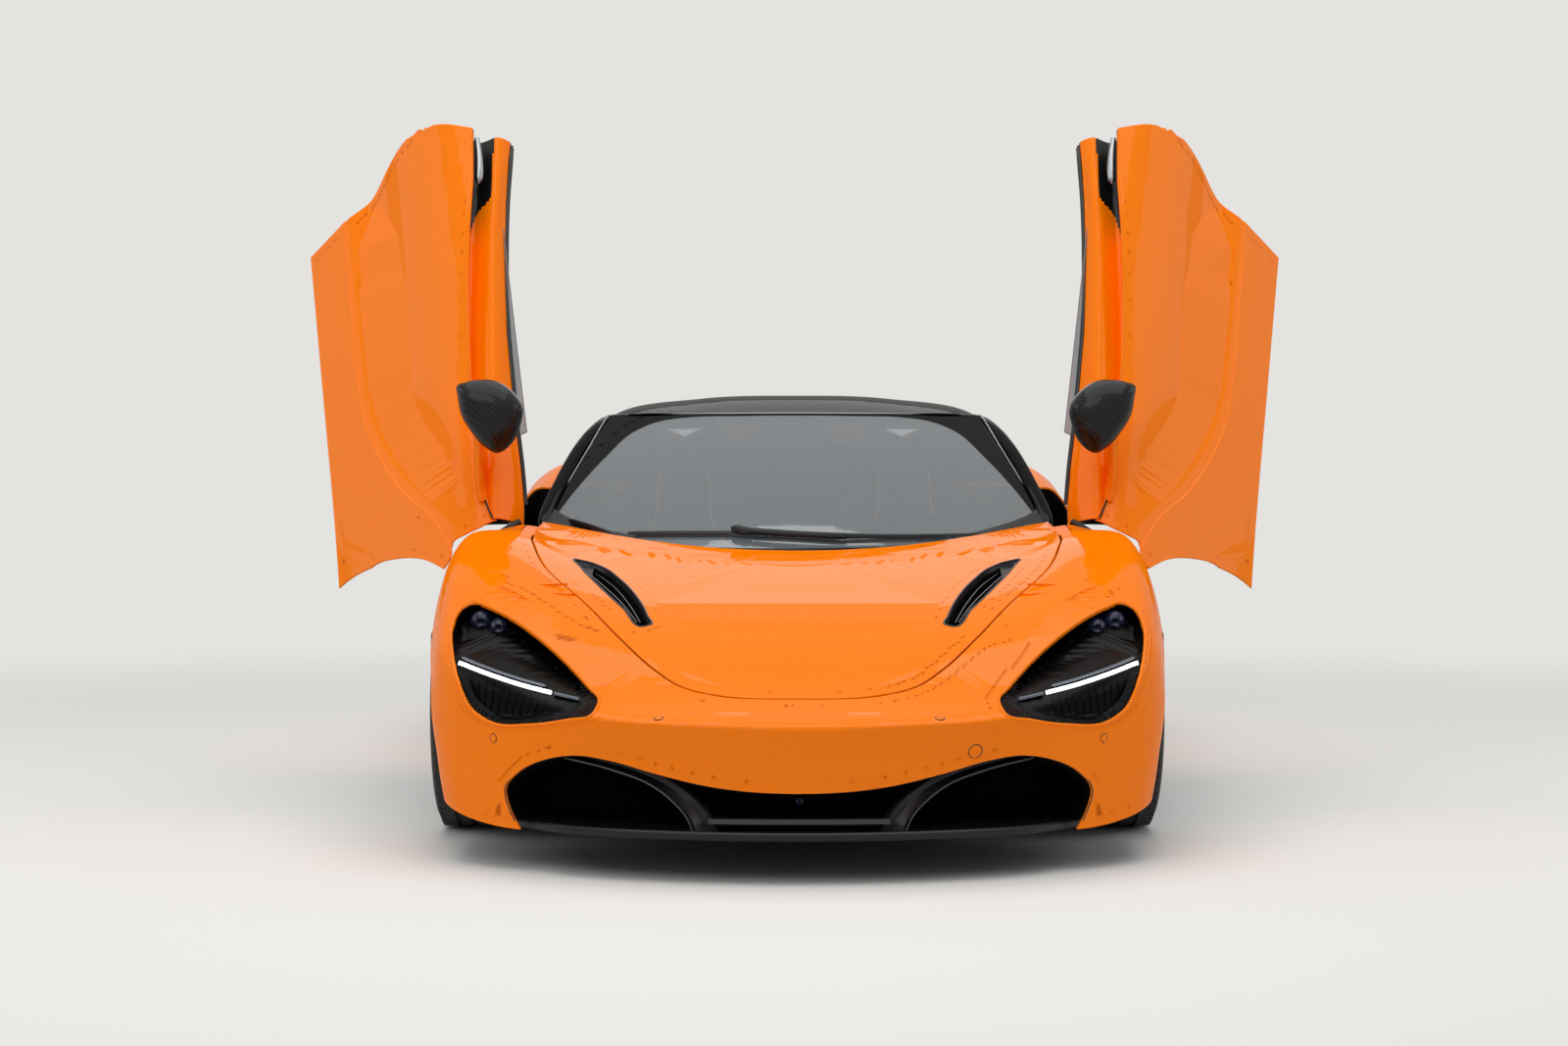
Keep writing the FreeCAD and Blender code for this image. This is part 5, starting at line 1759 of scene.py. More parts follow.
class Greenhouse:
    """Windscreen, pillars, roof, rear screen, buttresses and engine cover."""

    BASE = ((737.0, -690.0, 776.0), (0.0, -989.0, 737.0))
    HEAD = ((576.0, -60.0, 1123.0), (0.0, -232.0, 1128.0))
    BULGE = 14.0
    FLAT = 700.0
    SAMPLES = 121
    OUT = (0, -0.4, 0.917)
    FACING = (0, -0.4, 1)

    def __init__(self) -> None:
        """Samples the two edges of the windscreen and the canopy."""
        self.canopy = Loft(CANOPY_ROWS)
        self.base, self.head = self._arc(*self.BASE), self._arc(*self.HEAD)

    def _arc(self, corner: Sequence[float], middle: Sequence[float]) -> Array:
        """Samples of the circle through a corner, the middle and the mirrored corner."""
        half = corner[0]
        rise = math.dist(corner[1:], middle[1:])
        radius = (half * half + rise * rise) / (2 * rise)
        reach = math.asin(half / radius)
        turn = np.linspace(-reach, reach, self.SAMPLES)
        depth = (radius - radius * np.cos(turn)) / rise
        middle_row, corner_row = np.array(middle, float), np.array(corner, float)
        out = middle_row + depth[:, None] * (corner_row - middle_row)
        out[:, 0] = radius * np.sin(turn)
        return out

    def lift(self, flat: Array) -> Array:
        """Lifts rows of (across, up), each within plus or minus FLAT and 0 to FLAT, onto the screen."""
        u, t = flat[:, 0] / self.FLAT, flat[:, 1] / self.FLAT
        samples = np.arange(self.SAMPLES)
        at = (u + 1) / 2 * samples[-1]
        low, high = (np.stack([np.interp(at, samples, edge[:, k]) for k in range(3)], 1)
                     for edge in (self.base, self.head))
        swell = self.BULGE * np.sin(math.pi * np.clip(t, 0, 1)) * (1 - 0.5 * u * u)
        return low + (high - low) * t[:, None] + swell[:, None] * np.array(self.OUT)

    def screen(self) -> Sheet:
        """The windscreen's outer face."""
        across = np.linspace(-self.FLAT, self.FLAT, 73)
        rows = [self.lift(np.stack([across, np.full(73, v)], 1)) for v in np.linspace(0, self.FLAT, 33)]
        return face_out(grid_sheet(rows), self.FACING)

    def over(self, us: Array, vs: Array, line: Array, shift: Sequence[float], hole: bool = False) -> Sheet:
        """A sheet that lies on the windscreen.

        Args:
            us: grid positions across.
            vs: grid positions up.
            line: its outline in the screen's flat coordinates.
            shift: how it stands off the glass.
            hole: whether the outline is its opening.

        Returns:
            The surface.
        """
        lifted = cut_flat(us, vs, line, lambda flat: self.lift(flat) + np.array(shift), hole)
        return face_out(lifted, self.FACING)

    def frit(self) -> Sheet:
        """The black border printed on the windscreen."""
        half = ((0, 10), (500, 12), (640, 22), (670, 62), (670, 190), (654, 280), (616, 440), (556, 602),
                (476, 664), (390, 684), (200, 691), (0, 693))
        line = curve_through(mirrored_outline(half), 14.0, closed=True)
        us, vs = np.linspace(-self.FLAT, self.FLAT, 57), np.linspace(0, self.FLAT, 29)
        return self.over(us, vs, line, (0, -0.5, 1.2), hole=True)

    def pillar(self, name: str, side: int) -> bpy.types.Object:
        """A black windscreen pillar outboard of the glass."""
        points = ((726, -704, 766), (729, -645, 800), (694, -420, 928), (640, -190, 1046), (594, -40, 1108),
                  (566, 90, 1126))
        path = curve_through([(side * x, y, z) for x, y, z in points], 18.0)
        size = np.interp(np.linspace(0, 1, len(path)), (0, 0.12, 0.7, 1), (0.5, 1.0, 1.0, 0.5))
        return sweep(name, path, oval(20, 21, 13, 0.7, 0.7), scale=size)

    def pillar_highlight_line(self, name: str, side: int) -> bpy.types.Object:
        """A thin bright strip between pillar and glass, standing in for the pillar's edge highlight: a
        painted highlight.
        """
        points = [(side * 741, -694, 784), (side * 665, -388, 946), (side * 580, -66, 1127)]
        return sweep(name, curve_through(points, 20.0), disc_ring(2.4, 8))

    def header_line(self, name: str) -> bpy.types.Object:
        """The thin strip across the top of the glass."""
        return sweep(name, self.head + np.array([0, 3.0, 3.5]), disc_ring(1.8, 8))

    def corner_cover(self) -> Sheet:
        """The black cover over the left lower corner of the glass."""
        points = [(699, -6), (699, 124), (650, 96), (600, 78), (500, 50), (404, 22), (380, -6)]
        line = curve_through(points, 10.0, closed=True, corners=(0, 1, 6))
        return self.over(np.arange(370.0, 706.0, 12.0), np.arange(-10.0, 130.0, 8.0), line, (0, -3.0, 7.0))

    def cowl(self, body: Loft) -> Sheet:
        """The painted panel between the bonnet and the foot of the glass.

        Args:
            body: the body's surface.

        Returns:
            The panel's outer face.
        """
        foot = [(x, y - 9) for x, y, _ in self.base[116:59:-8]]
        side = [(0, -1012), (400, -1005), (764, -993), (764, -822), (732, -806), (726, -712)]
        whole = mirrored_outline(side + foot + [(0, -998)])
        line = curve_through(whole, 12.0, closed=True, corners=tuple(range(len(whole))))

        def lift(flat: Array) -> Array:
            """On the body's surface."""
            return np.stack([flat[:, 0], flat[:, 1], body.top(flat[:, 0], flat[:, 1]) - 1], 1)

        us, vs = np.arange(-770.0, 771.0, 14.0), np.arange(-1020.0, -690.0, 10.0)
        return face_out(cut_sheet(us, vs, [ring(line)], lambda p: inside(p[:, :2], line), lift), (0, 0, 1))

    def blade(self, points: Sequence, width: float, height: float, finish: Finish) -> bpy.types.Object:
        """A wiper blade or arm that lies along the glass.

        Args:
            points: across and up on the glass, and the height over it.
            width: its width.
            height: its height.
            finish: its finish.

        Returns:
            The piece.
        """
        line = curve_through(points, 14.0)
        path = self.lift(line[:, :2]) + line[:, 2:] * np.array(self.OUT)
        profile = np.array([(-1, -0.6), (-0.7, -1), (0.7, -1), (1, -0.6), (0.6, 0.7), (0.2, 1), (-0.2, 1),
                            (-0.6, 0.7)]) * (width / 2, height / 2)
        size = np.interp(np.linspace(0, 1, len(path)), (0, 0.04, 0.96, 1), (0.5, 1, 1, 0.5))
        return painted(sweep("blade", path, profile, up=self.OUT, scale=size), finish)

    def wipers(self) -> list[bpy.types.Object]:
        """Both wipers, parked along the foot of the glass.

        Returns:
            The left blade with its rubber, the arms, the right blade and two clips.
        """
        made = []
        for points, width, height, finish in (
                ([(-430, 40, 9), (-290, 56, 9), (-143, 64, 9), (0, 58, 9), (125, 42, 9)], 15, 11, TRIM),
                ([(-430, 34, 2), (-290, 50, 2), (-143, 58, 2), (0, 52, 2), (125, 36, 2)], 6, 5, SEAL),
                ([(-150, 62, 24), (0, 46, 24), (150, 34, 22), (376, 22, 18)], 17, 12, SATIN),
                ([(-620, 66, 16), (-540, 48, 14), (-462, 22, 12)], 20, 12, SATIN),
                ([(110, 48, 8), (250, 46, 8), (420, 34, 8), (520, 22, 8)], 13, 9, TRIM),
                ([(-161, 66, 22), (-125, 64, 22)], 24, 20, SATIN),
                ([(-146, 60, 22), (-110, 58, 22)], 24, 20, SATIN)):
            made.append(self.blade(points, width, height, finish))
        return made

    def roof(self) -> Sheet:
        """The black roof from the header to the rear screen."""
        side = curve_through([(-330, 960), (-120, 1092), (60, 1110), (300, 1116), (450, 1076), (600, 1040)],
                             10.0)
        rear = 562.0

        def keep(points: Array) -> Array:
            """Behind the header and above the side windows."""
            header = np.interp(np.abs(points[:, 0]), self.head[60:, 0], self.head[60:, 1])
            above = points[:, 2] > np.interp(points[:, 1], side[:, 0], side[:, 1])
            return (points[:, 1] > header + 1) & (points[:, 1] < rear) & above

        lines = [self.canopy.by_side(side), self.canopy.by_plan(self.head[60:]) + (1, 0),
                 np.array([(rear, 0.0), (rear, 1000.0)])]
        top = self.canopy.girth[-1]
        us, vs = np.arange(-250.0, 590.0, 16.0), np.arange(200.0, top + 1, 14.0)
        vs = np.append(vs[vs < top - 3], top)
        return face_out(cut_sheet(us, vs, lines, keep, self.canopy.skin), (0, 0, 1)).whole()

    def deck(self, start: float, stop: float, outline: Sequence = (), hole: Sequence = ()) -> Sheet:
        """Part of the rear canopy in plan.

        Args:
            start: the first y.
            stop: the last y.
            outline: the plan outline of the left half that is kept, or an empty one for all.
            hole: the plan outline of the left half that is left out, or an empty one.

        Returns:
            The surface of both halves.
        """
        kept, left_out = ([curve_through(mirrored_outline(half), 12.0, closed=True)] if half else []
                          for half in (outline, hole))

        def keep(points: Array) -> Array:
            """Inside the outline and outside the holes."""
            plan = points[:, :2]
            ok = (plan[:, 1] > start) & (plan[:, 1] < stop)
            for line in kept:
                ok &= inside(plan, line)
            for line in left_out:
                ok &= ~inside(plan, line)
            return ok

        lines = []
        for line in left_out + kept:
            left = line[line[:, 0] >= 0]
            left = left[np.argsort(left[:, 1])]
            left = left[left[:, 0] > 20]
            lines.append(self.canopy.by_plan(left))
            for x, y in (left[0], left[-1]):
                across = np.linspace(0, x, 30)
                lines.append(self.canopy.by_plan(np.stack([across, np.full(30, y)], 1)))
        step = 16.0
        top = self.canopy.girth[-1]
        us, vs = np.arange(start, stop + 1, step), np.linspace(0, top, int(top / step))
        return face_out(cut_sheet(us, vs, lines, keep, self.canopy.skin), (0, 0, 1)).whole()


@dataclass
class Headlamp:
    """The black bowl behind a lamp opening, with projectors and the daylight bar."""

    front: FrontEnd

    def depth(self, points: Array) -> Array:
        """How deep the bowl lies behind the painted surface at front-view x, z."""
        x, z = points[:, 0], points[:, 1]
        ridge = 508 - (845 - x) * (508 - 424) / (845 - 527)
        above = (z - ridge) * 0.946
        deep = np.interp(above, (-160, -110, -40, -16, -6, 0, 7, 34, 90, 160),
                         (26, 34, 33, 30, 22, 20, 30, 66, 84, 70))
        line = self.front.lamp_line
        away = np.sqrt(((points[:, None, :] - line[None, :, :]) ** 2).sum(2)).min(1)
        share = np.clip(away / 22, 0, 1)
        return 3 + (deep - 3) * share * share * (3 - 2 * share)

    def place(self, xz: Array, raise_mm: float = 0.0) -> Array:
        """Points of the bowl at front-view x, z, raised from its floor."""
        flat = self.front.nose.from_front(xz)
        lifted = self.front.nose.lift(flat)
        lifted[:, 1] += self.depth(xz) - raise_mm
        return lifted

    def bowl(self) -> Sheet:
        """The moulded black inside of the lamp."""
        nose = self.front.nose

        def lift(flat: Array) -> Array:
            """The nose pushed in by the depth of the bowl."""
            points = nose.lift(flat)
            points[:, 1] += self.depth(points[:, [0, 2]])
            return points

        edge = nose.from_front(self.front.grown(self.front.lamp_line, 5.0))
        us = np.arange(edge[:, 0].min() - 12, edge[:, 0].max() + 12, 6.0)
        return face_out(cut_flat(us, np.arange(330.0, 642.0, 6.0), edge, lift), (0, -1, 0))

    def bar(self, name: str, points: Sequence, height: float, raise_mm: float,
            depth: float) -> bpy.types.Object:
        """A bar that follows front-view points on the bowl.

        Args:
            name: the piece's name.
            points: x and z of its line.
            height: its half height.
            raise_mm: how far it stands off the bowl.
            depth: its half depth.

        Returns:
            The piece.
        """
        path = self.place(curve_through(points, 8.0), raise_mm)
        return sweep(name, path, oval(12, depth, height, 1.0, 0.6))

    def pieces(self) -> list[bpy.types.Object]:
        """All the parts of the left lamp.

        Returns:
            The painted rim, the bowl, three bars, two projectors and the ribs under them.
        """
        nose = self.front.nose
        rim = nose.lift(nose.from_front(self.front.grown(self.front.lamp_line, 3.0)))
        rim[:, 1] += 1.0
        made = [painted(sweep("rim", rim, disc_ring(4.2, 10), closed=True), PAINT),
                painted(shell("bowl", self.bowl(), 4.0, 0.8, 2), LAMP_BLACK)]
        for name, points, height, raise_mm, depth, finish in (
                ("light", [(836, 494), (750, 469), (674, 449), (597, 433)], 5.0, 10.0, 4.0, DAY_LIGHT),
                ("step", [(826, 505), (750, 482), (674, 461), (612, 447)], 3.0, 8.0, 5.0, BAR_GREY),
                ("tip", [(588, 431), (556, 425), (527, 420)], 4.0, 8.0, 4.0, BAR_GREY)):
            made.append(painted(self.bar(name, points, height, raise_mm, depth), finish))
        # The projectors' blue and violet are painted reflection.
        for x, z, radius in ((800, 582, 25), (752, 570, 21)):
            seat = self.place(np.array([(x, z)], float), 12.0)[0]
            profile = [(0, 0.1), (-8, radius * 0.5), (-3, radius * 0.86), (3, radius), (14, radius + 5),
                       (20, radius + 5), (20, 0.1)]
            made.append(painted(turned_piece("projector", profile, seat, 40, "y"), LENS_PAINTED_REFLECTION))
        first, spacing = 610.0, 19.0
        for x in np.arange(first, 800.0, spacing):
            points = [(x, 418 + (x - first) * 0.2), (x + 4, 398), (x + 8, 380)]
            made.append(painted(self.bar("rib", points, 1.6, 1.0, 1.6), LAMP_BLACK))
        return made


@dataclass
class Intake:
    """Black mouth under the nose: lip, struts, bar and ducts."""

    front: FrontEnd

    def lip(self) -> Sheet:
        """The band that leads from the painted edge into the mouth.

        Returns:
            The surface of both halves.
        """
        edge = self.front.nose.lift(self.front.mouth_flat(self.front.intake_line))
        edge = edge[edge[:, 2] > 119]
        rows = []
        for back, shrink in ((1, 0.0), (12, 1.5), (34, 7.0), (95, 16.0), (150, 18.0)):
            row = edge.copy()
            row[:, 1] += back
            row[:, 2] -= np.clip((edge[:, 2] - 130) / 60, 0, 1) * shrink
            row[:, 0] -= np.clip((edge[:, 0] - 560) / 100, 0, 1) * shrink * 1.4
            rows.append(row)
        return grid_sheet(rows).whole()

    def back(self) -> Sheet:
        """The wall deep in the mouth, bowed like the nose; its near-black finish is painted shade."""
        radius, rows = Nose.ARC_RADIUS, []
        x = np.linspace(-760, 760, 61)
        for z in np.linspace(112, 300, 14):
            y = NOSE_Y + radius - np.sqrt(radius ** 2 - np.abs(x * 0.96) ** 2) + 130 + (300 - z) * 0.1
            rows.append(np.stack([x, y, np.full(61, z)], 1))
        return face_out(grid_sheet(rows), (0, -1, 0))

    def strut(self, name: str) -> bpy.types.Object:
        """The left forked strut that sweeps from the lip down to the splitter.

        Args:
            name: the piece's name.

        Returns:
            The strut, with two rounded ridges and a trough between them.
        """
        outer = curve_through([(560, 278), (440, 254), (351, 224), (300, 190), (262, 150), (246, 112)], 6.0)
        inner = curve_through([(470, 286), (333, 254), (266, 218), (226, 184), (196, 146), (178, 112)], 6.0)
        sides = [resampled(line, 26) for line in (outer, inner)]
        section = ((0.0, 4), (0.12, -3), (0.24, 3), (0.5, 12), (0.76, 3), (0.88, -3), (1.0, 4), (1.0, 34),
                   (0.0, 34))
        front_y = np.interp(sides[0][:, 0], (196, 300, 560), (-2228, -2200, -2092))
        rows = []
        for a, b, y in zip(*sides, front_y):
            spots = [(a + (b - a) * share, y + deep) for share, deep in section]
            rows.append(np.array([(spot[0], depth, spot[1]) for spot, depth in spots]))
        sheet = grid_sheet(rows, closed=True).capped(len(section))
        return outward(make_mesh(name, sheet.points, sheet.faces), 50)

    def edge(self, name: str) -> bpy.types.Object:
        """The bead along the duct side of the left strut, drawn grey as a painted highlight."""
        line = curve_through([(560, 282), (440, 257), (351, 227), (300, 192), (264, 152), (250, 118)], 6.0)
        y = np.interp(line[:, 0], (196, 300, 560), (-2231, -2203, -2095))
        return sweep(name, np.stack([line[:, 0], y, line[:, 1]], 1), disc_ring(2.4, 8))

    def bar(self, name: str) -> bpy.types.Object:
        """The level bar between the struts."""
        half = 212
        x = np.linspace(-half, half, 40)
        path = np.stack([x, -2222 + (np.abs(x) / half) ** 2 * 12, np.full(40, 146.0)], 1)
        return sweep(name, path, np.array([(-16, -6), (16, -6), (14, 6), (-10, 7)], float))

    def vane(self, name: str) -> bpy.types.Object:
        """A curved vane in the left side duct."""
        points = [(380, -2040, 166), (330, -2060, 150), (296, -2090, 140), (262, -2120, 136)]
        return sweep(name, curve_through(points, 10.0), oval(12, 22, 3.5))


def splitter_outline() -> Array:
    """Plan outline of the front splitter."""
    half = ((0, NOSE_Y), (300, -2233), (560, -2126), (690, -1990), (776, -1890), (840, -1700), (560, -1600),
            (0, -1600))
    return curve_through(mirrored_outline(half), 20.0, closed=True, corners=(5, 6, 8, 9))


@dataclass
class RearEnd:
    """Quarters, tail wall, tail lamps and mesh grille."""

    body: Loft
    canopy: Loft
    arch_radius: float = REAR_ARCH_R + EDGE_ROLL
    half_chord: float = 870.0
    bow: float = 150.0

    def wall_y(self, x: Array) -> Array:
        """The plan curve of the tail."""
        radius = (self.half_chord ** 2 + self.bow ** 2) / (2 * self.bow)
        return TAIL_Y - radius + np.sqrt(radius ** 2 - np.minimum(np.abs(x), 985.0) ** 2)

    def side_line(self) -> Array:
        """The quarter's front edge beside the door, from the sill up."""
        return curve_through([(265, 126), (265, 222), (291, 296), (317, 371), (367, 472), (433, 556),
                              (474, 640), (488, 702), (474, 792), (441, 876), (433, 960)], 10.0, corners=(1,))

    def quarter(self) -> Sheet:
        """The left side from the door to the tail, with the rear deck's shoulder.

        Returns:
            The surface of one side.
        """
        arch = circle(*REAR_AXLE, self.arch_radius, -32, 212, 120)
        door = self.side_line()
        body, canopy = self.body, self.canopy

        def keep(points: Array) -> Array:
            """Behind the door, round the arch, outside the canopy and ahead of the tail."""
            y, z = points[:, 1], points[:, 2]
            behind = y > np.interp(z, door[:, 1], door[:, 0])
            away = outside_arch(points, REAR_AXLE, self.arch_radius)
            free = (z > canopy.top(points[:, 0], y) - 6) | (y > 2075)
            low = np.interp(y, (0, 1100, 1850, 2290), (140, 140, 190, 262))
            return behind & away & free & (y < self.wall_y(points[:, 0])) & (z > low)

        across = np.linspace(0, 900, 90)
        tail = np.stack([across, self.wall_y(across)], 1)
        side_tail = []
        for z in np.arange(270.0, 780.0, 12.0):
            ys = np.arange(2100.0, 2240.0, 1.0)
            miss = np.abs(self.wall_y(body.side(ys, np.full(len(ys), z))) - ys)
            side_tail.append((ys[miss.argmin()], z))
        lines = [body.by_side(door), body.by_side(arch), body.by_plan(tail),
                 body.by_side(np.array(side_tail))]
        us = np.concatenate([np.arange(240.0, 2080.0, 15.0), np.arange(2080.0, 2290.0, 8.0)])
        vs = np.linspace(0.0, body.girth[-1], 105)
        return face_out(cut_sheet(us, vs, lines, keep, self.hollow), (1, 0, 1)).half()

    def hollow(self, flat: Array) -> Array:
        """The flank with the door's hollow running out behind it."""
        points = self.body.skin(flat)
        y, z = points[:, 1], points[:, 2]
        line = np.interp(y, (200, 330, 500, 800, 1100), (372, 378, 384, 400, 430))
        above = z - line
        points[:, 0] -= hollow_depth(above, np.interp(y, (200, 330, 600, 900, 1080), (31, 31, 28, 17, 0)))
        return points

    def tail_wall(self) -> Sheet:
        """The painted rear wall round the black panel.

        Returns:
            The surface.
        """
        sill_z = 262
        half = ((0, 800), (600, 800), (790, 740), (800, 640), (640, 520), (560, 400), (0, 400))
        opening = curve_through(mirrored_outline(half), 12.0, closed=True)
        body = self.body

        def lift(flat: Array) -> Array:
            """Puts front-view x, z on the curve of the tail."""
            return np.stack([flat[:, 0], self.wall_y(flat[:, 0]), flat[:, 1]], 1)

        def keep(points: Array) -> Array:
            """Inside the body's end, outside the panel's opening, above the diffuser."""
            x, y, z = points.T
            ok = (z < body.top(x, y)) & (np.abs(x) < body.side(y, z)) & (z > sill_z)
            return ok & ~inside(points[:, [0, 2]], opening)

        xs = np.linspace(0, 880, 200)
        top = body.top(xs, self.wall_y(xs))
        edge = np.stack([xs, top], 1)[top > 500]
        flank = []
        for z in np.arange(sill_z, 800.0, 8.0):
            x = np.arange(780.0, 910.0, 0.5)
            flank.append((x[np.abs(body.side(self.wall_y(x), np.full(len(x), z)) - x).argmin()], z))
        lines = [edge, edge * (-1, 1), np.array(flank), np.array(flank) * (-1, 1), ring(opening)]
        us, vs = np.arange(-910.0, 911.0, 14.0), np.arange(255.0, 900.0, 14.0)
        return face_out(cut_sheet(us, vs, lines, keep, lift), (0, 1, 0))

    def lamp_bar(self, name: str) -> bpy.types.Object:
        """The left tail lamp: a slim red line round the black panel's outer corner."""
        line = curve_through([(150, 789), (400, 790), (596, 786), (768, 733), (789, 704), (786, 650),
                              (742, 600)], 9.0)
        path = np.stack([line[:, 0], self.wall_y(line[:, 0]) - 9, line[:, 1]], 1)
        size = np.interp(np.linspace(0, 1, len(path)), (0, 0.08, 0.9, 1), (0.4, 1, 1, 0.4))
        return painted(sweep(name, path, disc_ring(7.5, 12), scale=size), RED_LENS)

    def mesh_grille(self) -> bpy.types.Object:
        """The hexagon mesh over the engine bay's outlet.

        Returns:
            The piece: rows of cells, every other one half a cell along.
        """
        radius, bar, depth, count = 15.0, 2.2, 8, 40
        turn = np.radians(np.arange(6) * 60 + 30)
        outer = np.stack([np.cos(turn), np.sin(turn)], 1)
        wide, narrow = radius + bar, radius - bar
        corners = ((wide, 0), (narrow, 0), (narrow, depth), (wide, depth), (wide, 0))
        rows = [np.insert(outer * scale, 1, y, axis=1) for scale, y in corners]
        sheet = grid_sheet(rows, closed=True).welded()
        cell = outward(make_mesh("cell", sheet.points, sheet.faces), 20)
        across = radius * math.sqrt(3)
        row = repeated("grille_row", cell, count, SATIN, (across, 0, 0),
                       centre_mm=(-across * (count / 2 - 0.25), 2122, 430))
        rows = [row]
        for k in range(1, 13):
            copy = row.copy()
            copy.data = row.data.copy()
            bpy.context.scene.collection.objects.link(copy)
            shift = Vector(((k % 2) * across / 2, 0, radius * 1.5 * k)) * MM
            copy.data.transform(Matrix.Translation(shift))
            rows.append(copy)
        return join("tail_mesh", rows)


@dataclass
class Wheel:
    """A left wheel: tyre with tread, forged rim and brake disc."""

    x: float
    y: float
    radius: float
    width: float
    rim: float

    def __post_init__(self) -> None:
        """Puts the axle at the tyre's radius above the ground."""
        self.centre = (self.x, self.y, self.radius)

    def tyre(self, name: str) -> bpy.types.Object:
        """The tyre with its grooves and shoulder blocks.

        Args:
            name: the piece's name.

        Returns:
            The piece.
        """
        half, r = self.width / 2, self.radius
        inner = [(-half + 9, self.rim + 1), (-half + 2, self.rim + 12), (-half, self.rim + 34),
                 (-half + 3, r - 26), (-half + 9, r - 14), (-half + 22, r - 6)]
        profile = list(inner)
        for groove in (-0.52, -0.18, 0.18, 0.52):
            x = groove * half
            profile += [(x - 6, r - 1), (x - 4.5, r - 7), (x + 4.5, r - 7), (x + 6, r - 1)]
        profile += [(-x, high) for x, high in reversed(inner)]
        parts = [painted(turned_piece("carcass", profile, self.centre, 120), RUBBER)]
        block = np.array([(-9.0, r - 12), (9.0, r - 12), (7.5, r - 2.2), (-7.5, r - 2.2)])
        count = 60
        for low, high in ((half * 0.6, half - 12), (-half + 12, -half * 0.6)):
            parts.append(repeated("lugs", slab("lug", block, low, high, 0, 1.0), count, RUBBER,
                                  turn_deg=360 / count, centre_mm=self.centre))
        return join(name, parts)

    def rim_piece(self, name: str) -> bpy.types.Object:
        """The forged rim: barrel, ten split spokes, hub, cap, bolts and brake disc.

        Args:
            name: the piece's name.

        Returns:
            The piece.
        """
        seat, r = self.width / 2 - 12, self.rim
        face = seat - 30
        disc_x = face - 78
        barrel = [(-seat, r), (-seat, r - 14), (-seat + 14, r - 9), (seat - 40, r - 10), (seat - 26, r - 24),
                  (seat - 6, r - 22), (seat, r - 14), (seat, r)]
        hub = [(disc_x, 31), (disc_x, 62), (face + 4, 62), (face + 12, 56), (face + 18, 40), (face + 18, 31)]
        cap = [(face + 6, 0.1), (face + 6, 31), (face + 18, 31), (face + 22, 26), (face + 22, 0.1)]
        disc = [(disc_x - 32, 64), (disc_x - 32, 195), (disc_x - 20, 195), (disc_x - 20, 190),
                (disc_x - 12, 190), (disc_x - 12, 195), (disc_x, 195), (disc_x, 96), (disc_x + 6, 92),
                (disc_x + 6, 64)]
        pieces = [painted(turned_piece(label, profile, self.centre, count), finish)
                  for label, profile, count, finish in (("barrel", barrel, 96, RIM), ("hub", hub, 60, RIM),
                                                        ("cap", cap, 60, SATIN))]
        rows = []
        for z, y, half_y, x in ((50, 0, 17, face), (100, 3, 9, face + 6), (160, 8, 7, face + 8),
                                (r - 16, 16, 9, face + 12)):
            rows.append(np.array([(x - 16, y - half_y, z), (x + 6, y - half_y * 0.7, z), (x + 8, y, z),
                                  (x + 6, y + half_y * 0.7, z), (x - 16, y + half_y, z)]))
        spokes, bolts = 10, 5
        for sign in (-1, 1):
            sheet = grid_sheet([row * (1, sign, 1) for row in rows], closed=True)
            sheet.faces += [tuple(range(5)), tuple(range(15, 20))]
            spoke = outward(make_mesh("spoke", sheet.points, sheet.faces), 25)
            pieces.append(repeated("spokes", spoke, spokes, RIM, turn_deg=360 / spokes,
                                   centre_mm=self.centre))
        bolt = slab("bolt", disc_ring(9, 6) + (0, 44), face + 8, face + 24, 0, 1.5)
        pieces.append(repeated("bolts", bolt, bolts, STEEL, turn_deg=360 / bolts, centre_mm=self.centre))
        pieces.append(painted(turned_piece("disc", disc, self.centre, 96), DISC))
        return join(name, pieces)


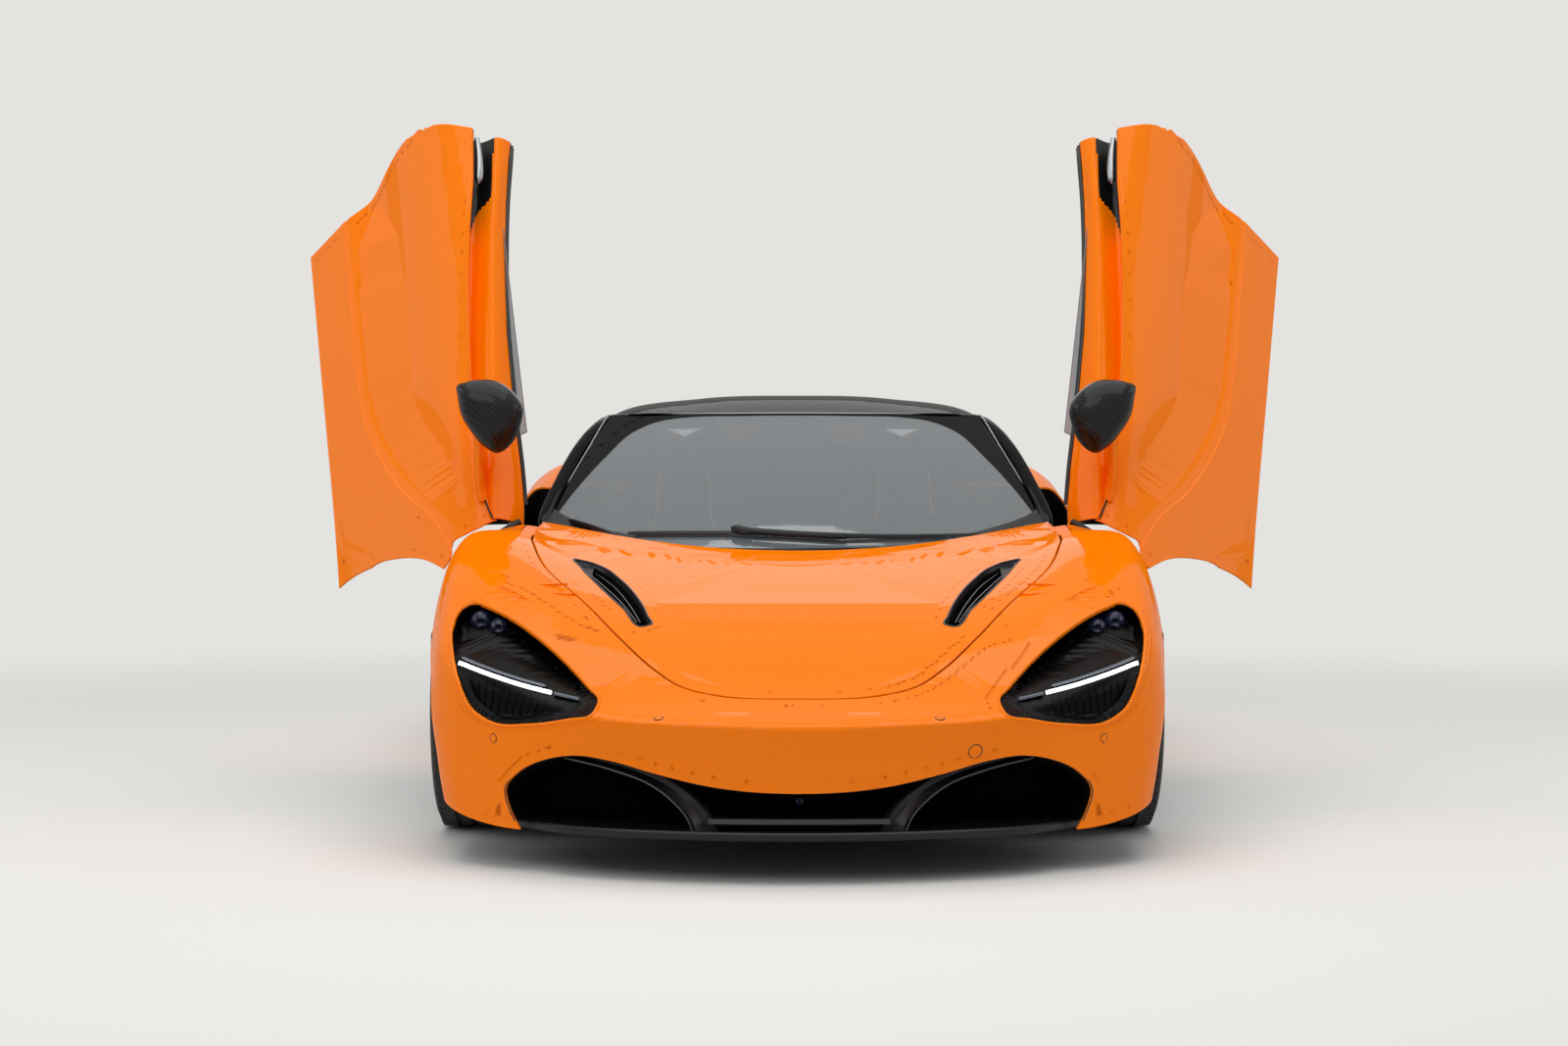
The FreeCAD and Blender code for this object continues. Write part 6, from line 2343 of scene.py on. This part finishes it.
@dataclass
class Cabin:
    """Seats, steering wheel, dash top and the pads on them."""

    seat_x: float = 355.0
    ring_count: int = 36
    cloth_frames: int = 20
    pressure: float = 4.0
    voxel_m: float = 0.0075
    quick_voxel_m: float = 0.014

    def pad(self, name: str, rows: Sequence[Sequence[float]], finish: Finish,
            cap_mm: float = 9.0) -> bpy.types.Object:
        """A padded panel: a closed form swelled as cloth over its filling.

        Args:
            name: the pad's name.
            rows: along the seat, each y, z, half width, thickness, normal y and normal z.
            finish: its leather.
            cap_mm: how far a point may swell.

        Returns:
            The pad, with its simulation applied.
        """
        rings = []
        for y, z, half, thick, ny, nz in rows:
            across, out = oval(self.ring_count, half, thick / 2, 0.45, 0.6).T
            rings.append(np.stack([self.seat_x + across, y + out * ny, z + out * nz], 1))
        sheet = grid_sheet(rings, closed=True).capped(self.ring_count)
        piece = outward(make_mesh(name, sheet.points, sheet.faces), 80)
        remesh = piece.modifiers.new("even", "REMESH")
        remesh.mode = "VOXEL"
        remesh.voxel_size = self.voxel_m
        self._apply(piece)
        self._swell(piece, cap_mm)
        for polygon in piece.data.polygons:
            polygon.use_smooth = True
        return painted(piece, finish)

    def _apply(self, piece: bpy.types.Object) -> None:
        """Turns a piece's modifiers into its mesh."""
        graph = bpy.context.evaluated_depsgraph_get()
        mesh = bpy.data.meshes.new_from_object(piece.evaluated_get(graph))
        piece.modifiers.clear()
        old, piece.data = piece.data, mesh
        bpy.data.meshes.remove(old)

    def _swell(self, piece: bpy.types.Object, cap_mm: float) -> None:
        """Runs the cloth and limits the move of each point."""
        scene = bpy.context.scene
        start = np.zeros(len(piece.data.vertices) * 3)
        piece.data.vertices.foreach_get("co", start)
        cloth = piece.modifiers.new("cloth", "CLOTH")
        cloth.settings.use_pressure = True
        cloth.settings.uniform_pressure_force = self.pressure
        cloth.settings.effector_weights.gravity = 0.0
        cloth.settings.quality = 3
        cloth.point_cache.frame_end = self.cloth_frames
        for frame in range(1, self.cloth_frames + 1):
            scene.frame_set(frame)
        self._apply(piece)
        scene.frame_set(1)
        end = np.zeros(len(start))
        piece.data.vertices.foreach_get("co", end)
        move = (end - start).reshape(-1, 3)
        size = np.linalg.norm(move, axis=1, keepdims=True)
        move *= np.minimum(1, cap_mm * MM / np.maximum(size, 1e-9))
        piece.data.vertices.foreach_set("co", (start.reshape(-1, 3) + move).ravel())
        piece.data.update()

    def shell(self, name: str) -> bpy.types.Object:
        """The hard seat shell with its bolsters, on the left seat.

        Args:
            name: the piece's name.

        Returns:
            The shell.
        """
        across = np.array([-1.0, -0.93, -0.8, -0.5, 0, 0.5, 0.8, 0.93, 1.0])
        rise = np.array([1.0, 0.86, 0.3, 0.0, 0, 0.0, 0.3, 0.86, 1.0])
        rows = []
        for y, z, half, wing, ny, nz in ((-338, 205, 150, 0, -0.4, 0.9), (-318, 262, 200, 20, -0.5, 0.86),
                                         (-150, 262, 212, 62, 0.1, 1), (40, 236, 214, 70, -0.2, 0.98),
                                         (110, 262, 212, 78, -0.7, 0.72), (170, 390, 214, 92, -0.92, 0.38),
                                         (250, 620, 216, 92, -0.94, 0.34), (312, 800, 206, 70, -0.94, 0.33),
                                         (352, 900, 150, 26, -0.95, 0.3), (378, 980, 104, 8, -0.95, 0.3)):
            lift = rise * wing
            rows.append(np.stack([self.seat_x + across * half, y + lift * ny, z + lift * nz], 1))
        table = np.array(rows)
        at = np.linspace(0, len(rows) - 1, 60)
        stations = np.arange(len(rows), dtype=float)
        along = np.array([spline(stations, column, at) for column in table.transpose(1, 0, 2)])
        knots = np.arange(float(len(across)))
        fine = [spline(knots, row, np.linspace(0, knots[-1], 41)) for row in along.transpose(1, 0, 2)]
        return shell(name, face_out(grid_sheet(fine), (0, -1, 0.6)), 22.0, 6.0, 3)

    def seat(self, side: str) -> None:
        """One whole seat with its pads.

        Args:
            side: left or right.
        """
        base = [(-325, 250, 60, 22, -0.45, 0.9), (-296, 288, 120, 40, -0.3, 0.95),
                (-150, 282, 132, 46, 0.06, 1), (20, 258, 134, 46, 0.0, 1), (84, 268, 128, 34, -0.5, 0.86)]
        back = [(120, 318, 120, 30, -0.93, 0.36), (146, 400, 128, 48, -0.93, 0.36),
                (226, 620, 134, 50, -0.94, 0.34), (276, 760, 126, 44, -0.94, 0.34),
                (296, 816, 110, 26, -0.94, 0.33)]
        head = [(312, 862, 74, 22, -0.95, 0.3), (318, 880, 88, 34, -0.95, 0.3),
                (336, 936, 78, 34, -0.95, 0.3), (350, 972, 62, 20, -0.95, 0.3)]
        edge = ((150, -262, 316), (176, -60, 318), (172, 96, 330), (166, 176, 520), (140, 226, 700),
                (92, 266, 790), (84, 306, 900), (78, 330, 952))
        piping = curve_through([(self.seat_x - out, y, z) for out, y, z in edge], 14.0)
        parts = [painted(self.shell("seat_shell"), LEATHER)]
        for line in (piping, piping * (-1, 1, 1) + (2 * self.seat_x, 0, 0)):
            parts.append(painted(sweep("piping", line, disc_ring(6.5, 10)), ORANGE_LEATHER))
        shell_piece = join("seat_shell_" + side, parts)
        pads = [self.pad("seat_base_" + side, base, SUEDE), self.pad("seat_back_" + side, back, SUEDE),
                self.pad("seat_head_" + side, head, SUEDE, 5.0)]
        for piece in [shell_piece] + pads:
            if side == "right":
                flip(piece)
            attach(piece, "body")
        if side == "left":
            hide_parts("seats")

    def shelf(self, name: str) -> bpy.types.Object:
        """The trimmed deck behind the seats with its two orange end pads.

        Args:
            name: the piece's name.

        Returns:
            The piece.
        """
        side = np.array([(540, 872), (556, 905), (980, 968), (1004, 962), (1004, 930), (556, 850)], float)
        pieces = [painted(slab("deck", side, -430, 430, 0, 6.0), LEATHER)]
        pad = np.array([(128, 1042), (218, 1042), (241, 1110), (103, 1110)], float)
        leg = np.array([(168, 890), (178, 890), (178, 1050), (168, 1050)], float)
        for sign in (-1, 1):
            pieces.append(painted(slab("end_pad", pad * (sign, 1), 408, 424, 1, 5.0), PAINT))
            pieces.append(painted(slab("leg", leg * (sign, 1), 414, 420, 1, 1.0), TRIM))
        return join(name, pieces)

    def steering(self, name: str) -> bpy.types.Object:
        """The steering wheel with a flat-bottomed rim, spokes, hub and column.

        Args:
            name: the piece's name.

        Returns:
            The piece.
        """
        centre = np.array([360.0, -330.0, 655.0])
        tilt, radius, facing = math.radians(21.7), 168, (0, -1, 0.4)

        def leaned(x: Array, z: Array, back: float = 0.0) -> Array:
            """Points of the wheel's plane, put where the wheel stands."""
            return np.stack([x, z * math.sin(tilt) - back, z * math.cos(tilt)], 1) + centre

        turn = np.linspace(0, 2 * math.pi, 90, endpoint=False)
        rim = leaned(np.sin(turn) * radius, np.maximum(np.cos(turn) * radius, -140))
        pieces = [painted(sweep("ring", rim, disc_ring(14.5, 14), closed=True, up=facing), SUEDE)]
        level, steep = np.array([(150, 0), (90, -4), (40, 0)]), np.array([(34, -40), (30, -90), (28, -136)])
        for spoke in (level * (-1, 1), level, steep * (-1, 1), steep):
            path = curve_through(leaned(*spoke.T, 2.0), 12.0)
            pieces.append(painted(sweep("spoke", path, disc_ring(9, 10), up=facing), SATIN))
        hub = [(-26, 0.1), (-26, 34), (-20, 48), (0, 54), (16, 50), (16, 0.1)]
        column = [(16, 0.1), (16, 26), (150, 30), (150, 0.1)]
        for label, profile, count, angle, finish in (("hub", hub, 40, -tilt, LEATHER),
                                                     ("column", column, 30, math.pi - tilt, TRIM)):
            piece = turned_piece(label, profile, (0, 0, 0), count, "y")
            piece.data.transform(Matrix.Translation(Vector(centre) * MM) @ Matrix.Rotation(angle, 4, "X"))
            pieces.append(painted(piece, finish))
        return join(name, pieces)

    def dash(self, name: str) -> bpy.types.Object:
        """The dash with its rolled top, vents and screen.

        Args:
            name: the piece's name.

        Returns:
            The piece.
        """
        side = curve_through([(-758, 560), (-520, 545), (-440, 580), (-424, 640), (-452, 700), (-500, 728),
                              (-600, 738), (-758, 744)], 14.0, closed=True, corners=(0, 7))
        hood = curve_through([(-590, 728), (-470, 716), (-428, 722), (-432, 758), (-480, 778), (-580, 764)],
                             10.0, closed=True)
        panel = curve_through([(-60, 600), (60, 600), (74, 742), (-74, 742)], 12.0, closed=True,
                              corners=range(4))
        pieces = [painted(slab("dash_body", side, -640, 640, 0, 10.0), LEATHER),
                  painted(slab("hood", hood, 262, 458, 0, 8.0), SUEDE),
                  painted(slab("screen", panel, -440, -414, 1, 4.0), LAMP_BLACK)]
        for x in (-560, -150, 150, 560):
            vent = np.array([(x - 46, 655), (x + 46, 655), (x + 40, 690), (x - 40, 690)], float)
            pieces.append(painted(slab("vent", vent, -436, -418, 1, 3.0), SATIN))
        return join(name, pieces)


def flip(piece: bpy.types.Object) -> bpy.types.Object:
    """Mirrors a mesh to the other side of the car and keeps its faces outward."""
    mesh = bmesh.new()
    mesh.from_mesh(piece.data)
    bmesh.ops.scale(mesh, vec=(-1, 1, 1), verts=mesh.verts)
    bmesh.ops.reverse_faces(mesh, faces=mesh.faces)
    mesh.to_mesh(piece.data)
    mesh.free()
    return piece


def copy_flipped(piece: bpy.types.Object, name: str) -> bpy.types.Object:
    """A mirrored copy of a piece."""
    copy = piece.copy()
    copy.data = piece.data.copy()
    copy.name = name
    copy.data.name = name
    bpy.context.scene.collection.objects.link(copy)
    return flip(copy)


def pair(piece: bpy.types.Object, body: str, slot: str, nodes: Sequence[str] = (),
         sided: bool = False) -> None:
    """Makes a mirrored copy of a left piece and attaches both to their bodies.

    Args:
        piece: the left piece, whose name ends in _left.
        body: the body, without its side where it has one.
        slot: the material slot; not used.
        nodes: replaced nodes, without their side where they have one.
        sided: whether body and nodes have a left and a right.
    """
    other = copy_flipped(piece, piece.name.replace("_left", "_right"))
    for part, side in ((piece, "left"), (other, "right")):
        if sided:
            settle(part, f"{body}_{side}", slot, [f"{node}_{side}" for node in nodes])
        else:
            settle(part, body, slot, nodes if side == "left" else ())


def carry_over(frame: dict) -> None:
    """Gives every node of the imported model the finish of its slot."""
    slots = {row["node"]: row["material_slot"] for row in frame["record"]["subparts"]}
    for name, node in frame["nodes"].items():
        finish = NODE_FINISH.get(slots.get(name, ""), TRIM)
        node.data.materials.clear()
        node.data.materials.append(finish.build())


def build_front(body: Loft) -> None:
    """Nose, bonnet, fenders, lamps, mouth and splitter."""
    front = FrontEnd(body, Nose(body))
    dress(shell("bonnet_skin", front.bonnet()), "bonnet", ["bonnet"])
    pair(join("bonnet_vent_left", front.vent_bowl()), "bonnet", "satin_black")
    studs = []
    for x, z, radius, proud in ((739, 320, 10.5, 1.6), (-739, 320, 10.5, 1.6), (331, 387, 10.5, 1.6),
                                (-331, 387, 10.5, 1.6), (417, 305, 17, 0.2)):
        studs += front.stud("stud", x, z, radius, proud)
    settle(join("bumper_sensors", studs), "body", "orange_paint")
    dress(shell("bumper_skin", front.bumper()), "body", ["front_bumper"])
    fender = front.fender()
    dress(shell("fender_skin_left", fender), "body", ["front_fenders"])
    dress(shell("fender_skin_right", fender.mirrored()), "body")
    pair(join("headlamp_left", Headlamp(front).pieces()), "body", "lamp_black", ["headlamps"])
    intake = Intake(front)
    lip = face_out(intake.lip(), (0, 0, -1))
    # Lip, bar and struts are painted a little lighter than satin black: painted highlight.
    mouth = [painted(shell("lip", lip, 3.0, 0.5, 1), MOUTH_HIGHLIGHTED),
             # The back wall's near-black finish is painted shade.
             painted(shell("back", intake.back(), 4.0, 0.5, 1), SHADE_BLACK), painted(intake.bar("bar"), MOUTH_HIGHLIGHTED)]
    # The struts' beads are grey as a painted highlight.
    for maker, finish in ((intake.strut, MOUTH_HIGHLIGHTED), (intake.vane, SATIN), (intake.edge, EDGE)):
        left = painted(maker("part"), finish)
        mouth += [left, copy_flipped(left, "part")]
    camera = [(0, 0.1), (-5, 4), (-3, 8), (6, 9), (6, 0.1)]
    # The camera lens's blue and violet are painted reflection.
    mouth.append(painted(turned_piece("camera_eye", camera, (1, -2190, 190), 24, "y"), LENS_PAINTED_REFLECTION))
    settle(join("front_mouth", mouth), "body", "satin_black", ["intake_grille"])
    settle(painted(slab("splitter", splitter_outline(), 104, 124, 2, 4.0), SATIN), "body", "satin_black",
           ["front_splitter"])


def build_top(body: Loft) -> Greenhouse:
    """Windscreen, pillars, roof, rear deck and wipers."""
    top = Greenhouse()
    settle(painted(shell("windscreen_glass", top.screen(), 5.0, 1.0, 2), GLASS), "body", "clear_glass",
           ["windscreen"])
    settle(painted(shell("windscreen_frit", top.frit(), 0.8, 0.2, 1), GLOSS_BLACK), "body", "gloss_black")
    dress(shell("cowl_panel", top.cowl(body), 4.0), "body", ["cowl"])
    settle(join("wipers", top.wipers()), "body", "satin_black")
    roof = [painted(shell("roof", top.roof(), 8.0, 2.5, 3), GLOSS_BLACK),
            painted(top.header_line("line"), SILVER)]
    cover = top.corner_cover()
    for sheet in (cover, cover.mirrored()):
        roof.append(painted(shell("corner", sheet, 6.0, 1.5, 2), TRIM))
    # Beside each pillar, a bright strip stands in for the pillar's edge highlight: painted highlight.
    for side in (-1, 1):
        roof += [painted(top.pillar("pillar", side), GLOSS_BLACK),
                 painted(top.pillar_highlight_line("line", side), SILVER)]
    settle(join("roof_and_pillars", roof), "body", "gloss_black", ["roof_frame"])
    tail_end = ((330, 1600), (260, 2060), (0, 2060))
    glass_plan = ((0, 566), (436, 566), (452, 640), (440, 900), (300, 1006), (0, 1006))
    engine_plan = ((0, 1012), (300, 1012), (380, 1100)) + tail_end
    opening = ((0, 560), (436, 560), (452, 640), (444, 900), (396, 1050), (380, 1110)) + tail_end
    glass = shell("rear_glass", top.deck(566, 1008, glass_plan), 5.0, 1.0, 2)
    settle(painted(glass, DARK_GLASS), "body", "dark_glass", ["rear_screen"])
    buttress = shell("buttress_skin", top.deck(566, 2070, hole=opening), 6.0, 2.0, 3)
    settle(painted(buttress, PAINT), "body", "orange_paint", ["rear_buttresses"])
    lid = [painted(shell("cover", top.deck(1014, 2058, engine_plan), 6.0, 2.0, 3), SATIN)]
    for y in np.arange(9) * 88 + 1190.0:
        z = float(top.canopy.top(np.array([0.0]), np.array([y]))[0])
        outline = np.array([(y - 18, z + 1), (y + 30, z + 13), (y + 31, z + 17), (y - 18, z + 6)])
        lid.append(painted(slab("slat", outline, -170, 170, 0, 1.2), SATIN))
    settle(join("engine_lid", lid), "body", "satin_black", ["engine_cover"])
    return top


def build_door_skin(door: Door, place: Place) -> None:
    """The painted skin and the air channel of both doors.

    Args:
        door: the door.
        place: its turn from shut to open.
    """
    skin = coated(shell("door_skin_left", door.skin().turned(place), 5.0), PAINT, TRIM)
    pair(skin, "door", "orange_paint", ["door_skin"], sided=True)
    duct = coated(shell("door_channel_left", door.channel().turned(place), 4.0, 1.2, 2), PAINT, TRIM, SATIN)
    # Where the duct opens into the body, the channel's floor is drawn satin black: painted shade standing in
    # for the opening.
    centres = rotated(DOOR_OPEN_DEG, DOOR_HINGE[1], DOOR_HINGE[0])(
        np.array([polygon.center[:] for polygon in duct.data.polygons]) / MM)
    for polygon, (x, y, _) in zip(duct.data.polygons, centres):
        lip_x, wall = door.lip(y)[0], door.wall_x(y)
        middle, half = (lip_x + wall) / 2, (lip_x - wall) / 2
        if y > 100 + 130 * ((x - middle) / half) ** 2 and wall + 1 < x < lip_x - 5:
            polygon.material_index = 2
    pair(duct, "door", "orange_paint", sided=True)


def build_door_trim(door: Door, place: Place) -> None:
    """The tray, armrest, speaker, seal and rod of both doors.

    Args:
        door: the door.
        place: its turn from shut to open.
    """
    parts = [painted(shell("panel", sheet.turned(place), 4.0, 1.5, 2), LEATHER if k == 0 else TRIM)
             for k, sheet in enumerate(door.tray())]
    pair(join("door_tray_left", parts), "door", "trim_plastic", ["door_inner"], sided=True)
    rest = curve_through([(716, -330, 468), (706, -200, 494), (704, 60, 512), (714, 230, 532)], 16.0)
    size = np.interp(np.linspace(0, 1, len(rest)), (0, 0.12, 0.85, 1), (0.4, 1, 1, 0.4))
    grip = curve_through([(722, -70, 596), (704, -40, 608), (702, 70, 616), (722, 110, 606)], 8.0)
    stitch = curve_through([(726, -480, 560), (725, -200, 584), (725, 60, 640), (729, 330, 700)], 12.0)
    inner = [painted(sweep("arm", place(rest), disc_ring(1.0, 18) * (24, 34), scale=size), SUEDE),
             painted(sweep("grip", place(grip), disc_ring(7.5, 12)), SILVER),
             painted(sweep("stitch", place(stitch), disc_ring(3.0, 8)), ORANGE_LEATHER)]
    speaker = [(3, 0.1), (1, 58), (-2, 70), (-2, 80), (3, 84)]
    cone = outward(turned_piece("speaker", speaker, (724, -520, 350), 48))
    for vertex in cone.data.vertices:
        vertex.co = Vector(place(np.array([vertex.co[:]]) / MM)[0]) * MM
    inner.append(painted(cone, SATIN))
    pair(join("door_armrest_left", inner), "door", "dark_leather", sided=True)
    upper = []
    for y in (-735, -635, -520, -380, -210, 5, 221, 400):
        x, z = door.seal_at(y)
        upper.append((x - 6, y, z - 4))
    rear = [(709, 418, 880), (716, 428, 866), (721, 436, 840), (722, 442, 800), (722, 438, 640),
            (722, 356, 473), (724, 304, 372)]
    seal = painted(sweep("door_seal_left", place(curve_through(upper + rear, 12.0)), disc_ring(8, 10)), SEAL)
    rod = curve_through([(850, 404, 872), (846, 340, 868), (843, 280, 856), (842, 262, 850)], 8.0)
    size = np.interp(np.linspace(0, 1, len(rod)), (0, 0.7, 0.9, 1), (0.6, 1.0, 0.95, 0.3))
    # The rod's satin chrome, brighter than its own satin grey, is a painted highlight.
    rod_piece = painted(sweep("door_rod_left", place(rod), disc_ring(12.5, 16), scale=size), SILVER)
    pair(rod_piece, "door", "satin_black", sided=True)
    pair(seal, "door", "trim_plastic", sided=True)


def build_mirrors() -> None:
    """Both mirrors, turned open with their doors."""
    shape = MirrorShape()
    whole = join("door_mirror_left", [shape.head("head"), painted(shape.stalk("stalk"), PAINT)])
    turn = np.array(Matrix.Rotation(math.radians(-DOOR_OPEN_DEG), 3, Vector(DOOR_HINGE[1])))
    shift = np.array(DOOR_HINGE[0]) - turn @ np.array(DOOR_HINGE[0])
    whole.data.transform(Matrix.Translation(Vector(shift) * MM) @ Matrix(turn.tolist()).to_4x4())
    pair(whole, "door", "carbon", ["door_mirror"], sided=True)


def build_doors(body: Loft) -> None:
    """Both doors with their channels, trays, seals and mirrors."""
    door = Door(body)
    build_door_skin(door, door.place())
    build_door_trim(door, door.place())
    build_mirrors()


def build_rear(body: Loft, canopy: Loft) -> None:
    """Quarters, tail wall, lamps and mesh."""
    rear = RearEnd(body, canopy)
    quarter = rear.quarter()
    dress(shell("quarter_skin_left", quarter), "body", ["rear_quarters"])
    dress(shell("quarter_skin_right", quarter.mirrored()), "body")
    dress(shell("tail_skin", rear.tail_wall(), 5.0), "body")
    settle(rear.mesh_grille(), "body", "satin_black")
    pair(rear.lamp_bar("tail_lamp_bar_left"), "body", "red_lens", ["tail_lamps"])


def build_wheels() -> None:
    """All four wheels."""
    for end, wheel in (("front", Wheel(837.0, *FRONT_AXLE, 245.0, 246.0)),
                       ("rear", Wheel(814.5, *REAR_AXLE, 305.0, 258.0))):
        for maker, label, slot in ((wheel.tyre, "tyre", "tyre_rubber"),
                                   (wheel.rim_piece, "rim", "rim_metal")):
            piece = maker(f"{label}_{end}_piece_left")
            other = copy_flipped(piece, f"{label}_{end}_piece_right")
            settle(piece, f"wheel_{end}_left", slot, [f"{label}_{end}_left"])
            settle(other, f"wheel_{end}_right", slot, [f"{label}_{end}_right"])


def build_cabin() -> None:
    """Seats, wheel and dash."""
    cabin = Cabin()
    for side in ("left", "right"):
        cabin.seat(side)
    settle(cabin.steering("steering_wheel_piece"), "body", "dark_leather", ["steering_wheel"])
    settle(cabin.dash("dash_piece"), "body", "dark_leather", ["dashboard"])
    settle(cabin.shelf("rear_shelf"), "body", "dark_leather")


def main() -> None:
    """Builds the car piece by piece."""
    logging.basicConfig(level=logging.INFO, format="%(message)s")
    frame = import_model()
    carry_over(frame)
    Studio().build()
    body = Loft(BODY_ROWS)
    build_front(body)
    top = build_top(body)
    build_doors(body)
    build_rear(body, top.canopy)
    build_wheels()
    build_cabin()


if __name__ == "__main__":
    main()
